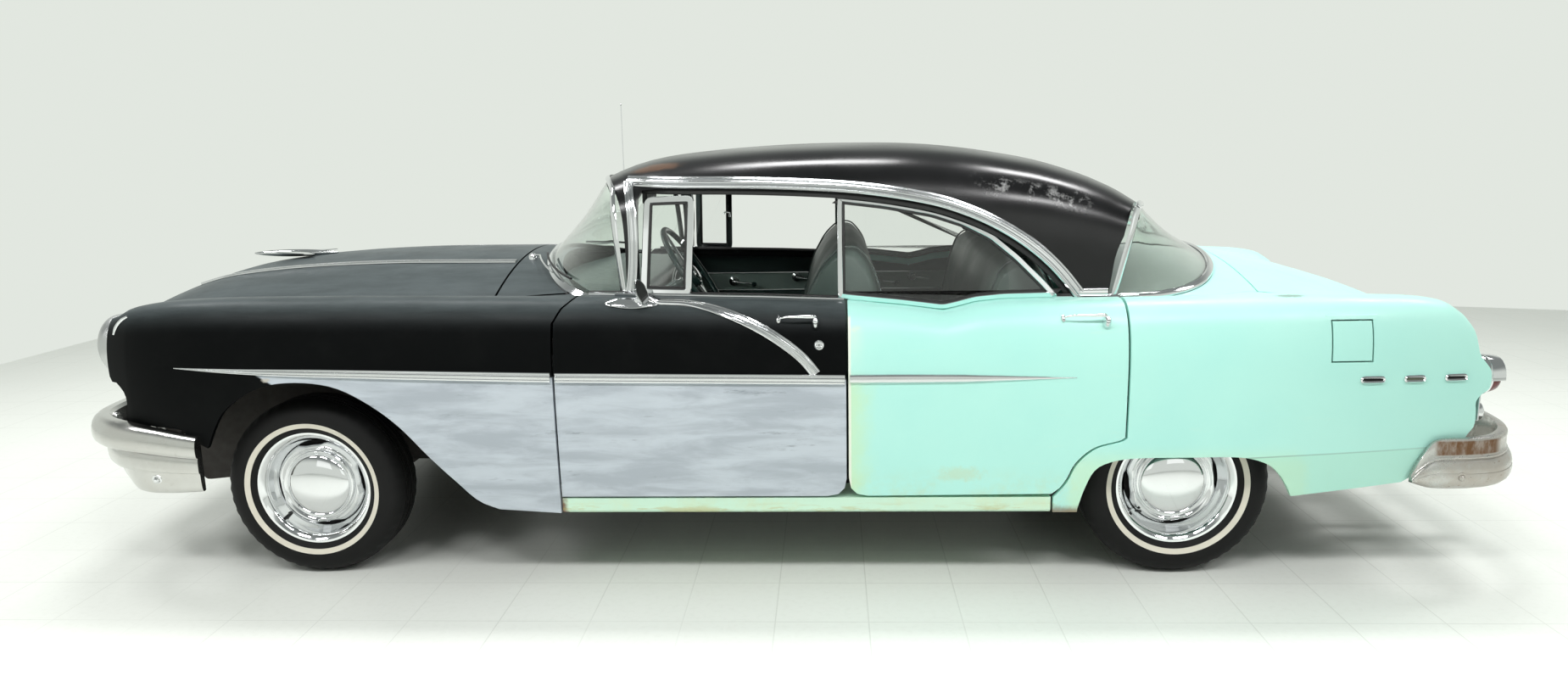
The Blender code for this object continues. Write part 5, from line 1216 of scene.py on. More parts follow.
def plating_wear(tree, where, shader, base, rough, wear, ledge_share):
    """Dull film, rust freckles and a brown band on the rear bumper's ledge."""
    x, _, z = axes(tree, where)
    patch = noise(tree, where, 5.0, 8.0, 0.72)
    film = times(tree, spread(tree, patch, 0.40, 0.68), wear)
    grains = noise(tree, where, 70.0, 6.0, 0.75)
    freckle = times(tree, spread(tree, grains, 0.60, 0.68), spread(tree, patch, 0.35, 0.6))
    stain = noise(tree, where, 22.0, 6.0, 0.7, stretch=(1.4, 1.4, 0.5))
    ledge = times(
        tree,
        between(tree, z, 0.464, 0.470, 0.512, 0.520),
        between(tree, x, 2.205, 2.225, 2.42, 2.46),
        spread(tree, stain, 0.30, 0.60, 0.45, 1.0),
        ledge_share,
    )
    base = blend_colour(tree, film, base, rgba((0.42, 0.37, 0.32)))
    base = blend_colour(tree, ledge, base, rgba((0.20, 0.11, 0.06)))
    base = tinted(tree, base, freckle, wear, (0.16, 0.07, 0.03))
    tree.links.new(spread(tree, film, 0.0, 1.0, 1.0, 0.72), shader.inputs["Metallic"])
    rough = blend_value(tree, film, rough, 0.42)
    return base, blend_value(tree, ledge, rough, 0.65)


def plated(name, colour=(0.78, 0.79, 0.80), low=0.05, high=0.13, wear=0.0, ledge_share=0.0):
    """Plating, with rust freckles and dull patches as wear goes up."""
    made, tree, shader, where = start_material(name)
    cloud = noise(tree, where, 9.0, 5.0, 0.6)
    fine = noise(tree, where, 160.0, 4.0, 0.7)
    rough = spread(tree, cloud, 0.3, 0.75, low, high)
    base = blend_colour(tree, cloud, rgba([c * 0.93 for c in colour]), rgba(colour))
    shader.inputs["Metallic"].default_value = 1.0
    if wear:
        base, rough = plating_wear(tree, where, shader, base, rough, wear, ledge_share)
    tree.links.new(base, shader.inputs["Base Color"])
    tree.links.new(rough, shader.inputs["Roughness"])
    bump(tree, shader, fine, 0.02 + 0.10 * wear, 0.0004)
    return made


def window_glass(name, tint, dirt=0.03):
    made, tree, shader, where = start_material(name)
    haze = noise(tree, where, 5.0, 6.0, 0.65)
    put(tree, shader, base_color=rgba(tint), roughness=spread(tree, haze, 0.45, 0.85, 0.0, dirt))
    shader.inputs["Transmission Weight"].default_value = 1.0
    shader.inputs["IOR"].default_value = 1.45
    return made


def tyre_rubber(name):
    """Black rubber with a narrow cream ring on the outer wall, about the wheel's own centre."""
    made, tree, shader, where = start_material(name)
    x, y, z = axes(tree, where)
    reach = calc(tree, "SQRT", plus(tree, times(tree, x, x), times(tree, z, z)))
    ring = times(
        tree,
        between(tree, reach, 0.2290, 0.2305, 0.2465, 0.2480),
        spread(tree, calc(tree, "ABSOLUTE", y), 0.060, 0.070),
    )
    cloud = noise(tree, where, 14.0, 5.0)
    fine = noise(tree, where, 120.0, 3.0)
    black = blend_colour(tree, cloud, rgba((0.004, 0.004, 0.004)), rgba((0.009, 0.009, 0.009)))
    shader.inputs["Specular IOR Level"].default_value = 0.22
    cream = blend_colour(tree, cloud, rgba((0.80, 0.76, 0.66)), rgba((0.62, 0.58, 0.48)))
    tree.links.new(blend_colour(tree, ring, black, cream), shader.inputs["Base Color"])
    tree.links.new(blend_value(tree, ring, 0.62, 0.5), shader.inputs["Roughness"])
    ribs = times(tree, calc(tree, "SINE", times(tree, reach, 900.0)), spread(tree, reach, 0.262, 0.27))
    bump(tree, shader, plus(tree, fine, times(tree, ribs, 0.4)), 0.12, 0.0006)
    return made


def clouded(tree, cloud, colour, low, high):
    """The colour, darker and lighter by turns."""
    return blend_colour(
        tree, cloud, rgba([c * low for c in colour]), rgba([min(c * high, 1) for c in colour]),
    )


def vinyl(name, colour, pleats=0.0):
    made, tree, shader, where = start_material(name)
    y = axes(tree, where)[1]
    grain = node(tree, "ShaderNodeTexVoronoi", {"Vector": where, "Scale": 420.0}).outputs["Distance"]
    cloud = noise(tree, where, 5.0, 5.0)
    put(tree, shader, base_color=clouded(tree, cloud, colour, 0.8, 1.15))
    put(tree, shader, roughness=spread(tree, cloud, 0.3, 0.7, 0.42, 0.58))
    height = grain
    if pleats:
        wave = calc(tree, "ABSOLUTE", calc(tree, "SINE", times(tree, y, pleats)))
        height = plus(tree, times(tree, wave, 6.0), grain)
    bump(tree, shader, height, 0.25, 0.0008)
    return made


def cloth(name, colour):
    made, tree, shader, where = start_material(name)
    threads = {"Vector": where, "Scale": 160.0, "Distortion": 1.5}
    weave = node(tree, "ShaderNodeTexWave", threads).outputs["Fac"]
    put(tree, shader, base_color=clouded(tree, noise(tree, where, 3.0, 6.0), colour, 0.75, 1.2))
    shader.inputs["Roughness"].default_value = 0.92
    shader.inputs["Sheen Weight"].default_value = 0.3
    bump(tree, shader, weave, 0.3, 0.0008)
    return made


black_paint = body_paint("black_body", black_zone, DULL_GLOSS)
roof_paint = body_paint("black_roof", roof_zone, PAINT_GLOSS)
front_paint = body_paint("black_and_primer", front_zone, DULL_GLOSS)
mint_paint = body_paint("mint_body", mint_zone, PAINT_GLOSS)
mint_door_paint = body_paint("mint_door", mint_door_zone, PAINT_GLOSS)
mint_tail_paint = body_paint("mint_quarter", mint_tail_zone, PAINT_GLOSS)
rocker_paint = body_paint("mint_rocker", rocker_zone, PAINT_GLOSS)
chrome = plated("chrome")
trim_chrome = plated("trim_chrome", (0.74, 0.75, 0.76), 0.10, 0.20)
wheel_chrome = plated("wheel_chrome", (0.80, 0.81, 0.82), 0.04, 0.09)
worn_chrome = plated("worn_chrome", (0.54, 0.54, 0.52), 0.16, 0.34, 0.75, ledge_share=1.0)
glass = window_glass("green_glass", (0.90, 0.955, 0.915))
side_glass = window_glass("side_glass", (0.975, 0.99, 0.98))
rear_glass = window_glass("rear_glass", (0.84, 0.91, 0.865))
lamp_glass = window_glass("lamp_glass", (0.93, 0.94, 0.94), 0.01)
red_lens = plain("red_lens", (0.13, 0.008, 0.008), 0.12, grain=60.0)
olive_paint = plain("olive_paint", (0.10, 0.11, 0.075), 0.45, grain=60.0)
satin_metal = plated("satin_metal", (0.56, 0.57, 0.565), 0.32, 0.44)
black_rubber = plain("black_rubber", (0.010, 0.010, 0.010), 0.55, grain=60.0)
# near-black that stands for the shade inside the keyhole, the wing dash recesses and the wheel's well:
# painted shade
recess_shade = plain("painted_recess_shade", (0.004, 0.004, 0.004), 0.9)
rubber = tyre_rubber("tyre_rubber")
underside = plain("underbody", (0.045, 0.040, 0.036), 0.8, 0.0, 30.0, 0.5, 0.5)
cast = plain("cast_metal", (0.10, 0.095, 0.09), 0.6, 0.6, 45.0, 0.4, 0.4)
rusty_pipe = plain("rusty_pipe", (0.16, 0.085, 0.05), 0.75, 0.3, 40.0, 0.5, 0.4)
seat_vinyl = vinyl("seat_vinyl", (0.060, 0.088, 0.076))
seat_cloth = vinyl("seat_insert", (0.040, 0.058, 0.052), 190.0)
door_vinyl = vinyl("door_vinyl", (0.035, 0.065, 0.058))
door_band = vinyl("door_band", (0.22, 0.29, 0.26))
dash_paint = plain("dash_paint", (0.030, 0.045, 0.042), 0.32, grain=60.0)
wheel_plastic = plain("steering_plastic", (0.012, 0.030, 0.027), 0.22, grain=60.0)
carpet = cloth("carpet", (0.06, 0.075, 0.07))
headlining = cloth("headlining", (0.42, 0.46, 0.43))
shelf_cloth = cloth("shelf_cloth", (0.10, 0.125, 0.11))
white_face = plain("dial_face", (0.65, 0.68, 0.62), 0.5)
mirror_face = plated("mirror_face", (0.86, 0.87, 0.88), 0.0, 0.02)
clear_lens = window_glass("clear_lens", (0.92, 0.92, 0.90), 0.12)
bumper_chrome = plated("bumper_chrome", (0.62, 0.62, 0.60), 0.09, 0.20, 0.18)
cream_rubber = plain("cream_rubber", (0.74, 0.70, 0.60), 0.5, grain=60.0)
red_paint = plain("red_needle", (0.45, 0.04, 0.02), 0.4)


# Geometry helpers
def shaded(obj, reference=None, hand=-1):
    """Gives obj the normals of the uncut surface wherever it follows that surface."""
    if reference is None:
        return obj
    tree, corners, polygons, verts = reference
    mesh = obj.data
    normals = []
    flip = Vector((1, -hand, 1))
    for face in mesh.polygons:
        centre = face.center * flip
        facing = face.normal * flip
        _, away, index, gap = tree.find_nearest(centre)
        follows = gap is not None and gap < 0.0015 and away.dot(facing) > 0.9
        for loop in face.loop_indices:
            if not follows:
                normals.append(face.normal)
                continue
            at = mesh.vertices[mesh.loops[loop].vertex_index].co * flip
            near, side_way, found, _ = tree.find_nearest(at)
            if side_way.dot(away) < 0.7:
                found, near = index, at
            points = [verts[k] for k in polygons[found]]
            weights = poly_3d_calc(points, near)
            made = Vector((0, 0, 0))
            for w, n in zip(weights, corners[found]):
                made += n * w
            if made.length < 0.1:
                made = facing
            normals.append((made.normalized() * flip))
    mesh.shade_smooth()
    mesh.normals_split_custom_set([tuple(n) for n in normals])
    return obj


def remember(obj):
    """The surface of obj as it is now, for shaded()."""
    mesh = obj.data
    verts = [v.co.copy() for v in mesh.vertices]
    polygons = [tuple(p.vertices) for p in mesh.polygons]
    corners = [[mesh.corner_normals[k].vector.copy() for k in p.loop_indices] for p in mesh.polygons]
    return BVHTree.FromPolygons(verts, polygons), corners, polygons, verts


def trim_to(obj, outline):
    """Keeps what lies inside a side-view outline on the left."""
    REFERENCE[obj.name.split(".")[0]] = remember(obj)
    cutter = prism("outline", outline, -BODY_WIDTH, -SILL_HEIGHT, obj.data.materials[0])
    return combine(obj, [cutter], "INTERSECT")


def dress(obj, name, body, nodes=(), finish=None):
    """Names a piece, hides the nodes it stands for and fixes it to its body."""
    obj.name = name
    if finish is not None:
        obj.data.materials.clear()
        obj.data.materials.append(finish)
    if nodes:
        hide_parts(*nodes)
    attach(obj, body)
    return obj


def both(obj, name, bodies, nodes=None):
    """The left piece and its mirror image, on the bodies (left, right)."""
    other = flipped(obj)
    left = dress(obj, name + "_left", bodies[0], nodes[0] if nodes else ())
    right = dress(other, name + "_right", bodies[1], nodes[1] if nodes else ())
    return left, right


def flipped(obj):
    """A mirrored copy, normals with it."""
    mesh = obj.data.copy()
    for v in mesh.vertices:
        v.co.y = -v.co.y
    mesh.flip_normals()
    mesh.update()
    made = new_object(obj.name + "_other", mesh, obj.data.materials[0])
    made.location = (obj.location.x, -obj.location.y, obj.location.z)
    return made


def smooth_path(points, count):
    """Points spread evenly along a curve through the given points."""
    pts = [Vector(p) for p in points]
    dense = []
    for i in range(len(pts) - 1):
        p0 = pts[max(i - 1, 0)]
        p1, p2 = pts[i], pts[i + 1]
        p3 = pts[min(i + 2, len(pts) - 1)]
        for k in range(12):
            t = k / 12
            dense.append(
                0.5 * (2 * p1 + (p2 - p0) * t + (2 * p0 - 5 * p1 + 4 * p2 - p3) * t * t
                       + (3 * p1 - p0 - 3 * p2 + p3) * t**3)
            )
    dense.append(pts[-1])
    far = [0.0]
    for a, b in zip(dense, dense[1:]):
        far.append(far[-1] + (b - a).length)
    made, k = [], 0
    for i in range(count):
        want = far[-1] * i / (count - 1)
        while k < len(dense) - 2 and far[k + 1] < want:
            k += 1
        span = max(far[k + 1] - far[k], 1e-9)
        made.append(dense[k].lerp(dense[k + 1], min(max((want - far[k]) / span, 0), 1)))
    return made


def fair(table, count):
    """An outline's points spread along a smooth curve through them."""
    return tuple((p.x, p.z) for p in smooth_path([(x, 0, z) for x, z in table], count))


# Smoother outlines than the solids have
FRONT_ARCH_SHARES = fair(((-0.985, 0.545),) + FRONT_ARCH_SHARES[2:], 44)
REAR_ARCH_SHARES = fair(REAR_ARCH_SHARES, 44)
DOOR_NOTCH_SHARES = fair(DOOR_NOTCH_SHARES[:-1], 20) + DOOR_NOTCH_SHARES[-1:]
NOSE_SHARES = fair(NOSE_SHARES[:-1] + ((0.300, 0.548),), 40)
LOW_TAIL_SHARES = (
    (0.030, 0.665), (0.045, 0.640), (0.040, 0.610), (0.040, 0.560), (0.060, 0.530), (0.105, 0.470),
)
TAIL_SHARES = fair(TAIL_SHARES[:7] + LOW_TAIL_SHARES + TAIL_SHARES[-1:], 60)
FUEL_CUP_SHARES = (
    (FUEL_CUP_SHARES[0][0], FUEL_CUP_SHARES[0][1] * 0.98, FUEL_CUP_SHARES[0][2]), FUEL_CUP_SHARES[1],
)

# Sections of strips, as (across, out) shares of width and rise
HALF_ROUND = (
    (-0.5, 0.0), (-0.46, 0.45), (-0.30, 0.85), (0.0, 1.0), (0.30, 0.85), (0.46, 0.45), (0.5, 0.0),
    (0.0, -0.35),
)
TRIPLE = (
    (-0.5, 0.0), (-0.48, 0.60), (-0.42, 0.80), (-0.30, 0.85), (-0.22, 0.45), (-0.16, 0.45),
    (-0.10, 0.95), (0.0, 1.0), (0.10, 0.95), (0.16, 0.45), (0.22, 0.45), (0.30, 0.85),
    (0.42, 0.80), (0.48, 0.60), (0.5, 0.0), (0.0, -0.3),
)
LEDGE = ((-0.5, 0.0), (-0.46, 0.8), (-0.36, 1.0), (0.10, 0.75), (0.42, 0.55), (0.5, 0.0), (0.0, -0.3))


def moulding(name, path, outs, widths, rises, profile, finish, closed=False):
    """A strip along path, raised along outs, as wide and high as widths and rises say."""
    rings = []
    last = len(path) - 1
    for i, p in enumerate(path):
        if closed:
            along = path[(i + 1) % len(path)] - path[i - 1]
        else:
            along = path[min(i + 1, last)] - path[max(i - 1, 0)]
        out = outs[i] if isinstance(outs, list) else outs
        across = out.cross(along).normalized()
        up = along.cross(across).normalized()
        w = widths[i] if isinstance(widths, list) else widths
        h = rises[i] if isinstance(rises, list) else rises
        rings.append([p + across * (s * w) + up * (d * h) for s, d in profile])
    return loft(name, rings, finish, closed)


def side_y(x, z, door=False):
    """Half width of the body side at a height below its crown."""
    points = side_section(x, door)
    points = points[: LOWER_STEPS + UPPER_STEPS + 1]
    for (y0, z0), (y1, z1) in zip(points, points[1:]):
        if z0 <= z <= z1:
            return y0 + (y1 - y0) * (z - z0) / max(z1 - z0, 1e-9)
    return points[-1][0]


def on_side(x, z, door=False):
    """A point of the left side and the way it faces."""
    d = 0.006
    p = Vector((x, -side_y(x, z, door), z))
    dx = Vector((2 * d, -side_y(x + d, z, door) + side_y(x - d, z, door), 0))
    dz = Vector((0, -side_y(x, z + d / 2, door) + side_y(x, z - d / 2, door), d))
    out = dx.cross(dz).normalized()
    if out.y > 0:
        out = -out
    return p, out


def side_strip(name, points, widths, rise, profile, finish, door=False, count=40):
    """A strip on the left side through (x, z) points, its widths given at those points."""
    path = smooth_path([(x, 0, z) for x, z in points], count)
    spread_w = []
    for i in range(count):
        t = i / (count - 1) * (len(widths) - 1)
        k = min(int(t), len(widths) - 2)
        spread_w.append(widths[k] + (widths[k + 1] - widths[k]) * (t - k))
    pairs = [on_side(p.x, p.z, door) for p in path]
    rises = [rise * min(1.0, w / max(widths)) + 0.001 for w in spread_w]
    return moulding(name, [p for p, _ in pairs], [n for _, n in pairs], spread_w, rises, profile, finish)


def inset(points, depth):
    """A closed (x, z) outline moved inward by depth."""
    area = sum(a[0] * b[1] - b[0] * a[1] for a, b in zip(points, points[1:] + points[:1]))
    sign = 1 if area > 0 else -1
    made = []
    count = len(points)
    for i in range(count):
        a, b, c = (Vector(points[k % count]) for k in (i - 1, i, i + 1))
        u, v = (b - a).normalized(), (c - b).normalized()
        n1, n2 = Vector((-u.y, u.x)) * sign, Vector((-v.y, v.x)) * sign
        n = (n1 + n2)
        if n.length < 1e-6:
            n = n1.copy()
        n.normalize()
        made.append(tuple(b + n * depth / max(n.dot(n1), 0.35)))
    return made


def softened(points, radius, steps=4):
    """The outline with every corner rounded."""
    made = []
    count = len(points)
    for i in range(count):
        a, b, c = (Vector(points[k % count]) for k in (i - 1, i, i + 1))
        r = min(radius, (a - b).length * 0.45, (c - b).length * 0.45)
        p, q = b + (a - b).normalized() * r, b + (c - b).normalized() * r
        for k in range(steps + 1):
            t = k / steps
            made.append(tuple(p * (1 - t) ** 2 + b * 2 * t * (1 - t) + q * t * t))
    return made


def frame_ring(name, outline, width, low_y, high_y, finish):
    """A flat frame as wide as width inside a closed outline, from low_y to high_y."""
    inside = inset(outline, width)
    edge = min(0.002, abs(high_y - low_y) / 4, width / 4)
    outer_b, inner_b = inset(outline, edge), inset(outline, width - edge)
    rings = []
    for o, i, ob, ib in zip(outline, inside, outer_b, inner_b):
        y0, y1 = low_y, high_y
        step = edge if y1 > y0 else -edge
        rings.append([
            (o[0], y0 + step, o[1]), (ob[0], y0, ob[1]), (ib[0], y0, ib[1]), (i[0], y0 + step, i[1]),
            (i[0], y1, i[1]), (o[0], y1, o[1]),
        ])
    return loft(name, rings, finish, closed=True)


def lean(obj):
    """Leans a flat piece, made about y = 0, in with the greenhouse on the left."""
    for v in obj.data.vertices:
        shift = WINDOW_LEAN * (v.co.z - BELT_HEIGHT) / WINDOW_RISE
        v.co.y -= WINDOW_FOOT_Y - shift
    return obj


def across(j, count):
    """Column j of count from -1 to 1, closer together toward the ends."""
    return math.sin((2 * j / (count - 1) - 1) * math.pi / 2)


def rounded_edges(obj, size, segments=2, angle=30):
    made = obj.modifiers.new("edges", "BEVEL")
    made.width = size
    made.segments = segments
    made.limit_method = "ANGLE"
    made.angle_limit = math.radians(angle)
    made.harden_normals = True
    return obj


# Bodies
BODY, HOOD_BODY, LID_BODY, CAP_BODY = "body", "bonnet", "boot_lid", "filler_door"
FRONT_DOORS = ("front_left_door", "front_right_door")
REAR_DOORS = ("rear_left_door", "rear_right_door")
SIDES = (BODY, BODY)


def corner_wings(finish):
    """The wings, whose rear top corners follow the doors' front ones at the door gap."""
    end_x = DOOR_FRONT_X - DOOR_GAP
    far_x = DOOR_FRONT_X + DOOR_CORNER
    block_x = NOSE_X + NOSE_BLOCK
    xs = [NOSE_X - OVERRUN, NOSE_X, block_x - SHEET, block_x]
    xs = with_knots(xs + stations(block_x, end_x, STATIONS - 3)[1:] + stations(end_x, far_x, 6)[1:])
    panel = side_shell("fender_left", xs, finish, solid_from=block_x - SHEET / 2)
    outline = [(DOOR_FRONT_X + DOOR_CORNER, 1.030 * BELT_HEIGHT)]
    outline += [(DOOR_FRONT_X + 0.9 * DOOR_CORNER, 1.2 * BELT_HEIGHT)]
    outline += [(NOSE_X + s, BELT_HEIGHT * h) for s, h in NOSE_SHARES]
    outline += around(FRONT_AXLE_X, AXLE_Z, TYRE_RADIUS, FRONT_ARCH_SHARES)
    outline += [(end_x, SILL_HEIGHT), (end_x, 0.945 * BELT_HEIGHT)]
    outline += [(end_x + 0.42 * DOOR_CORNER, 0.992 * BELT_HEIGHT)]
    trim_to(panel, outline)
    return panel, mirrored(panel, "fender_right")


# Painted panels
def paint_panels():
    left, right = corner_wings(front_paint)
    shaded(left, REFERENCE["fender_left"])
    shaded(right, REFERENCE["fender_left"], 1)
    dress(left, "front_wing_left", BODY, ("fender_left",))
    dress(right, "front_wing_right", BODY, ("fender_right",), black_paint)

    front, rear, front_right, rear_right = build_doors(front_paint, mint_door_paint)
    for piece, side_of, place_of, finish in (
        (front, "left", 0, front_paint),
        (rear, "left", 1, mint_door_paint),
        (front_right, "right", 0, black_paint),
        (rear_right, "right", 1, mint_paint),
    ):
        word = ("front", "rear")[place_of]
        body = (FRONT_DOORS, REAR_DOORS)[place_of][side_of == "right"]
        shaded(piece, REFERENCE["door_%s_left" % word], -1 if side_of == "left" else 1)
        dress(piece, "%s_door_panel_%s" % (word, side_of), body, ("door_%s_%s" % (word, side_of),), finish)

    left, right, cap = build_quarters(mint_tail_paint)
    shaded(left, REFERENCE["quarter_left"])
    shaded(right, REFERENCE["quarter_left"], 1)
    shaded(cap, REFERENCE["fuel_door"])
    dress(left, "rear_wing_left", BODY, ("quarter_left",))
    dress(right, "rear_wing_right", BODY, ("quarter_right",), mint_paint)
    dress(cap, "filler_cap_door", CAP_BODY, ("fuel_door",))


def fine_hood():
    rows, columns = 34, 41
    steps = [i / (rows - 1) for i in range(rows)]
    steps = [t * t * (2 - t) for t in steps]
    xs = with_knots([HOOD_NOSE_X * (1 - t) + HOOD_REAR_X * t for t in steps])
    outer = []
    for at_x in xs:
        t = (at_x - HOOD_NOSE_X) / (HOOD_REAR_X - HOOD_NOSE_X)
        line = []
        for j in range(columns):
            u = across(j, columns)
            x = at_x + (hood_front_x(u * DECK_EDGE_Y) - HOOD_NOSE_X) * max(1 - 4 * t, 0)
            y = u * (inner_edge_y(x) - DOOR_GAP)
            line.append((x, y, deck_z(x, y)))
        outer.append(line)
    hood = thickened("hood_panel", outer, SHEET, black_paint)
    dress(rounded_edges(hood, 0.004, 2, 50), "hood_panel", HOOD_BODY, ("hood",))


def fine_lid():
    columns = 31
    profile = [(x, 0) for x in with_knots(stations(LID_FRONT_X, LID_TURN_X, 14))]
    profile += [(None, math.radians(a)) for a in (8, 16, 24, 33, 42, 52, 62, 72, 81, 90)]
    outer = []
    for x, a in profile:
        line = []
        for j in range(columns):
            u = across(j, columns)
            if x is not None:
                y = u * (inner_edge_y(x) - DOOR_GAP)
                line.append((x, y, deck_z(x, y)))
            else:
                turn_x = LID_TURN_X + (LID_REAR_X - LID_TURN_X) * math.sin(a)
                y = u * (inner_edge_y(LID_TURN_X) - DOOR_GAP)
                top = deck_z(LID_TURN_X, y)
                line.append((turn_x, y, LID_BOTTOM + (top - LID_BOTTOM) * math.cos(a)))
        outer.append(line)
    lid = thickened("boot_panel", outer, SHEET, mint_paint)
    dress(rounded_edges(lid, 0.004, 2, 50), "boot_panel", LID_BODY, ("trunk_lid",))


def roof_point(s, degrees, hand):
    a = math.radians(degrees)
    front, rear = roof_edge_x(a)
    x = front + (rear - front) * s
    y = hand * (GLASS_HALF_WIDTH * max(math.cos(a), 0) ** (2 / ROOF_POWER))
    if degrees > ROOF_REAR_SHARES[0][0] + 1e-6:
        z = roof_z(x, a)
    else:
        z = deck_z(x, abs(y) - ROOF_SHEET) + ROOF_SEAT
    return Vector((x, y, z))


def fine_roof():
    low = ROOF_REAR_SHARES[0][0]
    first = ROOF_REAR_SHARES[1][0]
    spots = [low] + [first + (90 - first) * (k / 30) ** 1.25 for k in range(31)]
    columns = [(a, -1) for a in spots] + [(a, 1) for a in reversed(spots[:-1])]
    rows = sorted(set(ROOF_ROW_SHARES) | {k / 36 for k in range(37)})
    outer = [[roof_point(s, a, hand) for a, hand in columns] for s in rows]
    roof = thickened("roof_panel", outer, ROOF_SHEET, roof_paint)
    REFERENCE["roof"] = remember(roof)
    cutter = prism("cutter", side(SIDE_WINDOW_SHARES), -BODY_WIDTH, BODY_WIDTH, roof_paint)
    combine(roof, [cutter], "DIFFERENCE")
    shaded(roof, REFERENCE["roof"])
    dress(roof, "roof_panel", BODY, ("roof",))


def fine_cowl():
    columns, rows = 41, 9
    outer = []
    for i in range(rows):
        t = i / (rows - 1)
        line = []
        for j in range(columns):
            u = across(j, columns)
            y = u * COWL_HALF_WIDTH
            front = HOOD_REAR_X + DOOR_GAP
            x = front + (screen_foot(u)[0] + COWL_LAP - front) * t
            line.append((x, y, deck_z(x, y)))
        outer.append(line)
    cowl = thickened("cowl_panel", outer, SHEET, black_paint)
    edge = inner_edge_y(HOOD_REAR_X) - DOOR_GAP
    for hand in (-1, 1):
        low = (HOOD_REAR_X - OVERRUN, min(hand * edge, hand * HALF_WIDTH), BELT_HEIGHT / 2)
        high = (DOOR_FRONT_X - DOOR_GAP + SEAT_GAP, max(hand * edge, hand * HALF_WIDTH), HEIGHT)
        combine(cowl, [box("corner", low, high, black_paint)], "DIFFERENCE")
    (x0, half, bottom), (x1, _, _) = (place(c) for c in FIREWALL_BOX_SHARES)
    pieces = [cross_plate("firewall", x0, x1, half, bottom, SHEET / 2, black_paint)]
    for mirror in (False, True):
        for table in (HINGE_POST_SHARES, APRON_SHARES, APRON_SHELF_SHARES):
            pieces.append(block("piece", table, black_paint, mirror))
    pieces.append(block("support", RADIATOR_SUPPORT_SHARES, black_paint))
    pieces.append(block("radiator", RADIATOR_SHARES, black_paint))
    combine(cowl, pieces, "UNION")
    dress(cowl, "cowl_panel", BODY, ("cowl",))


def fine_rear_deck():
    columns = 41
    outer = []
    for x in with_knots(stations(REAR_DECK_X, LID_FRONT_X - DOOR_GAP, 14)):
        line = []
        for j in range(columns):
            u = across(j, columns)
            y = u * (min(inner_edge_y(x), GLASS_HALF_WIDTH) - 1.5 * SEAT_GAP)
            line.append((x, y, deck_z(x, y)))
        outer.append(line)
    deck = thickened("shelf_panel", outer, SHEET, mint_paint)
    combine(deck, [block("wall", SHELF_WALL_SHARES, mint_paint)], "UNION")
    dress(deck, "shelf_panel", BODY, ("rear_deck",))


# Glass
def fine_glass():
    front = glazing("front_screen", screen_foot, 0, 15, 61, glass)
    rear = glazing("rear_screen", backlight_foot, 1, 13, 61, rear_glass)
    for piece, node_name in ((front, "windshield"), (rear, "rear_window")):
        piece.visible_shadow = False
        dress(piece, piece.name, BODY, (node_name,))


def screen_edge(foot, edge, lift):
    """The foot line and the head line of a wrapped pane, each as a list of points."""
    head_half = roof_half_width(SCREEN_HEAD, SCREEN_TOP) - WINDOW_GAP
    feet, heads = [], []
    count = 60
    for j in range(count):
        u = across(j, count)
        foot_x, _ = foot(u)
        foot_z = deck_z(foot_x, u * (GLASS_HALF_WIDTH - WINDOW_GAP)) + WINDOW_GAP + lift
        angle = roof_angle(u * head_half)
        head_x = roof_edge_x(angle)[edge]
        head_z = roof_z(head_x, angle)
        foot_y = u * (roof_half_width(foot_z, SCREEN_TOP) - WINDOW_GAP)
        head_y = u * (roof_half_width(head_z, SCREEN_TOP) - WINDOW_GAP)
        feet.append(Vector((foot_x, foot_y, foot_z)))
        heads.append(Vector((head_x, head_y, head_z)))
    return feet, heads


# Bright work
UP = Vector((0, 0, 1))
BACK = Vector((1, 0, 0))


def wrap_outs(path, side_share, up_share):
    """Outward and upward directions along a foot line that wraps round the cabin."""
    made = []
    last = len(path) - 1
    for i, p in enumerate(path):
        along = (path[min(i + 1, last)] - path[max(i - 1, 0)]).normalized()
        out = along.cross(UP).normalized()
        if out.dot(Vector((p.x - 0.35, p.y * 1.5, 0))) < 0:
            out = -out
        made.append((out * side_share + UP * up_share).normalized())
    return made


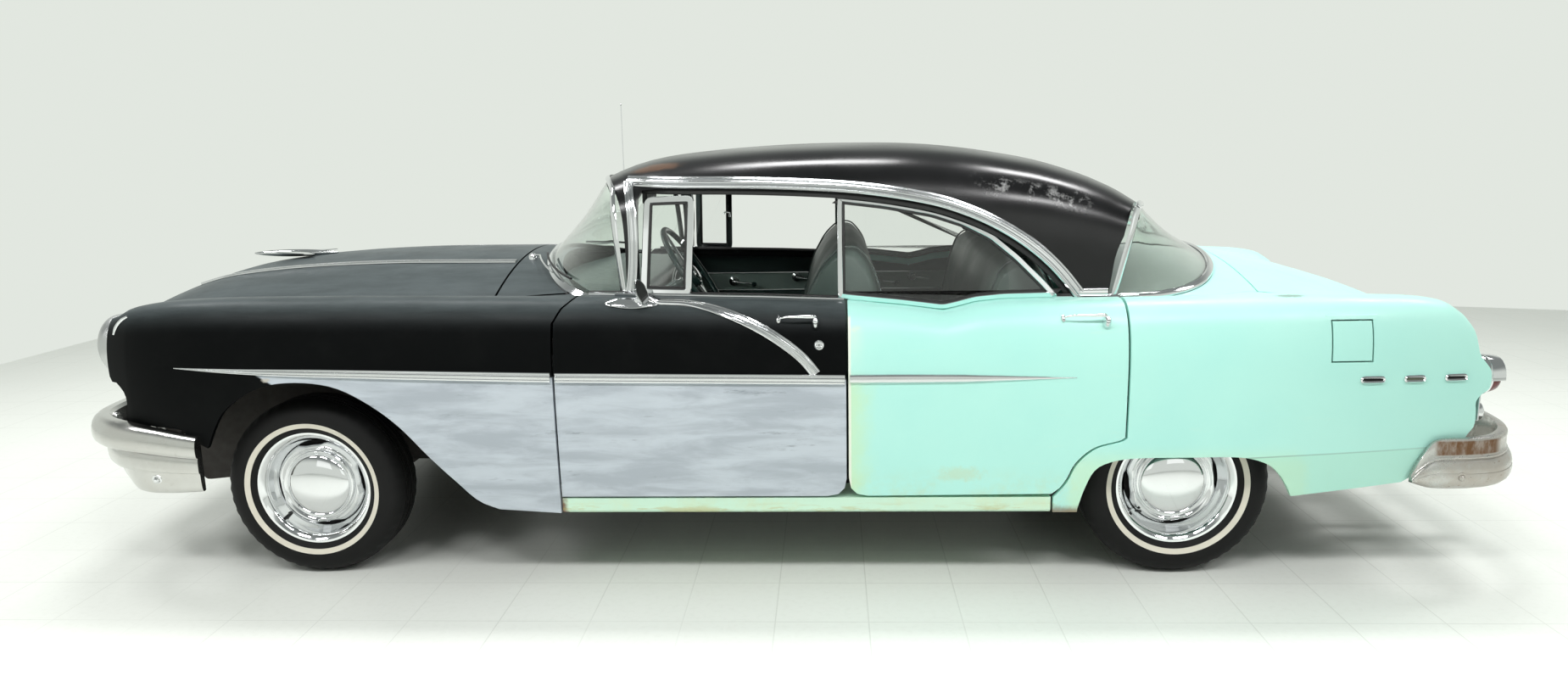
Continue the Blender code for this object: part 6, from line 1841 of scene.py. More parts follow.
def screen_bright_work():
    for word, foot, edge, run in (("front", screen_foot, 0, -0.515), ("rear", backlight_foot, 1, 1.035)):
        feet, heads = screen_edge(foot, edge, 0.002)
        lead = []
        for t in (0.0, 0.35, 0.7):
            x = run + (feet[0].x - run) * t
            y = -(GLASS_HALF_WIDTH + 0.001)
            lead.append(Vector((x, y, deck_z(x, y) + 0.006)))
        path = lead + feet + [Vector((p.x, -p.y, p.z)) for p in reversed(lead)]
        outs = wrap_outs(path, 0.55, 0.85)
        strip = moulding("foot", path, outs, 0.030, 0.011, LEDGE if edge == 0 else HALF_ROUND, chrome)
        dress(strip, "screen_foot_moulding_" + word, BODY)
        base = [p - o * 0.004 for p, o in zip(path, outs)]
        seal = moulding("seal", base, outs, 0.042, 0.005, HALF_ROUND, black_rubber)
        dress(seal, "screen_seal_" + word, BODY)

        head = [p + Vector((0.004 * (1 if edge else -1), 0, 0.001)) for p in heads]
        outs = [Vector((0.55 if edge else -0.75, p.y * 0.35, 0.75)).normalized() for p in head]
        strip = moulding("head", head, outs, 0.020, 0.007, HALF_ROUND, chrome)
        dress(strip, "screen_head_moulding_" + word, BODY)

        low, high = feet[0], heads[0]
        edge_path = []
        for k in range(25):
            v = k / 24
            x = low.x + (high.x - low.x) * v
            z = low.z + (high.z - low.z) * v
            y = -(roof_half_width(z, SCREEN_TOP) - WINDOW_GAP)
            edge_path.append(Vector((x, y, z)))
        out = Vector((0.45 if edge else -0.65, -0.8, 0.15)).normalized()
        strip = moulding("post", edge_path, out, 0.026, 0.008, HALF_ROUND, chrome)
        both(strip, "screen_post_moulding_" + word, SIDES)


def roof_side(x, z):
    return -roof_half_width(z, roof_top(x))


DRIP_LINE = (
    (-0.520, 1.409), (-0.430, 1.407), (-0.340, 1.404), (-0.190, 1.402), (-0.042, 1.398), (0.110, 1.391),
    (0.255, 1.381), (0.380, 1.366), (0.491, 1.347), (0.570, 1.329), (0.638, 1.307), (0.715, 1.276),
    (0.787, 1.239), (0.865, 1.189), (0.937, 1.131), (0.990, 1.077), (1.029, 1.029), (1.048, 1.005),
)


PILLAR_LINE = (
    (-0.523, 1.412), (-0.509, 1.36), (-0.500, 1.30), (-0.496, 1.22), (-0.498, 1.14), (-0.505, 1.07),
    (-0.513, 1.025),
)


def drip_bright_work():
    path = smooth_path([(x, roof_side(x, z), z) for x, z in DRIP_LINE], 70)
    outs = [Vector((0.0, -1.0, 0.28)).normalized() for _ in path]
    strip = moulding("drip", path, outs, 0.044, 0.015, TRIPLE, trim_chrome)
    both(strip, "drip_moulding", SIDES)
    lower = []
    for i, p in enumerate(path):
        along = (path[min(i + 1, 69)] - path[max(i - 1, 0)]).normalized()
        down = Vector((0, -1, 0)).cross(along).normalized()
        if down.z > 0:
            down = -down
        lower.append(p + Vector((0, 0.004, 0)) + down * 0.030)
    seal = moulding("seal", lower, outs, 0.022, 0.006, HALF_ROUND, black_rubber)
    both(seal, "door_top_seal", SIDES)

    path = smooth_path([(x, roof_side(x, z), z) for x, z in PILLAR_LINE], 30)
    strip = moulding(
        "pillar", path, Vector((-0.18, -1, 0.05)).normalized(), 0.036, 0.010, TRIPLE, trim_chrome,
    )
    both(strip, "pillar_moulding", SIDES)


def tail_foot_bright_work():
    spots = [(1.040, 0.003), (1.10, 0.002), (1.17, 0.001), (1.25, 0.0)]
    path = []
    for x, out in spots:
        y = -(GLASS_HALF_WIDTH + 0.006 + out)
        path.append(Vector((x, y, deck_z(x, y) + 0.005)))
    outs = [Vector((0, -0.6, 0.8)).normalized() for _ in path]
    strip = moulding("foot", smooth_path(path, 20), outs[0], 0.026, 0.010, HALF_ROUND, chrome)
    both(strip, "pillar_foot_moulding", SIDES)
    skin = REFERENCE["roof"]
    path, outs = [], []
    for k in range(25):
        t = k / 24
        x, z = 1.036 + 0.146 * t, 1.007
        hit, normal, _, _ = skin[0].ray_cast(Vector((x, -2.0, z)), Vector((0, 1, 0)))
        if hit is not None and hit.y < 0:
            path.append(hit + Vector((0, -0.001, 0)))
            outs.append(normal if normal.y < 0 else -normal)
    band = moulding("band", path, outs, 0.034, 0.007, HALF_ROUND, chrome)
    both(band, "pillar_foot_band", SIDES)


def door_bright_work():
    spear_z = (
        (-2.111, 0.798), (-2.085, 0.797), (-2.04, 0.795), (-1.95, 0.791), (-1.802, 0.786),
        (-1.503, 0.780), (-1.207, 0.773), (-0.912, 0.767), (-0.768, 0.764),
    )
    wide = [0.003, 0.015, 0.024, 0.029, 0.031, 0.033, 0.034, 0.035, 0.035]
    strip = side_strip("spear", spear_z, wide, 0.011, TRIPLE, trim_chrome, count=60)
    both(strip, "wing_spear", SIDES)
    strip = side_strip(
        "spear",
        ((-0.751, 0.763), (-0.25, 0.756), (0.236, 0.749)),
        [0.035] * 3,
        0.011,
        TRIPLE,
        trim_chrome,
        True,
    )
    both(strip, "front_door_spear", FRONT_DOORS)
    rear = ((0.253, 0.750), (0.40, 0.750), (0.673, 0.749), (0.88, 0.749), (1.010, 0.749))
    strip = side_strip(
        "spear", rear, [0.031, 0.031, 0.028, 0.015, 0.002], 0.010, HALF_ROUND, trim_chrome, True, 50,
    )
    both(strip, "rear_door_spear", REAR_DOORS)
    sweep = (
        (-0.400, 1.008), (-0.300, 1.001), (-0.210, 0.984), (-0.118, 0.954), (-0.035, 0.915), (0.042, 0.866),
        (0.097, 0.820), (0.138, 0.769),
    )
    path = smooth_path([(x, 0, z) for x, z in sweep], 50)
    pairs = [on_side(p.x, min(p.z, belt_z(p.x) - 0.012), True) for p in path]
    lead = []
    for x in (-0.56, -0.50, -0.45):
        y = -(SILL_INNER_Y + 0.030)
        lead.append((Vector((x, y, surface_z(x, -y, True) + 0.001)), Vector((0, -0.45, 0.9)).normalized()))
    pairs = lead + pairs
    widths = [0.004, 0.012, 0.020] + [0.028 + 0.009 * min(k / 20, 1) for k in range(50)]
    strip = moulding(
        "sweep", [p for p, _ in pairs], [n for _, n in pairs], widths, 0.010, TRIPLE, trim_chrome,
    )
    both(strip, "door_sweep", FRONT_DOORS)


def belt_strips():
    for name, low, high, bodies in (
        ("front", -0.655, 0.236, FRONT_DOORS), ("rear", 0.252, 1.02, REAR_DOORS),
    ):
        path = []
        for k in range(70):
            x = low + (high - low) * k / 69
            y = SILL_INNER_Y + 0.013
            path.append(Vector((x, -y, surface_z(x, y, True) + 0.002)))
        wide, high = (0.016, 0.008) if name == "front" else (0.007, 0.005)
        strip = moulding("belt", path, Vector((0, -0.5, 0.86)).normalized(), wide, high, HALF_ROUND, chrome)
        both(strip, "belt_strip_" + name, bodies)
        inner = [Vector((p.x, p.y + 0.022, p.z + 0.001)) for p in path]
        seal = moulding("wiper", inner, UP, 0.014, 0.010, HALF_ROUND, black_rubber)
        both(seal, "window_wiper_" + name, bodies)


def side_windows():
    for name, table, bodies, radius, width, node_name in (
        ("vent", VENT_SHARES, FRONT_DOORS, 0.030, 0.021, "vent_window"),
        ("rear_door", REAR_GLASS_SHARES, REAR_DOORS, 0.018, 0.017, "rear_door_window"),
    ):
        outer = inset(softened(side(table), radius), 0.001)
        frame_part = lean(frame_ring("frame", outer, width, -FRAME_DEPTH - 0.004, 0.004, chrome))
        gum_line = inset(outer, width - 0.002)
        gum = lean(frame_ring("gum", gum_line, 0.011, -FRAME_DEPTH - 0.0005, 0.001, black_rubber))
        pane = lean(prism("pane", inset(outer, 0.022), -0.0085, -0.0035, side_glass))
        if name == "rear_door":
            frame_part.data.materials.append(mint_paint)
            for face in frame_part.data.polygons:
                at = face.center
                if at.z < surface_z(at.x, SILL_INNER_Y + 0.013, True) + 0.016:
                    face.material_index = 1
        both(frame_part, name + "_frame", bodies, ((node_name + "_left",), (node_name + "_right",)))
        both(gum, name + "_rubber", bodies)
        for piece in both(pane, name + "_glass", bodies):
            piece.visible_shadow = False
    latch = [(-0.300, 1.180), (-0.302, 1.20), (-0.325, 1.205), (-0.33, 1.195)]
    bar = tube("latch", [(x, 0.010, z) for x, z in latch], 0.005, 10, chrome)
    both(lean(bar), "vent_latch", FRONT_DOORS)


HANDS = ((-1, "left"), (1, "right"))
HANDLE_HOUSE = ((0, -0.004), (0.021, -0.004), (0.022, 0.006), (0.018, 0.020), (0.012, 0.030), (0, 0.032))
HANDLE_BUTTON = ((0, 0.012), (0.0085, 0.012), (0.0085, 0.027), (0.006, 0.030), (0, 0.031))
HANDLE_FOOT = ((0, -0.003), (0.009, -0.003), (0.008, 0.006), (0.004, 0.010), (0, 0.011))
LOCK = (
    (0, -0.003), (0.0165, -0.003), (0.0165, 0.002), (0.0135, 0.005), (0.010, 0.0055), (0.0085, 0.003),
    (0, 0.003),
)
KEY_SLOT = ((0, 0.002), (0.0035, 0.002), (0.003, 0.0045), (0, 0.0045))


def facing(direction, up="X"):
    """The turn that points Z along a direction."""
    return direction.to_track_quat("Z", up).to_matrix().to_4x4()


def circle(count):
    """The cosine and sine of count even steps round a circle."""
    return [(math.cos(a), math.sin(a)) for a in (2 * math.pi * k / count for k in range(count))]


def turned_at(shape, count, finish, where, axis="Z"):
    """A turned piece made about its own axis, then moved by where."""
    made = turned("turned", shape, (0, 0, 0), count, finish, axis)
    made.data.transform(where)
    return made


def handle(name, x0, x1, z, bodies):
    """A thin fixed lever with a round push button at its rear end."""
    rings = []
    for k in range(24):
        t = k / 23
        p, n = on_side(x0 + (x1 - x0) * t, z, True)
        rise = 0.004 + 0.026 * min(1, 4 * t) ** 0.5 * (1 - max(0, (t - 0.9) / 0.1) * 0.6)
        size = 0.0022 + 0.0046 * t
        rings.append([p + n * rise + Vector((0, c * size * 0.7, s * size)) for c, s in circle(12)])
    centre, n = on_side(x1 - 0.004, z - 0.011, True)
    turn = Matrix.Translation(centre) @ facing(n)
    base, out = on_side(x0 + 0.004, z, True)
    foot_turn = Matrix.Translation(base) @ facing(out) @ Matrix.Diagonal((1.6, 0.9, 1, 1))
    house_turn = turn @ Matrix.Diagonal((1.05, 0.68, 0.8, 1))
    pieces = {
        "lever": loft("lever", rings, chrome),
        "house": turned_at(HANDLE_HOUSE, 28, chrome, house_turn),
        "button": turned_at(HANDLE_BUTTON, 20, trim_chrome, turn),
        "foot": turned_at(HANDLE_FOOT, 16, chrome, foot_turn),
    }
    for word, piece in pieces.items():
        both(piece, name + "_" + word, bodies)


def door_fittings():
    handle("front_handle", 0.010, 0.142, 0.948, FRONT_DOORS)
    handle("rear_handle", 0.962, 1.112, 0.942, REAR_DOORS)
    centre, n = on_side(0.150, 0.866, True)
    turn = Matrix.Translation(centre) @ facing(n)
    both(turned_at(LOCK, 24, chrome, turn), "door_lock", FRONT_DOORS)
    slot_turn = turn @ Matrix.Diagonal((0.5, 1.3, 1, 1))
    # the near-black key slot is painted shade in the keyhole
    both(turned_at(KEY_SLOT, 12, recess_shade, slot_turn), "key_slot", FRONT_DOORS)


MIRROR_CUP = (
    (0, -0.48), (0.30, -0.45), (0.58, -0.36), (0.82, -0.20), (0.96, -0.02), (1, 0.10), (0.985, 0.17),
    (0.93, 0.19), (0.90, 0.16), (0, 0.16),
)
MIRROR_FACE = ((0, 0.162), (0.88, 0.162), (0.88, 0.172), (0, 0.175))


def mirror_piece():
    rings = []
    for t, w in [smooth_row(MIRROR_BASE_SHARES, -0.5 + k / 20) for k in range(21)]:
        x = MIRROR_X + t * MIRROR_LENGTH
        half = max(w * 0.55, 0.010) * MIRROR_LENGTH
        ring = []
        for c, s in circle(20):
            y = MIRROR_Y + half * c
            rise = MIRROR_RISE * (1 + s) / 2 * min(1.0, 3.5 * (0.5 - abs(t)) + 0.25)
            ring.append((x, -y, surface_z(x, y, True) + 0.0012 + rise))
        rings.append(ring)
    base = loft("base", rings, chrome)
    head = Vector(place(MIRROR_HEAD_SHARES[0]))
    turn = Matrix.Translation(head) @ Matrix.Rotation(math.radians(-12), 4, "Z")
    turn = turn @ Matrix.Rotation(math.radians(-20), 4, "Y") @ Matrix.Diagonal((0.55, 1.08, 1.08, 1))
    cup = turned_at(scaled(MIRROR_CUP, MIRROR_HEAD_RADIUS), 40, chrome, turn, "X")
    face = turned_at(scaled(MIRROR_FACE, MIRROR_HEAD_RADIUS), 40, mirror_face, turn, "X")
    foot = Vector((MIRROR_X + 0.02, -MIRROR_Y, surface_z(MIRROR_X, MIRROR_Y, True) + MIRROR_RISE * 0.8))
    neck = head + Vector((-0.008, 0, -0.006))
    line = [foot, foot.lerp(neck, 0.35) + Vector((0.004, 0, 0.002)), foot.lerp(neck, 0.7), neck]
    stalk = tube("stalk", line, 0.0085, 16, chrome)
    dress(base, "mirror_base", FRONT_DOORS[0], ("door_mirror",))
    dress(cup, "mirror_cup", FRONT_DOORS[0])
    dress(face, "mirror_face", FRONT_DOORS[0])
    dress(stalk, "mirror_stalk", FRONT_DOORS[0])


# Lamps, grille and bumpers
HEADLAMP_BEZEL = (
    (1.0, 0.12), (1.0, 0.0), (0.995, -0.14), (0.975, -0.27), (0.94, -0.36), (0.89, -0.42), (0.83, -0.44),
    (0.79, -0.42), (0.765, -0.37), (0.75, -0.30), (0.75, 0.12),
)
HEADLAMP_BULB = ((0, -0.30), (0.09, -0.27), (0.12, -0.20), (0.10, -0.08), (0, -0.04))
BROW_LINE = ((-2.366, 0.905), (-2.360, 0.925), (-2.350, 0.942), (-2.334, 0.957), (-2.312, 0.968))


def front_lamps():
    steps = [k / 12 for k in range(13)]
    lens = [(0.76 * t, -0.54 + 0.20 * t**2) for t in steps] + [(0.76, -0.30)]
    lens += [(0.76 * t, -0.49 + 0.19 * t**2) for t in reversed(steps[:-1])]
    turns = [math.pi / 2 * k / 10 for k in range(1, 10)]
    bowl = [(0.75, -0.28)] + [(0.75 * math.cos(a), -0.28 + 0.30 * math.sin(a)) for a in turns]
    bowl += [(0, 0.02), (0, 0.05), (0.76, 0.05), (0.76, -0.28)]
    centre = (NOSE_X - SEAT_GAP, -HEADLAMP_Y, HEADLAMP_Z)
    bezel = turned("bezel", scaled(HEADLAMP_BEZEL, HEADLAMP_RADIUS), centre, 64, satin_metal, "X")
    dish = turned("dish", scaled(bowl, HEADLAMP_RADIUS), centre, 48, chrome, "X")
    cover = turned("cover", scaled(lens, HEADLAMP_RADIUS), centre, 48, lamp_glass, "X")
    bulb = turned("bulb", scaled(HEADLAMP_BULB, HEADLAMP_RADIUS), centre, 20, trim_chrome, "X")
    both(bezel, "headlamp_bezel", SIDES, (("headlamp_left",), ("headlamp_right",)))
    both(dish, "headlamp_dish", SIDES)
    for piece in both(cover, "headlamp_cover", SIDES):
        piece.visible_shadow = False
    both(bulb, "headlamp_bulb", SIDES)
    widths = [0.007, 0.011, 0.011, 0.011, 0.008]
    strip = side_strip("brow", BROW_LINE, widths, 0.006, HALF_ROUND, chrome, count=24)
    both(strip, "headlamp_brow", SIDES)


TAIL_LAMP_BEZEL = (
    (0.62, 0.0), (1.0, 0.0), (1.02, 0.10), (1.01, 0.24), (0.985, 0.36), (0.95, 0.42), (0.90, 0.43),
    (0.62, 0.40),
)
TAIL_LAMP_LENS = (
    (0, 1.02), (0.20, 1.015), (0.40, 1.0), (0.58, 0.97), (0.72, 0.92), (0.80, 0.85), (0.85, 0.74),
    (0.90, 0.56), (0.92, 0.40), (0.92, 0.30), (0, 0.30),
)
REVERSING_RIM = (
    (0.6, 0.05), (1, 0.05), (1.05, 0.30), (1.03, 0.62), (0.95, 0.84), (0.86, 0.90), (0.78, 0.84),
    (0.6, 0.72),
)
REVERSING_LENS = ((0, 1.30), (0.3, 1.26), (0.55, 1.14), (0.72, 0.98), (0.80, 0.84), (0.80, 0.5), (0, 0.5))


def lamp_visor(start):
    """The hood over the tail lamp, open below."""
    turns = [math.radians(-8 + 196 * k / 12) for k in range(13)]
    rings = []
    for t in (0.0, 0.25, 0.5, 0.75, 1.0):
        x = start + TAIL_LAMP_RADIUS * (0.35 + 0.66 * t)
        r = TAIL_LAMP_RADIUS * (1.0 - 0.08 * t**2)
        ring = []
        for radius, order in ((r, turns), (r - 0.005, reversed(turns))):
            for a in order:
                ring.append((x, -TAIL_LAMP_Y + math.cos(a) * radius, TAIL_LAMP_Z + math.sin(a) * radius))
        rings.append(ring)
    return loft("visor", rings, chrome)


def tail_lamps():
    start = TAIL_X + SEAT_GAP
    plate = block("plate", LAMP_PLATE_SHARES, chrome, True)
    rounded_edges(plate, 0.004, 2)
    both(plate, "tail_lamp_plate", SIDES, (("tail_lamp_left",), ("tail_lamp_right",)))
    upper, lower = (start, -TAIL_LAMP_Y, TAIL_LAMP_Z), (start, -TAIL_LAMP_Y, REVERSING_LAMP_Z)
    bezel = turned("bezel", scaled(TAIL_LAMP_BEZEL, TAIL_LAMP_RADIUS), upper, 56, chrome, "X")
    cover = turned("cover", scaled(TAIL_LAMP_LENS, TAIL_LAMP_RADIUS), upper, 48, red_lens, "X")
    visor = lamp_visor(start)
    rim = turned("rim", scaled(REVERSING_RIM, REVERSING_LAMP_RADIUS), lower, 40, chrome, "X")
    clear = turned("clear", scaled(REVERSING_LENS, REVERSING_LAMP_RADIUS), lower, 36, clear_lens, "X")
    both(bezel, "tail_lamp_bezel", SIDES)
    both(cover, "tail_lamp_lens", SIDES)
    both(visor, "tail_lamp_visor", SIDES)
    both(rim, "reversing_lamp_rim", SIDES)
    both(clear, "reversing_lamp_lens", SIDES)


DASHES = ((1.941, 2.024), (2.087, 2.161), (2.226, 2.305))
DASH_HEIGHT, DASH_HALF = 0.731, 0.0125


def wing_dashes():
    for k, (x0, x1) in enumerate(DASHES):
        centre_x, half = (x0 + x1) / 2, (x1 - x0) / 2
        outline = []
        for c, s in circle(28):
            x = centre_x + math.copysign(abs(c) ** 0.35, c) * half
            outline.append((x, DASH_HEIGHT + math.copysign(abs(s) ** 0.8, s) * DASH_HALF))
        inner = inset(outline, 0.0082)
        rings, faces, backs = [], [], []
        for (x, z), (u, v) in zip(outline, inner):
            p, n = on_side(x, z)
            q, m = on_side(u, v)
            mid = p.lerp(q, 0.45)
            rings.append([p - n * 0.002, p + n * 0.005, mid + n * 0.0090, q + m * 0.005, q - m * 0.002])
            faces.append(tuple(q + m * 0.0022))
            backs.append(tuple(q - m * 0.002))
        both(loft("rim", rings, chrome, closed=True), "wing_dash_%d" % (k + 1), SIDES)
        # the first and third dashes get a near-black plate inside the rim: painted shade in the recess
        dark = loft("dark", [backs, faces], olive_paint if k == 1 else recess_shade)
        both(dark, "wing_dash_recess_%d" % (k + 1), SIDES)


FRONT_SECTION = (
    (-0.2, 0.015, 0.090), (0.15, 0.0, 0.100), (0.34, 0.020, 0.100), (0.46, 0.080, 0.096),
    (0.52, 0.16, 0.088), (0.55, 0.25, 0.080), (0.57, 0.325, 0.074), (0.60, 0.340, 0.066),
    (0.72, 0.350, 0.058), (0.76, 0.370, 0.054), (0.77, 0.42, 0.050), (0.77, 0.50, 0.048),
    (0.75, 0.575, 0.046), (0.70, 0.600, 0.046), (0.66, 0.612, 0.040), (0.68, 0.622, 0.030),
    (0.84, 0.632, 0.018), (0.94, 0.66, 0.014), (1.0, 0.71, 0.013), (1.02, 0.77, 0.013),
    (0.99, 0.84, 0.013), (0.91, 0.90, 0.013), (0.76, 0.955, 0.013), (0.55, 0.99, 0.013),
    (0.30, 1.0, 0.013), (-0.1, 1.0, 0.013), (-0.2, 0.96, 0.020),
)
REAR_SECTION = (
    (0, 0.01), (0.22, 0.0), (0.45, 0.02), (0.68, 0.055), (0.86, 0.11), (0.97, 0.19), (1.0, 0.27),
    (0.985, 0.33), (0.95, 0.335), (0.95, 0.35), (0.96, 0.40), (0.92, 0.46), (0.86, 0.51), (0.78, 0.555),
    (0.72, 0.575), (0.62, 0.582), (0.60, 0.592), (0.66, 0.605), (0.66, 0.63), (0.61, 0.645), (0.58, 0.66),
    (0.56, 0.75), (0.54, 0.84), (0.55, 0.87), (0.57, 0.90), (0.55, 0.95), (0.47, 0.985), (0.32, 1.0),
    (0.12, 1.0), (0, 0.99),
)
BULLET = (
    (0, -1.28), (0.12, -1.275), (0.26, -1.25), (0.40, -1.20), (0.55, -1.11), (0.70, -0.97), (0.82, -0.80),
    (0.91, -0.60), (0.97, -0.35), (1, -0.08), (1, 0.30), (0.96, 0.55), (0, 0.55),
)
BOLT = ((0, 0.012), (0.006, 0.011), (0.0105, 0.007), (0.0125, 0.0), (0.0125, -0.006), (0, -0.006))
WASHER = ((0.012, -0.004), (0.019, -0.004), (0.018, 0.001), (0.012, 0.002))

BUMPER_STEPS = 7


def between_rows(p0, p1, p2, p3, t):
    """The row a share t of the way from p1 to p2, on a smooth curve through all four."""
    row = []
    for a, b, c, d in zip(p0, p1, p2, p3):
        curve = (2 * a - 5 * b + 4 * c - d) * t * t + (3 * b - a - 3 * c + d) * t**3
        row.append(0.5 * (2 * b + (c - a) * t + curve))
    return row


def fine_bumper(name, table, section, finish, brackets):
    """The bumper with a smooth plan curve and section."""
    left = [(x * HALF_LENGTH, -y * HALF_WIDTH, b, t * HEIGHT, f * HEIGHT) for x, y, b, t, f in table]
    path = left + [(x, -y, b, t, f) for x, y, b, t, f in reversed(left)]
    last = len(path) - 1
    made = []
    for i in range(last):
        four = (path[max(i - 1, 0)], path[i], path[i + 1], path[min(i + 2, last)])
        made += [between_rows(*four, k / BUMPER_STEPS) for k in range(BUMPER_STEPS)]
    made.append(list(path[-1]))
    rings = []
    for i, (x, y, bulge, top, bottom) in enumerate(made):
        before, after = made[max(i - 1, 0)], made[min(i + 1, len(made) - 1)]
        run = Vector((after[0] - before[0], after[1] - before[1], 0)).normalized()
        out = Vector((-run.y, run.x, 0))
        if out.x * x < 0 or (out.y * y < 0 and abs(out.y) > abs(out.x)):
            out = -out
        ring = []
        for o, h, *back in section:
            at = Vector((x, y, bottom + (top - bottom) * h)) + out * o * bulge * BUMPER_BULGE
            if back:
                at.x -= math.copysign(back[0] * min(max((abs(x) - 2.10) / 0.36, 0), 1) ** 1.3, x)
            ring.append(at)
        rings.append(ring)
    bumper = loft(name, rings, finish)
    combine(bumper, [block("bracket", brackets, finish, mirror) for mirror in (False, True)], "UNION")
    return bumper


def bumpers():
    near, far = FRONT_BRACKET_SHARES
    brackets = ((near[0] * 0.972, *near[1:]), far)
    front = fine_bumper("front_bumper_bar", FRONT_BUMPER_SHARES, FRONT_SECTION, bumper_chrome, brackets)
    dress(front, "front_bumper_bar", BODY, ("front_bumper",))
    tip = HALF_LENGTH - 1.28 * BOMB_RADIUS
    for hand, word in HANDS:
        place_at = (-tip, hand * BOMB_Y, BOMB_Z)
        bullet = turned("bullet", scaled(BULLET, BOMB_RADIUS), place_at, 48, chrome, "X")
        dress(bullet, "front_bumper_bullet_" + word, BODY)
    rear = fine_bumper(
        "rear_bumper_bar", REAR_BUMPER_SHARES, REAR_SECTION, worn_chrome, REAR_BRACKET_SHARES,
    )
    dress(rear, "rear_bumper_bar", BODY, ("rear_bumper",))
    bumper_bolts()


def bumper_bolts():
    for word, table, x, z, out, finish in (
        ("front", FRONT_BUMPER_SHARES, -2.215, 0.395, 0.50, chrome),
        ("rear", REAR_BUMPER_SHARES, 2.30, 0.392, 0.90, worn_chrome),
    ):
        rows = sorted((abs(r[0]) * HALF_LENGTH, r[1] * HALF_WIDTH, r[2]) for r in table)
        at = smooth_row(rows, abs(x))
        turn = Matrix.Translation((x, -(at[1] + at[2] * BUMPER_BULGE * out), z))
        turn = turn @ facing(Vector((0.05 if x > 0 else -0.05, -1, -0.15)))
        for shape, label in ((BOLT, "bolt"), (WASHER, "washer")):
            both(turned_at(shape, 24, finish, turn), "%s_bumper_%s" % (word, label), SIDES)
    for word, way, y, z, out in (("front", -1, 0.21, 0.38, 0.55), ("rear", 1, 0.42, 0.38, 0.98)):
        for hand, hand_word in HANDS:
            turn = Matrix.Translation((way * (HALF_LENGTH * 0.9785 + BUMPER_BULGE * out), hand * y, z))
            piece = turned_at(BOLT, 20, chrome, turn @ facing(Vector((way, 0, -0.3)), "Y"))
            dress(piece, "%s_face_bolt_%s" % (word, hand_word), BODY)


def grille_piece():
    grille = block("grille", GRILLE_RIM_SHARES, chrome)
    combine(grille, [block("hole", GRILLE_HOLE_SHARES, chrome)], "DIFFERENCE")
    bars = GRILLE_BAR_SHARES
    pieces = [block("bar", bars[k : k + 2], chrome) for k in range(0, len(bars), 2)]
    combine(grille, pieces, "UNION")
    dress(rounded_edges(grille, 0.0035, 2), "grille_bars", BODY, ("grille",))
    (x0, half, bottom), (x1, _, _) = (place(c) for c in NOSE_PANEL_SHARES)
    panel = cross_plate("nose", x0, x1, half, bottom, 2 * SHEET + DOOR_GAP, black_paint)
    combine(panel, [block("opening", NOSE_OPENING_SHARES, black_paint)], "DIFFERENCE")
    dress(rounded_edges(panel, 0.003, 2), "nose_plate", BODY, ("nose_panel",))


DART_WING_NOSE, DART_WING_TAIL = (-0.8467, -0.7739), (-0.7778, -0.7548)


def hood_bright_work():
    for hand, word in HANDS:
        path = []
        for k in range(60):
            t = k / 59
            x = -2.36 + (-1.052 + 2.36) * t
            y = hand * (0.285 + 0.03 * t)
            path.append(Vector((x, y, deck_z(x, y) + 0.001)))
        widths = [0.010 + 0.022 * min(1, 6 * k / 59) for k in range(60)]
        outs = Vector((0, hand * 0.12, 1)).normalized()
        strip = moulding("strip", path, outs, widths, 0.008, TRIPLE, trim_chrome)
        dress(strip, "hood_strip_" + word, HOOD_BODY)
    start, end = ORNAMENT_SHARES[0][0], ORNAMENT_SHARES[-1][0]
    rings = []
    for x, half, rise in [smooth_row(ORNAMENT_SHARES, start + (end - start) * k / 28) for k in range(29)]:
        ring = []
        for c, s in circle(24):
            ring.append((x * HALF_LENGTH, half * HALF_WIDTH * c, ORNAMENT_Z + rise * HEIGHT * s))
        rings.append(ring)
    dress(loft("dart", rings, chrome), "hood_dart", HOOD_BODY, ("hood_ornament",))
    for hand, word in HANDS:
        rings = []
        for k in range(13):
            t = k / 12
            y = hand * HALF_WIDTH * (0.012 + 0.098 * t)
            nose = HALF_LENGTH * (DART_WING_NOSE[0] + (DART_WING_NOSE[1] - DART_WING_NOSE[0]) * t**1.3)
            tail = HALF_LENGTH * (DART_WING_TAIL[0] + (DART_WING_TAIL[1] - DART_WING_TAIL[0]) * t)
            middle, thick, z = (nose + tail) / 2, 0.0055 * (1 - 0.6 * t), ORNAMENT_Z + 0.004
            rings.append([(middle + c * (tail - nose) / 2, y, z + s * thick) for c, s in circle(14)])
        dress(loft("wing", rings, chrome), "hood_dart_wing_" + word, HOOD_BODY)


AERIAL = (
    (0, 0), (1, 0), (1.02, 0.004), (0.96, 0.012), (0.80, 0.024), (0.55, 0.040), (0.42, 0.052),
    (0.30, 0.060), (0.17, 0.066), (0.17, 0.30), (0.13, 0.305), (0.13, 0.60), (0.10, 0.605),
    (0.10, 0.985), (0.16, 0.988), (0.18, 0.994), (0.10, 1.0), (0, 1),
)
WIPER_PIVOT = ((0, -0.006), (0.017, -0.006), (0.016, 0.008), (0.010, 0.018), (0, 0.021))
PIVOT_Y = 0.27


def screen_foot_x(y):
    return screen_foot(y / (GLASS_HALF_WIDTH - WINDOW_GAP))[0]


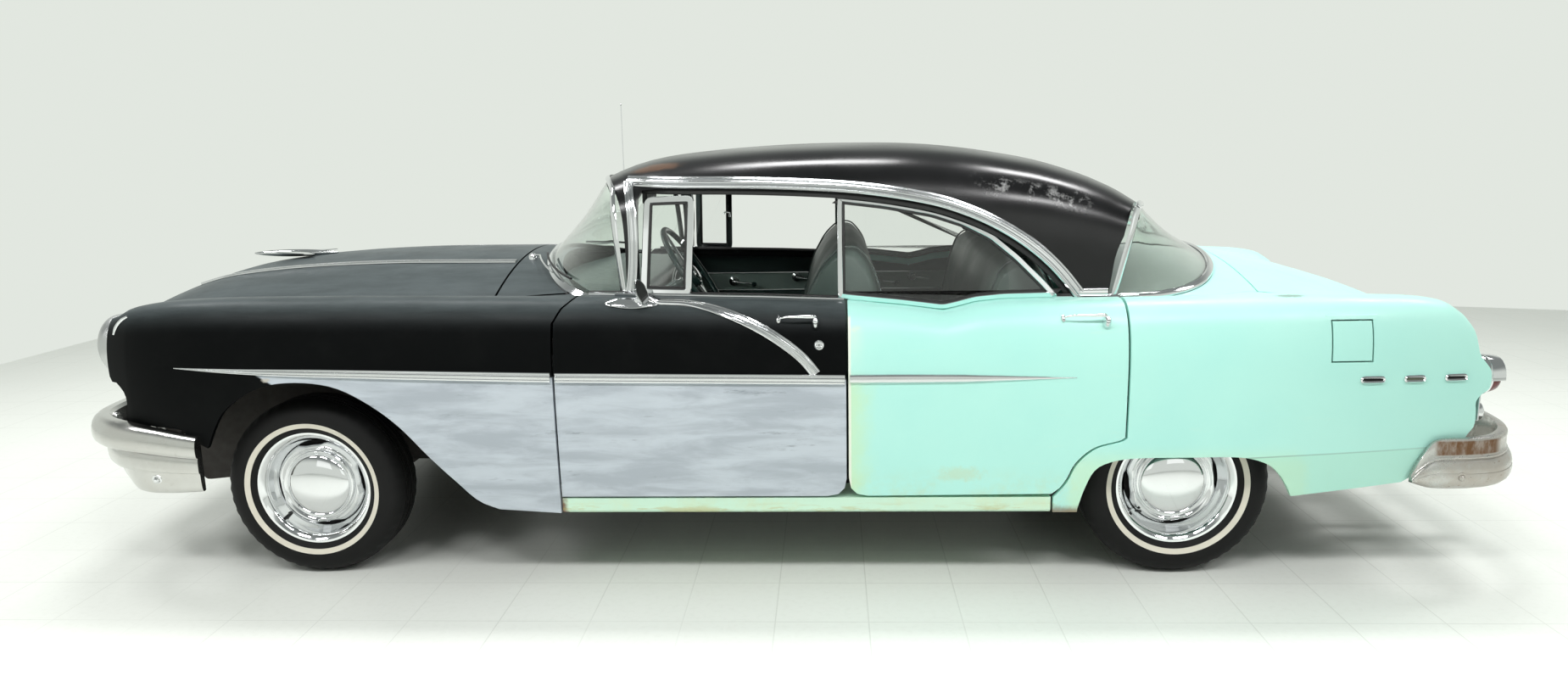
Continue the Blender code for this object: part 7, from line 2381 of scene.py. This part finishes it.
def small_pieces():
    base_z = surface_z(ANTENNA_X, ANTENNA_Y) + ANTENNA_SEAT
    profile = [(r * ANTENNA_RADIUS, d * (ANTENNA_TOP - base_z)) for r, d in AERIAL]
    mast = turned("mast", profile, (ANTENNA_X, ANTENNA_Y, base_z), 20, trim_chrome, "Z")
    dress(mast, "aerial", BODY, ("antenna",))
    for hand, word in HANDS:
        pivot_y = hand * PIVOT_Y
        x = screen_foot_x(pivot_y) - 0.075
        pivot = Vector((x, pivot_y, deck_z(x, pivot_y) + 0.004))
        knob = turned("knob", WIPER_PIVOT, tuple(pivot), 24, trim_chrome, "Z")
        dress(knob, "wiper_pivot_" + word, BODY)
        arm, blade = [], []
        for k in range(12):
            t = k / 11
            y = pivot_y + hand * 0.30 * t
            x = screen_foot_x(y) - 0.045 + 0.018 * t
            arm.append(Vector((x, y, deck_z(x, y) + 0.020 + 0.028 * t)))
        arm[0] = pivot + Vector((0, 0, 0.012))
        dress(tube("arm", arm, 0.0038, 10, trim_chrome), "wiper_arm_" + word, BODY)
        for k in range(14):
            t = k / 13
            y = hand * (0.30 + 0.36 * t)
            foot_x = screen_foot_x(y)
            blade.append(Vector((foot_x - 0.012 + 0.01 * t, y, deck_z(foot_x, y) + 0.034 + 0.022 * t)))
        dress(tube("blade", blade, 0.0045, 8, black_rubber), "wiper_blade_" + word, BODY)


# Wheels and tyres, made about their own centres, their profiles in tyre radii
TYRE_PROFILE = (
    (0.5826, 0.1966), (0.600, 0.2090), (0.6268, 0.2216), (0.640, 0.2400), (0.6646, 0.2683), (0.690, 0.2850),
    (0.720, 0.3000), (0.750, 0.3090), (0.7774, 0.3125), (0.810, 0.3120), (0.845, 0.3070), (0.875, 0.2970),
    (0.9024, 0.2835), (0.930, 0.2650), (0.952, 0.2440), (0.9700, 0.2200), (0.982, 0.1960), (0.9900, 0.1780),
)
TREAD_PROFILE = (
    (0.9955, 0.160), (0.9985, 0.142), (0.9760, 0.140), (0.9760, 0.128), (0.9995, 0.126), (1.000, 0.090),
    (0.9760, 0.088), (0.9760, 0.074), (1.000, 0.072), (1.000, 0.024), (0.9760, 0.022), (0.9760, 0.000),
)
CREAM_LINE = ((0.7010, 0.2930), (0.7015, 0.2955), (0.7560, 0.3118), (0.7565, 0.3090))
RIM_PROFILE = (
    (0.6390, 0.2530), (0.6440, 0.2480), (0.6420, 0.2410), (0.6240, 0.2270), (0.5980, 0.2130),
    (0.5840, 0.2012), (0.5808, 0.1850), (0.5808, 0.1372), (0.5420, 0.1000), (0.5122, 0.0610),
    (0.5122, -0.0610), (0.5420, -0.1000), (0.5808, -0.1372), (0.5808, -0.2012), (0.6250, -0.2256),
    (0.6250, -0.2439), (0.6000, -0.2400), (0.5625, -0.2195), (0.5400, -0.1600), (0.5100, -0.0900),
    (0.4939, -0.0671), (0.4939, 0.0427), (0.4990, 0.0620), (0.5120, 0.0800), (0.5280, 0.1020),
    (0.5420, 0.1300), (0.5520, 0.1640), (0.5600, 0.1900), (0.5700, 0.2120), (0.5840, 0.2290),
    (0.6150, 0.2510),
)
DISC_PROFILE = (
    (0.3400, 0.0980), (0.3800, 0.1010), (0.4000, 0.1050), (0.4140, 0.1170), (0.4270, 0.1290),
    (0.4420, 0.1330), (0.4570, 0.1260), (0.4700, 0.1090), (0.4810, 0.0860), (0.4900, 0.0640),
    (0.4930, 0.0480), (0.4860, 0.0440), (0.4720, 0.0700), (0.4590, 0.0930), (0.4400, 0.1010),
    (0.4120, 0.0890), (0.3800, 0.0800), (0.3400, 0.0760),
)
WELL_PROFILE = ((0.0, -0.02), (0.492, 0.015), (0.492, 0.030), (0.0, 0.0))
CAP_EDGE = (
    (0.3660, 0.1190), (0.3780, 0.1165), (0.3860, 0.1090), (0.3830, 0.1020), (0.3500, 0.0990), (0.0, 0.0990),
)
DISC_TURN = math.radians(8)


def on_wheel(profile, hand, count, finish, name, centre, body, nodes=()):
    """A turned part of a wheel."""
    shape = [(r * TYRE_RADIUS, d * TYRE_RADIUS * hand) for r, d in profile]
    piece = turned("turned", shape, (0, 0, 0), count, finish)
    piece.location = centre
    dress(piece, name, body, nodes)


def tyre(name, hand, centre, body, node_name):
    half = TYRE_PROFILE + TREAD_PROFILE
    profile = [(r, d) for r, d in half] + [(r, -d) for r, d in reversed(half[:-1])]
    rings = []
    for k, (c, s) in enumerate(circle(180)):
        ring = []
        for r, d in profile:
            if 0.93 < r < 0.996 and abs(d) > 0.155 and k % 4 < 2:
                r -= 0.010 * (1 - abs(r - 0.968) / 0.04)
            rr = r * TYRE_RADIUS
            ring.append((rr * c, d * TYRE_RADIUS * hand, rr * s))
        rings.append(ring)
    piece = loft(name, rings, rubber, closed=True)
    piece.location = centre
    dress(piece, name, body, (node_name,))
    on_wheel(CREAM_LINE, hand, 128, cream_rubber, name + "_cream_ring", centre, body)


def wheel(name, hand, centre, body, node_name):
    """Plated steel rim, a centre whose four flats leave slots at the rim, and a half-moon cap."""
    on_wheel(RIM_PROFILE, hand, 96, wheel_chrome, name + "_rim", centre, body, (node_name,))
    rings = []
    steps = 96
    for k in range(steps):
        a = 2 * math.pi * k / steps + DISC_TURN
        c, s = math.cos(a), math.sin(a)
        flat = max(0.0, abs(math.cos(2 * (a - DISC_TURN))) - 0.72) / 0.28
        ring = []
        for r, d in DISC_PROFILE:
            pull = 0.030 * flat * flat * (3 - 2 * flat) * max(0.0, min(1.0, (r - 0.415) / 0.06))
            rr = (r - pull) * TYRE_RADIUS
            ring.append((rr * c, d * TYRE_RADIUS * hand, rr * s))
        rings.append(ring)
    disc = loft("disc", rings, wheel_chrome, closed=True)
    disc.location = centre
    dress(disc, name + "_disc", body)
    # a near-black disc behind the disc's slots: painted shade inside the wheel
    on_wheel(WELL_PROFILE, hand, 64, recess_shade, name + "_well", centre, body)
    turns = [math.pi / 2 * k / 22 for k in range(23)]
    dome = [(0.3620 * math.sin(t), 0.1250 + 0.1010 * math.cos(t)) for t in turns]
    on_wheel([*dome, *CAP_EDGE], hand, 96, wheel_chrome, name + "_cap", centre, body)
    a = math.radians(222 if hand < 0 else -42)
    at = Vector((math.cos(a) * 0.500, 0.100 * hand, math.sin(a) * 0.500)) * TYRE_RADIUS
    tip = Vector((math.cos(a) * 0.468, 0.185 * hand, math.sin(a) * 0.468)) * TYRE_RADIUS
    stem = tube("stem", [at, at.lerp(tip, 0.6), tip], 0.0048, 14, black_rubber)
    stem.location = centre
    dress(stem, name + "_valve", body)


SHIELD_LINE = (
    (-2.27, 0.86), (-2.27, 0.55), (-2.335, 0.40), (-2.335, 0.245), (-2.02, 0.275), (-1.92, 0.50),
    (-1.50, 0.50), (-1.42, 0.34), (-1.05, 0.34), (-1.05, 0.86),
)
SHIELD_Y, SHIELD_SHEET = 0.471, 0.006


def splash_shields():
    for hand, word in HANDS:
        piece = prism("shield", softened(SHIELD_LINE, 0.030, 4), 0.0, SHIELD_SHEET, underside)
        piece.location.y = hand * SHIELD_Y - SHIELD_SHEET / 2
        dress(piece, "splash_shield_" + word, BODY)


def running_gear():
    splash_shields()
    for end, x in (("front", FRONT_AXLE_X), ("rear", REAR_AXLE_X)):
        for hand, word in HANDS:
            centre = (x, hand * TRACK / 2, AXLE_Z)
            body = "%s_%s_wheel" % (end, word)
            tyre("road_tyre_%s_%s" % (end, word), hand, centre, body, "tyre_%s_%s" % (end, word))
            wheel("road_wheel_%s_%s" % (end, word), hand, centre, body, "wheel_%s_%s" % (end, word))


# Cabin
def middle_of(points):
    return Vector((sum(p[0] for p in points) / len(points), sum(p[1] for p in points) / len(points)))


def cushion(outline, half, finish, pleat=0.0, columns=36):
    """A stuffed seat from its side outline, fuller in the middle and rounded at its ends."""
    base = softened(outline, 0.040, 5)
    middle = middle_of(base)
    rings = []
    for k in range(columns):
        u = across(k, columns)
        y = u * half
        fall = (1 - abs(u) ** 8) ** 0.5 if abs(u) < 1 else 0
        seam = math.exp(-((abs(y) - half * 0.48) / 0.010) ** 2) * pleat
        ring = []
        for p in base:
            q = middle + (Vector(p) - middle) * (0.90 + 0.10 * fall - seam)
            ring.append((q.x, y, q.y))
        rings.append(ring)
    return loft("cushion", rings, finish)


def cabin_seats():
    for name, table, half, node_name in (
        ("front_bench", FRONT_SEAT_SHARES, FRONT_SEAT_HALF, "front_seat"),
        ("rear_bench", REAR_SEAT_SHARES, REAR_SEAT_HALF, "rear_seat"),
    ):
        seat = cushion(side(table), half, seat_vinyl, pleat=0.012)
        dress(seat, name, BODY, (node_name,))
        points = softened(side(table), 0.040, 5)
        middle = middle_of(points)
        for hand, word in HANDS:
            path, outs = [], []
            for px, pz in points:
                x, z = middle.x + (px - middle.x) * 0.992, middle.y + (pz - middle.y) * 0.992
                path.append(Vector((x, hand * (half - 0.055), z)))
                outs.append(Vector((x - middle.x, hand * 0.03, z - middle.y)).normalized())
            piping = moulding("piping", path, outs, 0.009, 0.005, HALF_ROUND, seat_cloth, closed=True)
            dress(piping, "%s_piping_%s" % (name, word), BODY)


def inner_y(inside, z, last=None):
    """How far out a door's inner line is at height z."""
    for (y0, z0), (y1, z1) in zip(inside, inside[1:]):
        if min(z0, z1) <= z <= max(z0, z1):
            return y0 + (y1 - y0) * (z - z0) / ((z1 - z0) or 1)
    return last


def card(low_x, high_x, low_z, high_z, door, finish, out=0.004):
    """A trimmed panel that follows the inner skin of a door between two heights."""
    rows = []
    y = None
    for x in stations(low_x, high_x, 26):
        inside = door_inner(x, side_section(x, True), *door)
        line = []
        for z in stations(low_z, min(high_z, belt_z(x) - 0.034), 14):
            y = inner_y(inside, z, y)
            line.append(Vector((x, -(y - out), z)))
        rows.append(line)
    inner = [[p + Vector((0, -out + 0.0005, 0)) for p in row] for row in rows]
    return shell("card", rows, inner, finish)


ROSE = ((0, 0), (0.026, 0), (0.024, 0.006), (0.012, 0.012), (0.010, 0.022), (0, 0.022))
CRANK_KNOB = ((0, 0), (0.008, 0), (0.013, 0.012), (0.012, 0.026), (0.006, 0.034), (0, 0.034))
REST = ((-0.13, 0.655), (0.13, 0.665), (0.13, 0.700), (-0.13, 0.690))


def door_inside(name, low_x, high_x, door, bodies, crank_x, opener_x):
    """The cards, beads, crank, opener and arm rest of one pair of doors."""
    for word, low_z, high_z, finish, out in (
        ("card", 0.42, 0.795, door_vinyl, 0.004),
        ("band", 0.800, 0.885, door_band, 0.006),
        ("top", 0.890, 0.99, dash_paint, 0.004),
    ):
        both(card(low_x, high_x, low_z, high_z, door, finish, out), "%s_door_%s" % (name, word), bodies)
    y = None
    for z in (0.7975, 0.8875):
        path = []
        for x in stations(low_x, high_x, 40):
            y = inner_y(door_inner(x, side_section(x, True), *door), z, y)
            path.append(Vector((x, -(y - 0.006), z)))
        strip = moulding("bead", path, Vector((0, 1, 0)), 0.008, 0.004, HALF_ROUND, trim_chrome)
        both(strip, "%s_door_bead_%d" % (name, int(z * 1000)), bodies)
    for label, x, z, length in (("crank", crank_x, 0.845, 0.105), ("opener", opener_x, 0.865, 0.080)):
        y = inner_y(door_inner(x, side_section(x, True), *door), z, y)
        base = Vector((x, -(y - 0.006), z))
        rose = turned_at(ROSE, 28, trim_chrome, Matrix.Translation(base), "Y")
        both(rose, "%s_door_%s_rose" % (name, label), bodies)
        ends = [
            base + Vector(step)
            for step in ((0, 0.018, 0), (length * 0.3, 0.030, -0.004), (length, 0.026, -0.012))
        ]
        both(tube("arm", ends, 0.0055, 12, trim_chrome), "%s_door_%s_arm" % (name, label), bodies)
        if label == "crank":
            knob = turned_at(CRANK_KNOB, 20, wheel_plastic, Matrix.Translation(ends[-1]), "Y")
            both(knob, name + "_door_crank_knob", bodies)
    rest_x = (low_x + high_x) / 2 + 0.05
    pad = cushion([(rest_x + x, z) for x, z in REST], 0.028, door_vinyl, columns=12)
    inside = door_inner(rest_x, side_section(rest_x, True), *door)
    y = min(p[0] for p in inside if 0.6 < p[1] < 0.75) - 0.026
    pad.data.transform(Matrix.Translation((0, -y, 0)))
    both(pad, name + "_door_rest", bodies)


def door_insides():
    front_end, start = DOOR_MIDDLE_X - DOOR_GAP / 2, DOOR_MIDDLE_X + DOOR_GAP / 2
    front = (DOOR_FRONT_X, front_end)
    door_inside("front", DOOR_FRONT_X + 0.05, front_end - 0.03, front, FRONT_DOORS, -0.30, 0.02)
    door_inside("rear", start + 0.03, 0.99, (start, DOOR_REAR_X), REAR_DOORS, 0.42, 0.60)


COLLAR = ((0.026, -0.02), (0.034, -0.016), (0.036, 0.0), (0.034, 0.016), (0.026, 0.02))
DIALS = ((-0.37, 0.066), (-0.235, 0.040), (-0.505, 0.040), (0.02, 0.034), (0.43, 0.040))
DIAL_RIM = ((0.86, -0.05), (1.0, -0.05), (1.04, 0.10), (1.0, 0.20), (0.92, 0.22), (0.86, 0.12))
DIAL_FACE = ((0, -0.05), (0.9, -0.05), (0.9, 0.05), (0, 0.06))
INSIDE_MIRROR = ((-0.012, -0.028), (0.010, -0.030), (0.012, 0.030), (-0.010, 0.028))


def dashboard_piece():
    columns = 41
    profile = smooth_path([(x, 0, z) for x, z in side(DASH_SHARES)], 26)
    outer = []
    for i in range(len(profile) + 1):
        line = []
        for j in range(columns):
            u = across(j, columns)
            y = u * (COWL_HALF_WIDTH - DASH_SIDE)
            if i == 0:
                x = screen_foot(u * (1 - OVERRUN / 2))[0] + COWL_LAP + WINDOW_GAP
                x = min(x, profile[0].x - SHEET)
                line.append((x, y, min(deck_z(x, y), profile[0].z + DOOR_LIP) - SHEET / 2))
            else:
                p = profile[i - 1]
                line.append((p.x, y, p.z))
        outer.append(line)
    dress(thickened("dash_panel", outer, SHEET, dash_paint), "dash_panel", BODY, ("dashboard",))
    steering_column()
    dials(profile[14])
    path = [Vector((profile[20].x + 0.001, y, profile[20].z)) for y in stations(-0.66, 0.66, 40)]
    strip = moulding("strip", path, BACK, 0.014, 0.006, HALF_ROUND, trim_chrome)
    dress(strip, "dash_strip", BODY)
    holder = Vector((-0.60, 0.0, 1.345))
    rear_view = cushion(INSIDE_MIRROR, 0.115, black_rubber, columns=20)
    rear_view.data.transform(Matrix.Translation(holder + Vector((0.035, 0, -0.02))))
    dress(rear_view, "inside_mirror", BODY)
    line = [holder + Vector(step) for step in ((0, 0, 0.060), (0.012, 0, 0.02), (0.028, 0, -0.012))]
    dress(tube("stalk", line, 0.005, 12, trim_chrome), "inside_mirror_stalk", BODY)


def steering_column():
    axis = steering_axis()
    hub = Vector((STEERING_X, STEERING_Y, STEERING_Z))
    path = [hub - axis * (COLUMN_START + COLUMN_LENGTH * k / 5) for k in range(6)]
    dress(tube("column", path, COLUMN_RADIUS, 28, wheel_plastic), "steering_column", BODY)
    collar_turn = Matrix.Translation(hub - axis * 0.20) @ facing(axis, "Y")
    dress(turned_at(COLLAR, 28, trim_chrome, collar_turn), "column_collar", BODY)
    path = [
        hub - axis * down + Vector(step)
        for down, step in ((0.11, (0, 0, 0)), (0.11, (0.0, 0.09, 0.05)), (0.115, (0.01, 0.16, 0.085)))
    ]
    dress(tube("lever", path, 0.0055, 12, trim_chrome), "column_lever", BODY)


def dials(face):
    tilt = facing(Vector((1, 0, 0.12)).normalized(), "Y")
    for k, (y, r) in enumerate(DIALS):
        turn = Matrix.Translation((face.x + 0.001, y, face.z)) @ tilt
        dress(turned_at(scaled(DIAL_RIM, r), 40, trim_chrome, turn), "dash_dial_rim_%d" % k, BODY)
        finish = white_face if k < 3 else dash_paint
        dress(turned_at(scaled(DIAL_FACE, r), 40, finish, turn), "dash_dial_%d" % k, BODY)
        outline = [(-0.003, -0.2 * r), (0.003, -0.2 * r), (0.001, 0.75 * r), (-0.001, 0.75 * r)]
        needle = prism("needle", outline, 0, 0.001, red_paint)
        turn = turn @ Matrix.Translation((0, 0, 0.004))
        turn = turn @ Matrix.Rotation(math.radians(40 + 50 * k), 4, "Z")
        needle.data.transform(turn @ Matrix.Rotation(math.radians(90), 4, "X"))
        dress(needle, "dash_needle_%d" % k, BODY)


STEERING_BOSS = (
    (0, -0.36), (0.10, -0.36), (0.11, -0.20), (0.17, -0.17), (0.22, -0.14), (0.245, -0.08),
    (0.24, -0.02), (0.20, 0.03), (0, 0.03),
)
HORN_BUTTON = ((0, 0.03), (0.165, 0.03), (0.160, 0.055), (0.12, 0.075), (0, 0.085))


def steering_spoke(hand):
    rings = []
    for k in range(10):
        t = k / 9
        y = hand * (0.03 + (0.985 * STEERING_RADIUS - 0.03) * t)
        half = (0.020 - 0.009 * t) if t < 0.8 else 0.011 + 0.006 * (t - 0.8) / 0.2
        rings.append([(c * half, y, -0.010 + 0.006 * t + s * 0.0055) for c, s in circle(12)])
    return loft("spoke", rings, trim_chrome)


def steering_piece():
    turn = Matrix.Translation((STEERING_X, STEERING_Y, STEERING_Z)) @ facing(steering_axis(), "Y")
    grip = [(STEERING_RADIUS + STEERING_GRIP * c, STEERING_GRIP * s) for c, s in circle(16)]
    ring = [(0.128 + 0.0042 * c, -0.018 + 0.0042 * s) for c, s in circle(10)]
    boss, button = scaled(STEERING_BOSS, STEERING_RADIUS), scaled(HORN_BUTTON, STEERING_RADIUS)
    for name, profile, count, finish, nodes in (
        ("steering_rim", grip, 96, wheel_plastic, ("steering_wheel",)),
        ("horn_ring", ring, 72, chrome, ()),
        ("steering_boss", boss, 40, wheel_plastic, ()),
        ("horn_button", button, 36, chrome, ()),
    ):
        dress(turned_at(profile, count, finish, turn), name, "steering", nodes)
    for k, hand in ((2, -1), (1, 1)):
        spoke = steering_spoke(hand)
        spoke.data.transform(turn)
        dress(spoke, "steering_spoke_%d" % k, "steering")


def inward(p):
    """The way from a point of the roof to the middle of the cabin."""
    return (Vector((p.x, 0, 1.0)) - p).normalized()


def under_roof(s, t, low, drop):
    """A point drop below the roof's sheet, t from -1 to 1 across, down to low degrees."""
    p = roof_point(s, 90 - (90 - low) * abs(t), -1 if t < 0 else 1)
    return p + inward(p) * (ROOF_SHEET + drop)


def floor_top(outline, x):
    """The height of the floor's upper side at x."""
    found = [0.0]
    for (x0, z0), (x1, z1) in zip(outline, outline[1:] + outline[:1]):
        if min(x0, x1) <= x <= max(x0, x1) and x0 != x1:
            found.append(z0 + (z1 - z0) * (x - x0) / (x1 - x0))
    return max(found)


def cabin_linings():
    outer = []
    for s in stations(0.05, 0.80, 22):
        outer.append([under_roof(s, 2 * k / 30 - 1, 42, 0.004) for k in range(31)])
    dress(thickened("lining", outer, 0.003, headlining), "roof_lining", BODY)
    for k, s in enumerate((0.22, 0.38, 0.54, 0.70)):
        path = [under_roof(s, 2 * j / 24 - 1, 44, 0.008) for j in range(25)]
        seam = moulding("seam", path, [inward(p) for p in path], 0.012, 0.003, HALF_ROUND, headlining)
        dress(seam, "roof_lining_seam_%d" % k, BODY)
    outer = []
    for x in stations(1.06, BACKLIGHT_FOOT_X + BACKLIGHT_SWEEP - 0.012, 26):
        share = (x - BACKLIGHT_FOOT_X) / BACKLIGHT_SWEEP
        half = GLASS_HALF_WIDTH - ROOF_SHEET - 0.004
        if share > 0:
            curve = max(1 - share**BACKLIGHT_POWER, 0) ** (1 / BACKLIGHT_POWER)
            half = min((GLASS_HALF_WIDTH - WINDOW_GAP) * curve - 0.004, half)
        half = max(half, 0.05)
        outer.append([Vector((x, half * u, deck_z(x, half * u) + 0.006)) for u in stations(-1, 1, 25)])
    dress(thickened("parcel_shelf", outer, 0.004, shelf_cloth), "parcel_shelf", BODY)
    outline = side(FLOOR_SHARES)
    outer = []
    for x in stations(-0.98, 0.98, 60):
        z = floor_top(outline, x) + 0.007
        outer.append([Vector((x, y, z)) for y in stations(-0.72, 0.72, 12)])
    dress(thickened("carpet", outer, 0.005, carpet), "carpet", BODY)


# Finishes of the nodes that stay
def dress_nodes():
    for name, finish in (
        ("chassis_frame", underside), ("floor_pan", underside), ("driveline", cast), ("rear_axle", cast),
        ("knuckle_left", cast), ("knuckle_right", cast), ("fuel_tank", underside), ("exhaust", rusty_pipe),
        ("rocker_left", rocker_paint), ("rocker_right", mint_paint), ("tail_panel", mint_paint),
    ):
        obj = frame["nodes"][name]
        obj.data.materials.clear()
        obj.data.materials.append(finish)
        if name.startswith(("rocker", "tail")):
            rounded_edges(obj, 0.004, 2)


paint_panels()
fine_hood()
fine_lid()
fine_roof()
fine_cowl()
fine_rear_deck()
fine_glass()
screen_bright_work()
drip_bright_work()
tail_foot_bright_work()
door_bright_work()
belt_strips()
side_windows()
door_fittings()
mirror_piece()
front_lamps()
tail_lamps()
wing_dashes()
bumpers()
grille_piece()
hood_bright_work()
small_pieces()
running_gear()
cabin_seats()
door_insides()
dashboard_piece()
steering_piece()
cabin_linings()
dress_nodes()


# Camera, set where the picture was taken
CAMERA_AT = (0.191, -4.394, 1.544)
CAMERA_YAW, CAMERA_PITCH, CAMERA_ROLL = -0.046, 0.192, -0.018
LENS, SENSOR = 23.99, 36.0


def camera():
    level = math.cos(CAMERA_PITCH)
    ahead = Vector((math.sin(CAMERA_YAW) * level, math.cos(CAMERA_YAW) * level, -math.sin(CAMERA_PITCH)))
    right = Vector((math.cos(CAMERA_YAW), -math.sin(CAMERA_YAW), 0))
    above = right.cross(ahead)
    right_turned = right * math.cos(CAMERA_ROLL) + above * math.sin(CAMERA_ROLL)
    up_turned = above * math.cos(CAMERA_ROLL) - right * math.sin(CAMERA_ROLL)
    lens = bpy.data.cameras.new("camera")
    lens.lens = LENS
    lens.sensor_width = SENSOR
    lens.clip_start = 0.02
    eye = bpy.data.objects.new("camera", lens)
    turn = Matrix((right_turned, up_turned, -ahead)).transposed().to_4x4()
    eye.matrix_world = Matrix.Translation(CAMERA_AT) @ turn
    bpy.context.scene.collection.objects.link(eye)
    bpy.context.scene.camera = eye


# A pale studio: tiled floor, plain walls, rows of soft lamps overhead
FLOOR_LOW, FLOOR_HIGH = (0.80, 0.82, 0.775), (0.86, 0.88, 0.835)
TILE = 0.305
FLOOR_EDGE = (
    (-6.3, -9.0), (9.0, -9.0), (9.0, 4.0), (6.8, 4.6), (5.6, 5.0), (0.0, 5.35), (-6.1, 5.1), (-6.0, 4.2),
)
LAMP_ROW = (-4.4, -2.2, 0.0, 2.2, 4.4)
LAMP_NEAR, LAMP_OVER, LAMP_FILL = 45.0, 50.0, 8.0
WORLD_LIGHT = 0.40


def floor_finish():
    made, tree, shader, where = start_material("studio_floor")
    lines = []
    for value in axes(tree, where)[:2]:
        step = calc(tree, "FRACT", calc(tree, "DIVIDE", value, TILE))
        away = calc(tree, "MINIMUM", step, calc(tree, "SUBTRACT", 1.0, step))
        lines.append(spread(tree, away, 0.010, 0.003))
    worn = spread(tree, noise(tree, where, 0.7, 3.0), 0.35, 0.60, 0.15, 0.75)
    seam = times(tree, calc(tree, "MAXIMUM", *lines), worn)
    dots = {"Vector": where, "Scale": 55.0, "Randomness": 0.0}
    studs = node(tree, "ShaderNodeTexVoronoi", dots).outputs["Distance"]
    colour = blend_colour(tree, noise(tree, where, 0.9, 5.0), rgba(FLOOR_LOW), rgba(FLOOR_HIGH))
    grain = spread(tree, noise(tree, where, 45.0, 3.0), 0.45, 0.7)
    colour = tinted(tree, colour, grain, 0.10, (0.62, 0.64, 0.58))
    colour = tinted(tree, colour, seam, 0.40, (0.36, 0.37, 0.33))
    put(tree, shader, base_color=colour, roughness=0.42)
    shader.inputs["Specular IOR Level"].default_value = 0.35
    bump(tree, shader, calc(tree, "SUBTRACT", studs, times(tree, seam, 1.2)), 0.10, 0.002)
    return made


def studio():
    mesh = bpy.data.meshes.new("studio_floor")
    mesh.from_pydata([(x, y, 0) for x, y in FLOOR_EDGE], [], [tuple(range(len(FLOOR_EDGE)))])
    floor = new_object("studio_floor", mesh, floor_finish())


def lamp(name, place_at, size, size_y, power, aim):
    light = bpy.data.lights.new(name, "AREA")
    light.shape = "RECTANGLE"
    light.size = size
    light.size_y = size_y
    light.energy = power
    made = bpy.data.objects.new(name, light)
    made.location = place_at
    made.rotation_euler = (Vector(aim) - Vector(place_at)).to_track_quat("-Z", "Y").to_euler()
    bpy.context.scene.collection.objects.link(made)


def lights():
    for k, x in enumerate(LAMP_ROW):
        lamp("near_lamp_%d" % k, (x, -3.6, 4.2), 1.3, 0.5, LAMP_NEAR, (x * 0.6, 0, 0.5))
        lamp("over_lamp_%d" % k, (x, 0.6, 4.25), 1.3, 0.6, LAMP_OVER, (x, 0.6, 0))
    lamp("front_fill", (-3.0, -7.5, 2.6), 3.0, 2.2, LAMP_FILL, (-0.5, 0, 0.6))
    lamp("rear_fill", (3.5, -7.5, 2.6), 3.0, 2.2, LAMP_FILL, (0.5, 0, 0.6))


def world():
    """Soft light from above, with pale walls for what the camera and the plating see."""
    made = bpy.data.worlds.new("studio")
    made.use_nodes = True
    tree = made.node_tree
    tree.nodes.clear()
    out = node(tree, "ShaderNodeOutputWorld")
    path = node(tree, "ShaderNodeLightPath")
    seen = plus(tree, path.outputs["Is Camera Ray"], path.outputs["Is Glossy Ray"])
    seen = calc(tree, "ADD", seen, path.outputs["Is Transmission Ray"], clamp=True)
    way = node(tree, "ShaderNodeTexCoord").outputs["Generated"]
    up = node(tree, "ShaderNodeSeparateXYZ", {0: way}).outputs[2]
    strength = spread(tree, up, 0.0, 0.8, WORLD_LIGHT * 0.15, WORLD_LIGHT * 1.6)
    soft = node(tree, "ShaderNodeBackground", {"Color": rgba((0.95, 1.0, 0.95)), "Strength": strength})
    low, high = rgba((0.76, 0.80, 0.745)), rgba((0.25, 0.27, 0.26))
    wall = blend_colour(tree, spread(tree, up, 0.25, 0.60), low, high)
    back = node(tree, "ShaderNodeBackground", {"Color": wall, "Strength": 1.0})
    mix = node(tree, "ShaderNodeMixShader", {0: seen, 1: soft.outputs[0], 2: back.outputs[0]})
    tree.links.new(mix.outputs[0], out.inputs["Surface"])
    bpy.context.scene.world = made


camera()
studio()
lights()
world()
bpy.context.scene.view_settings.view_transform = "Standard"
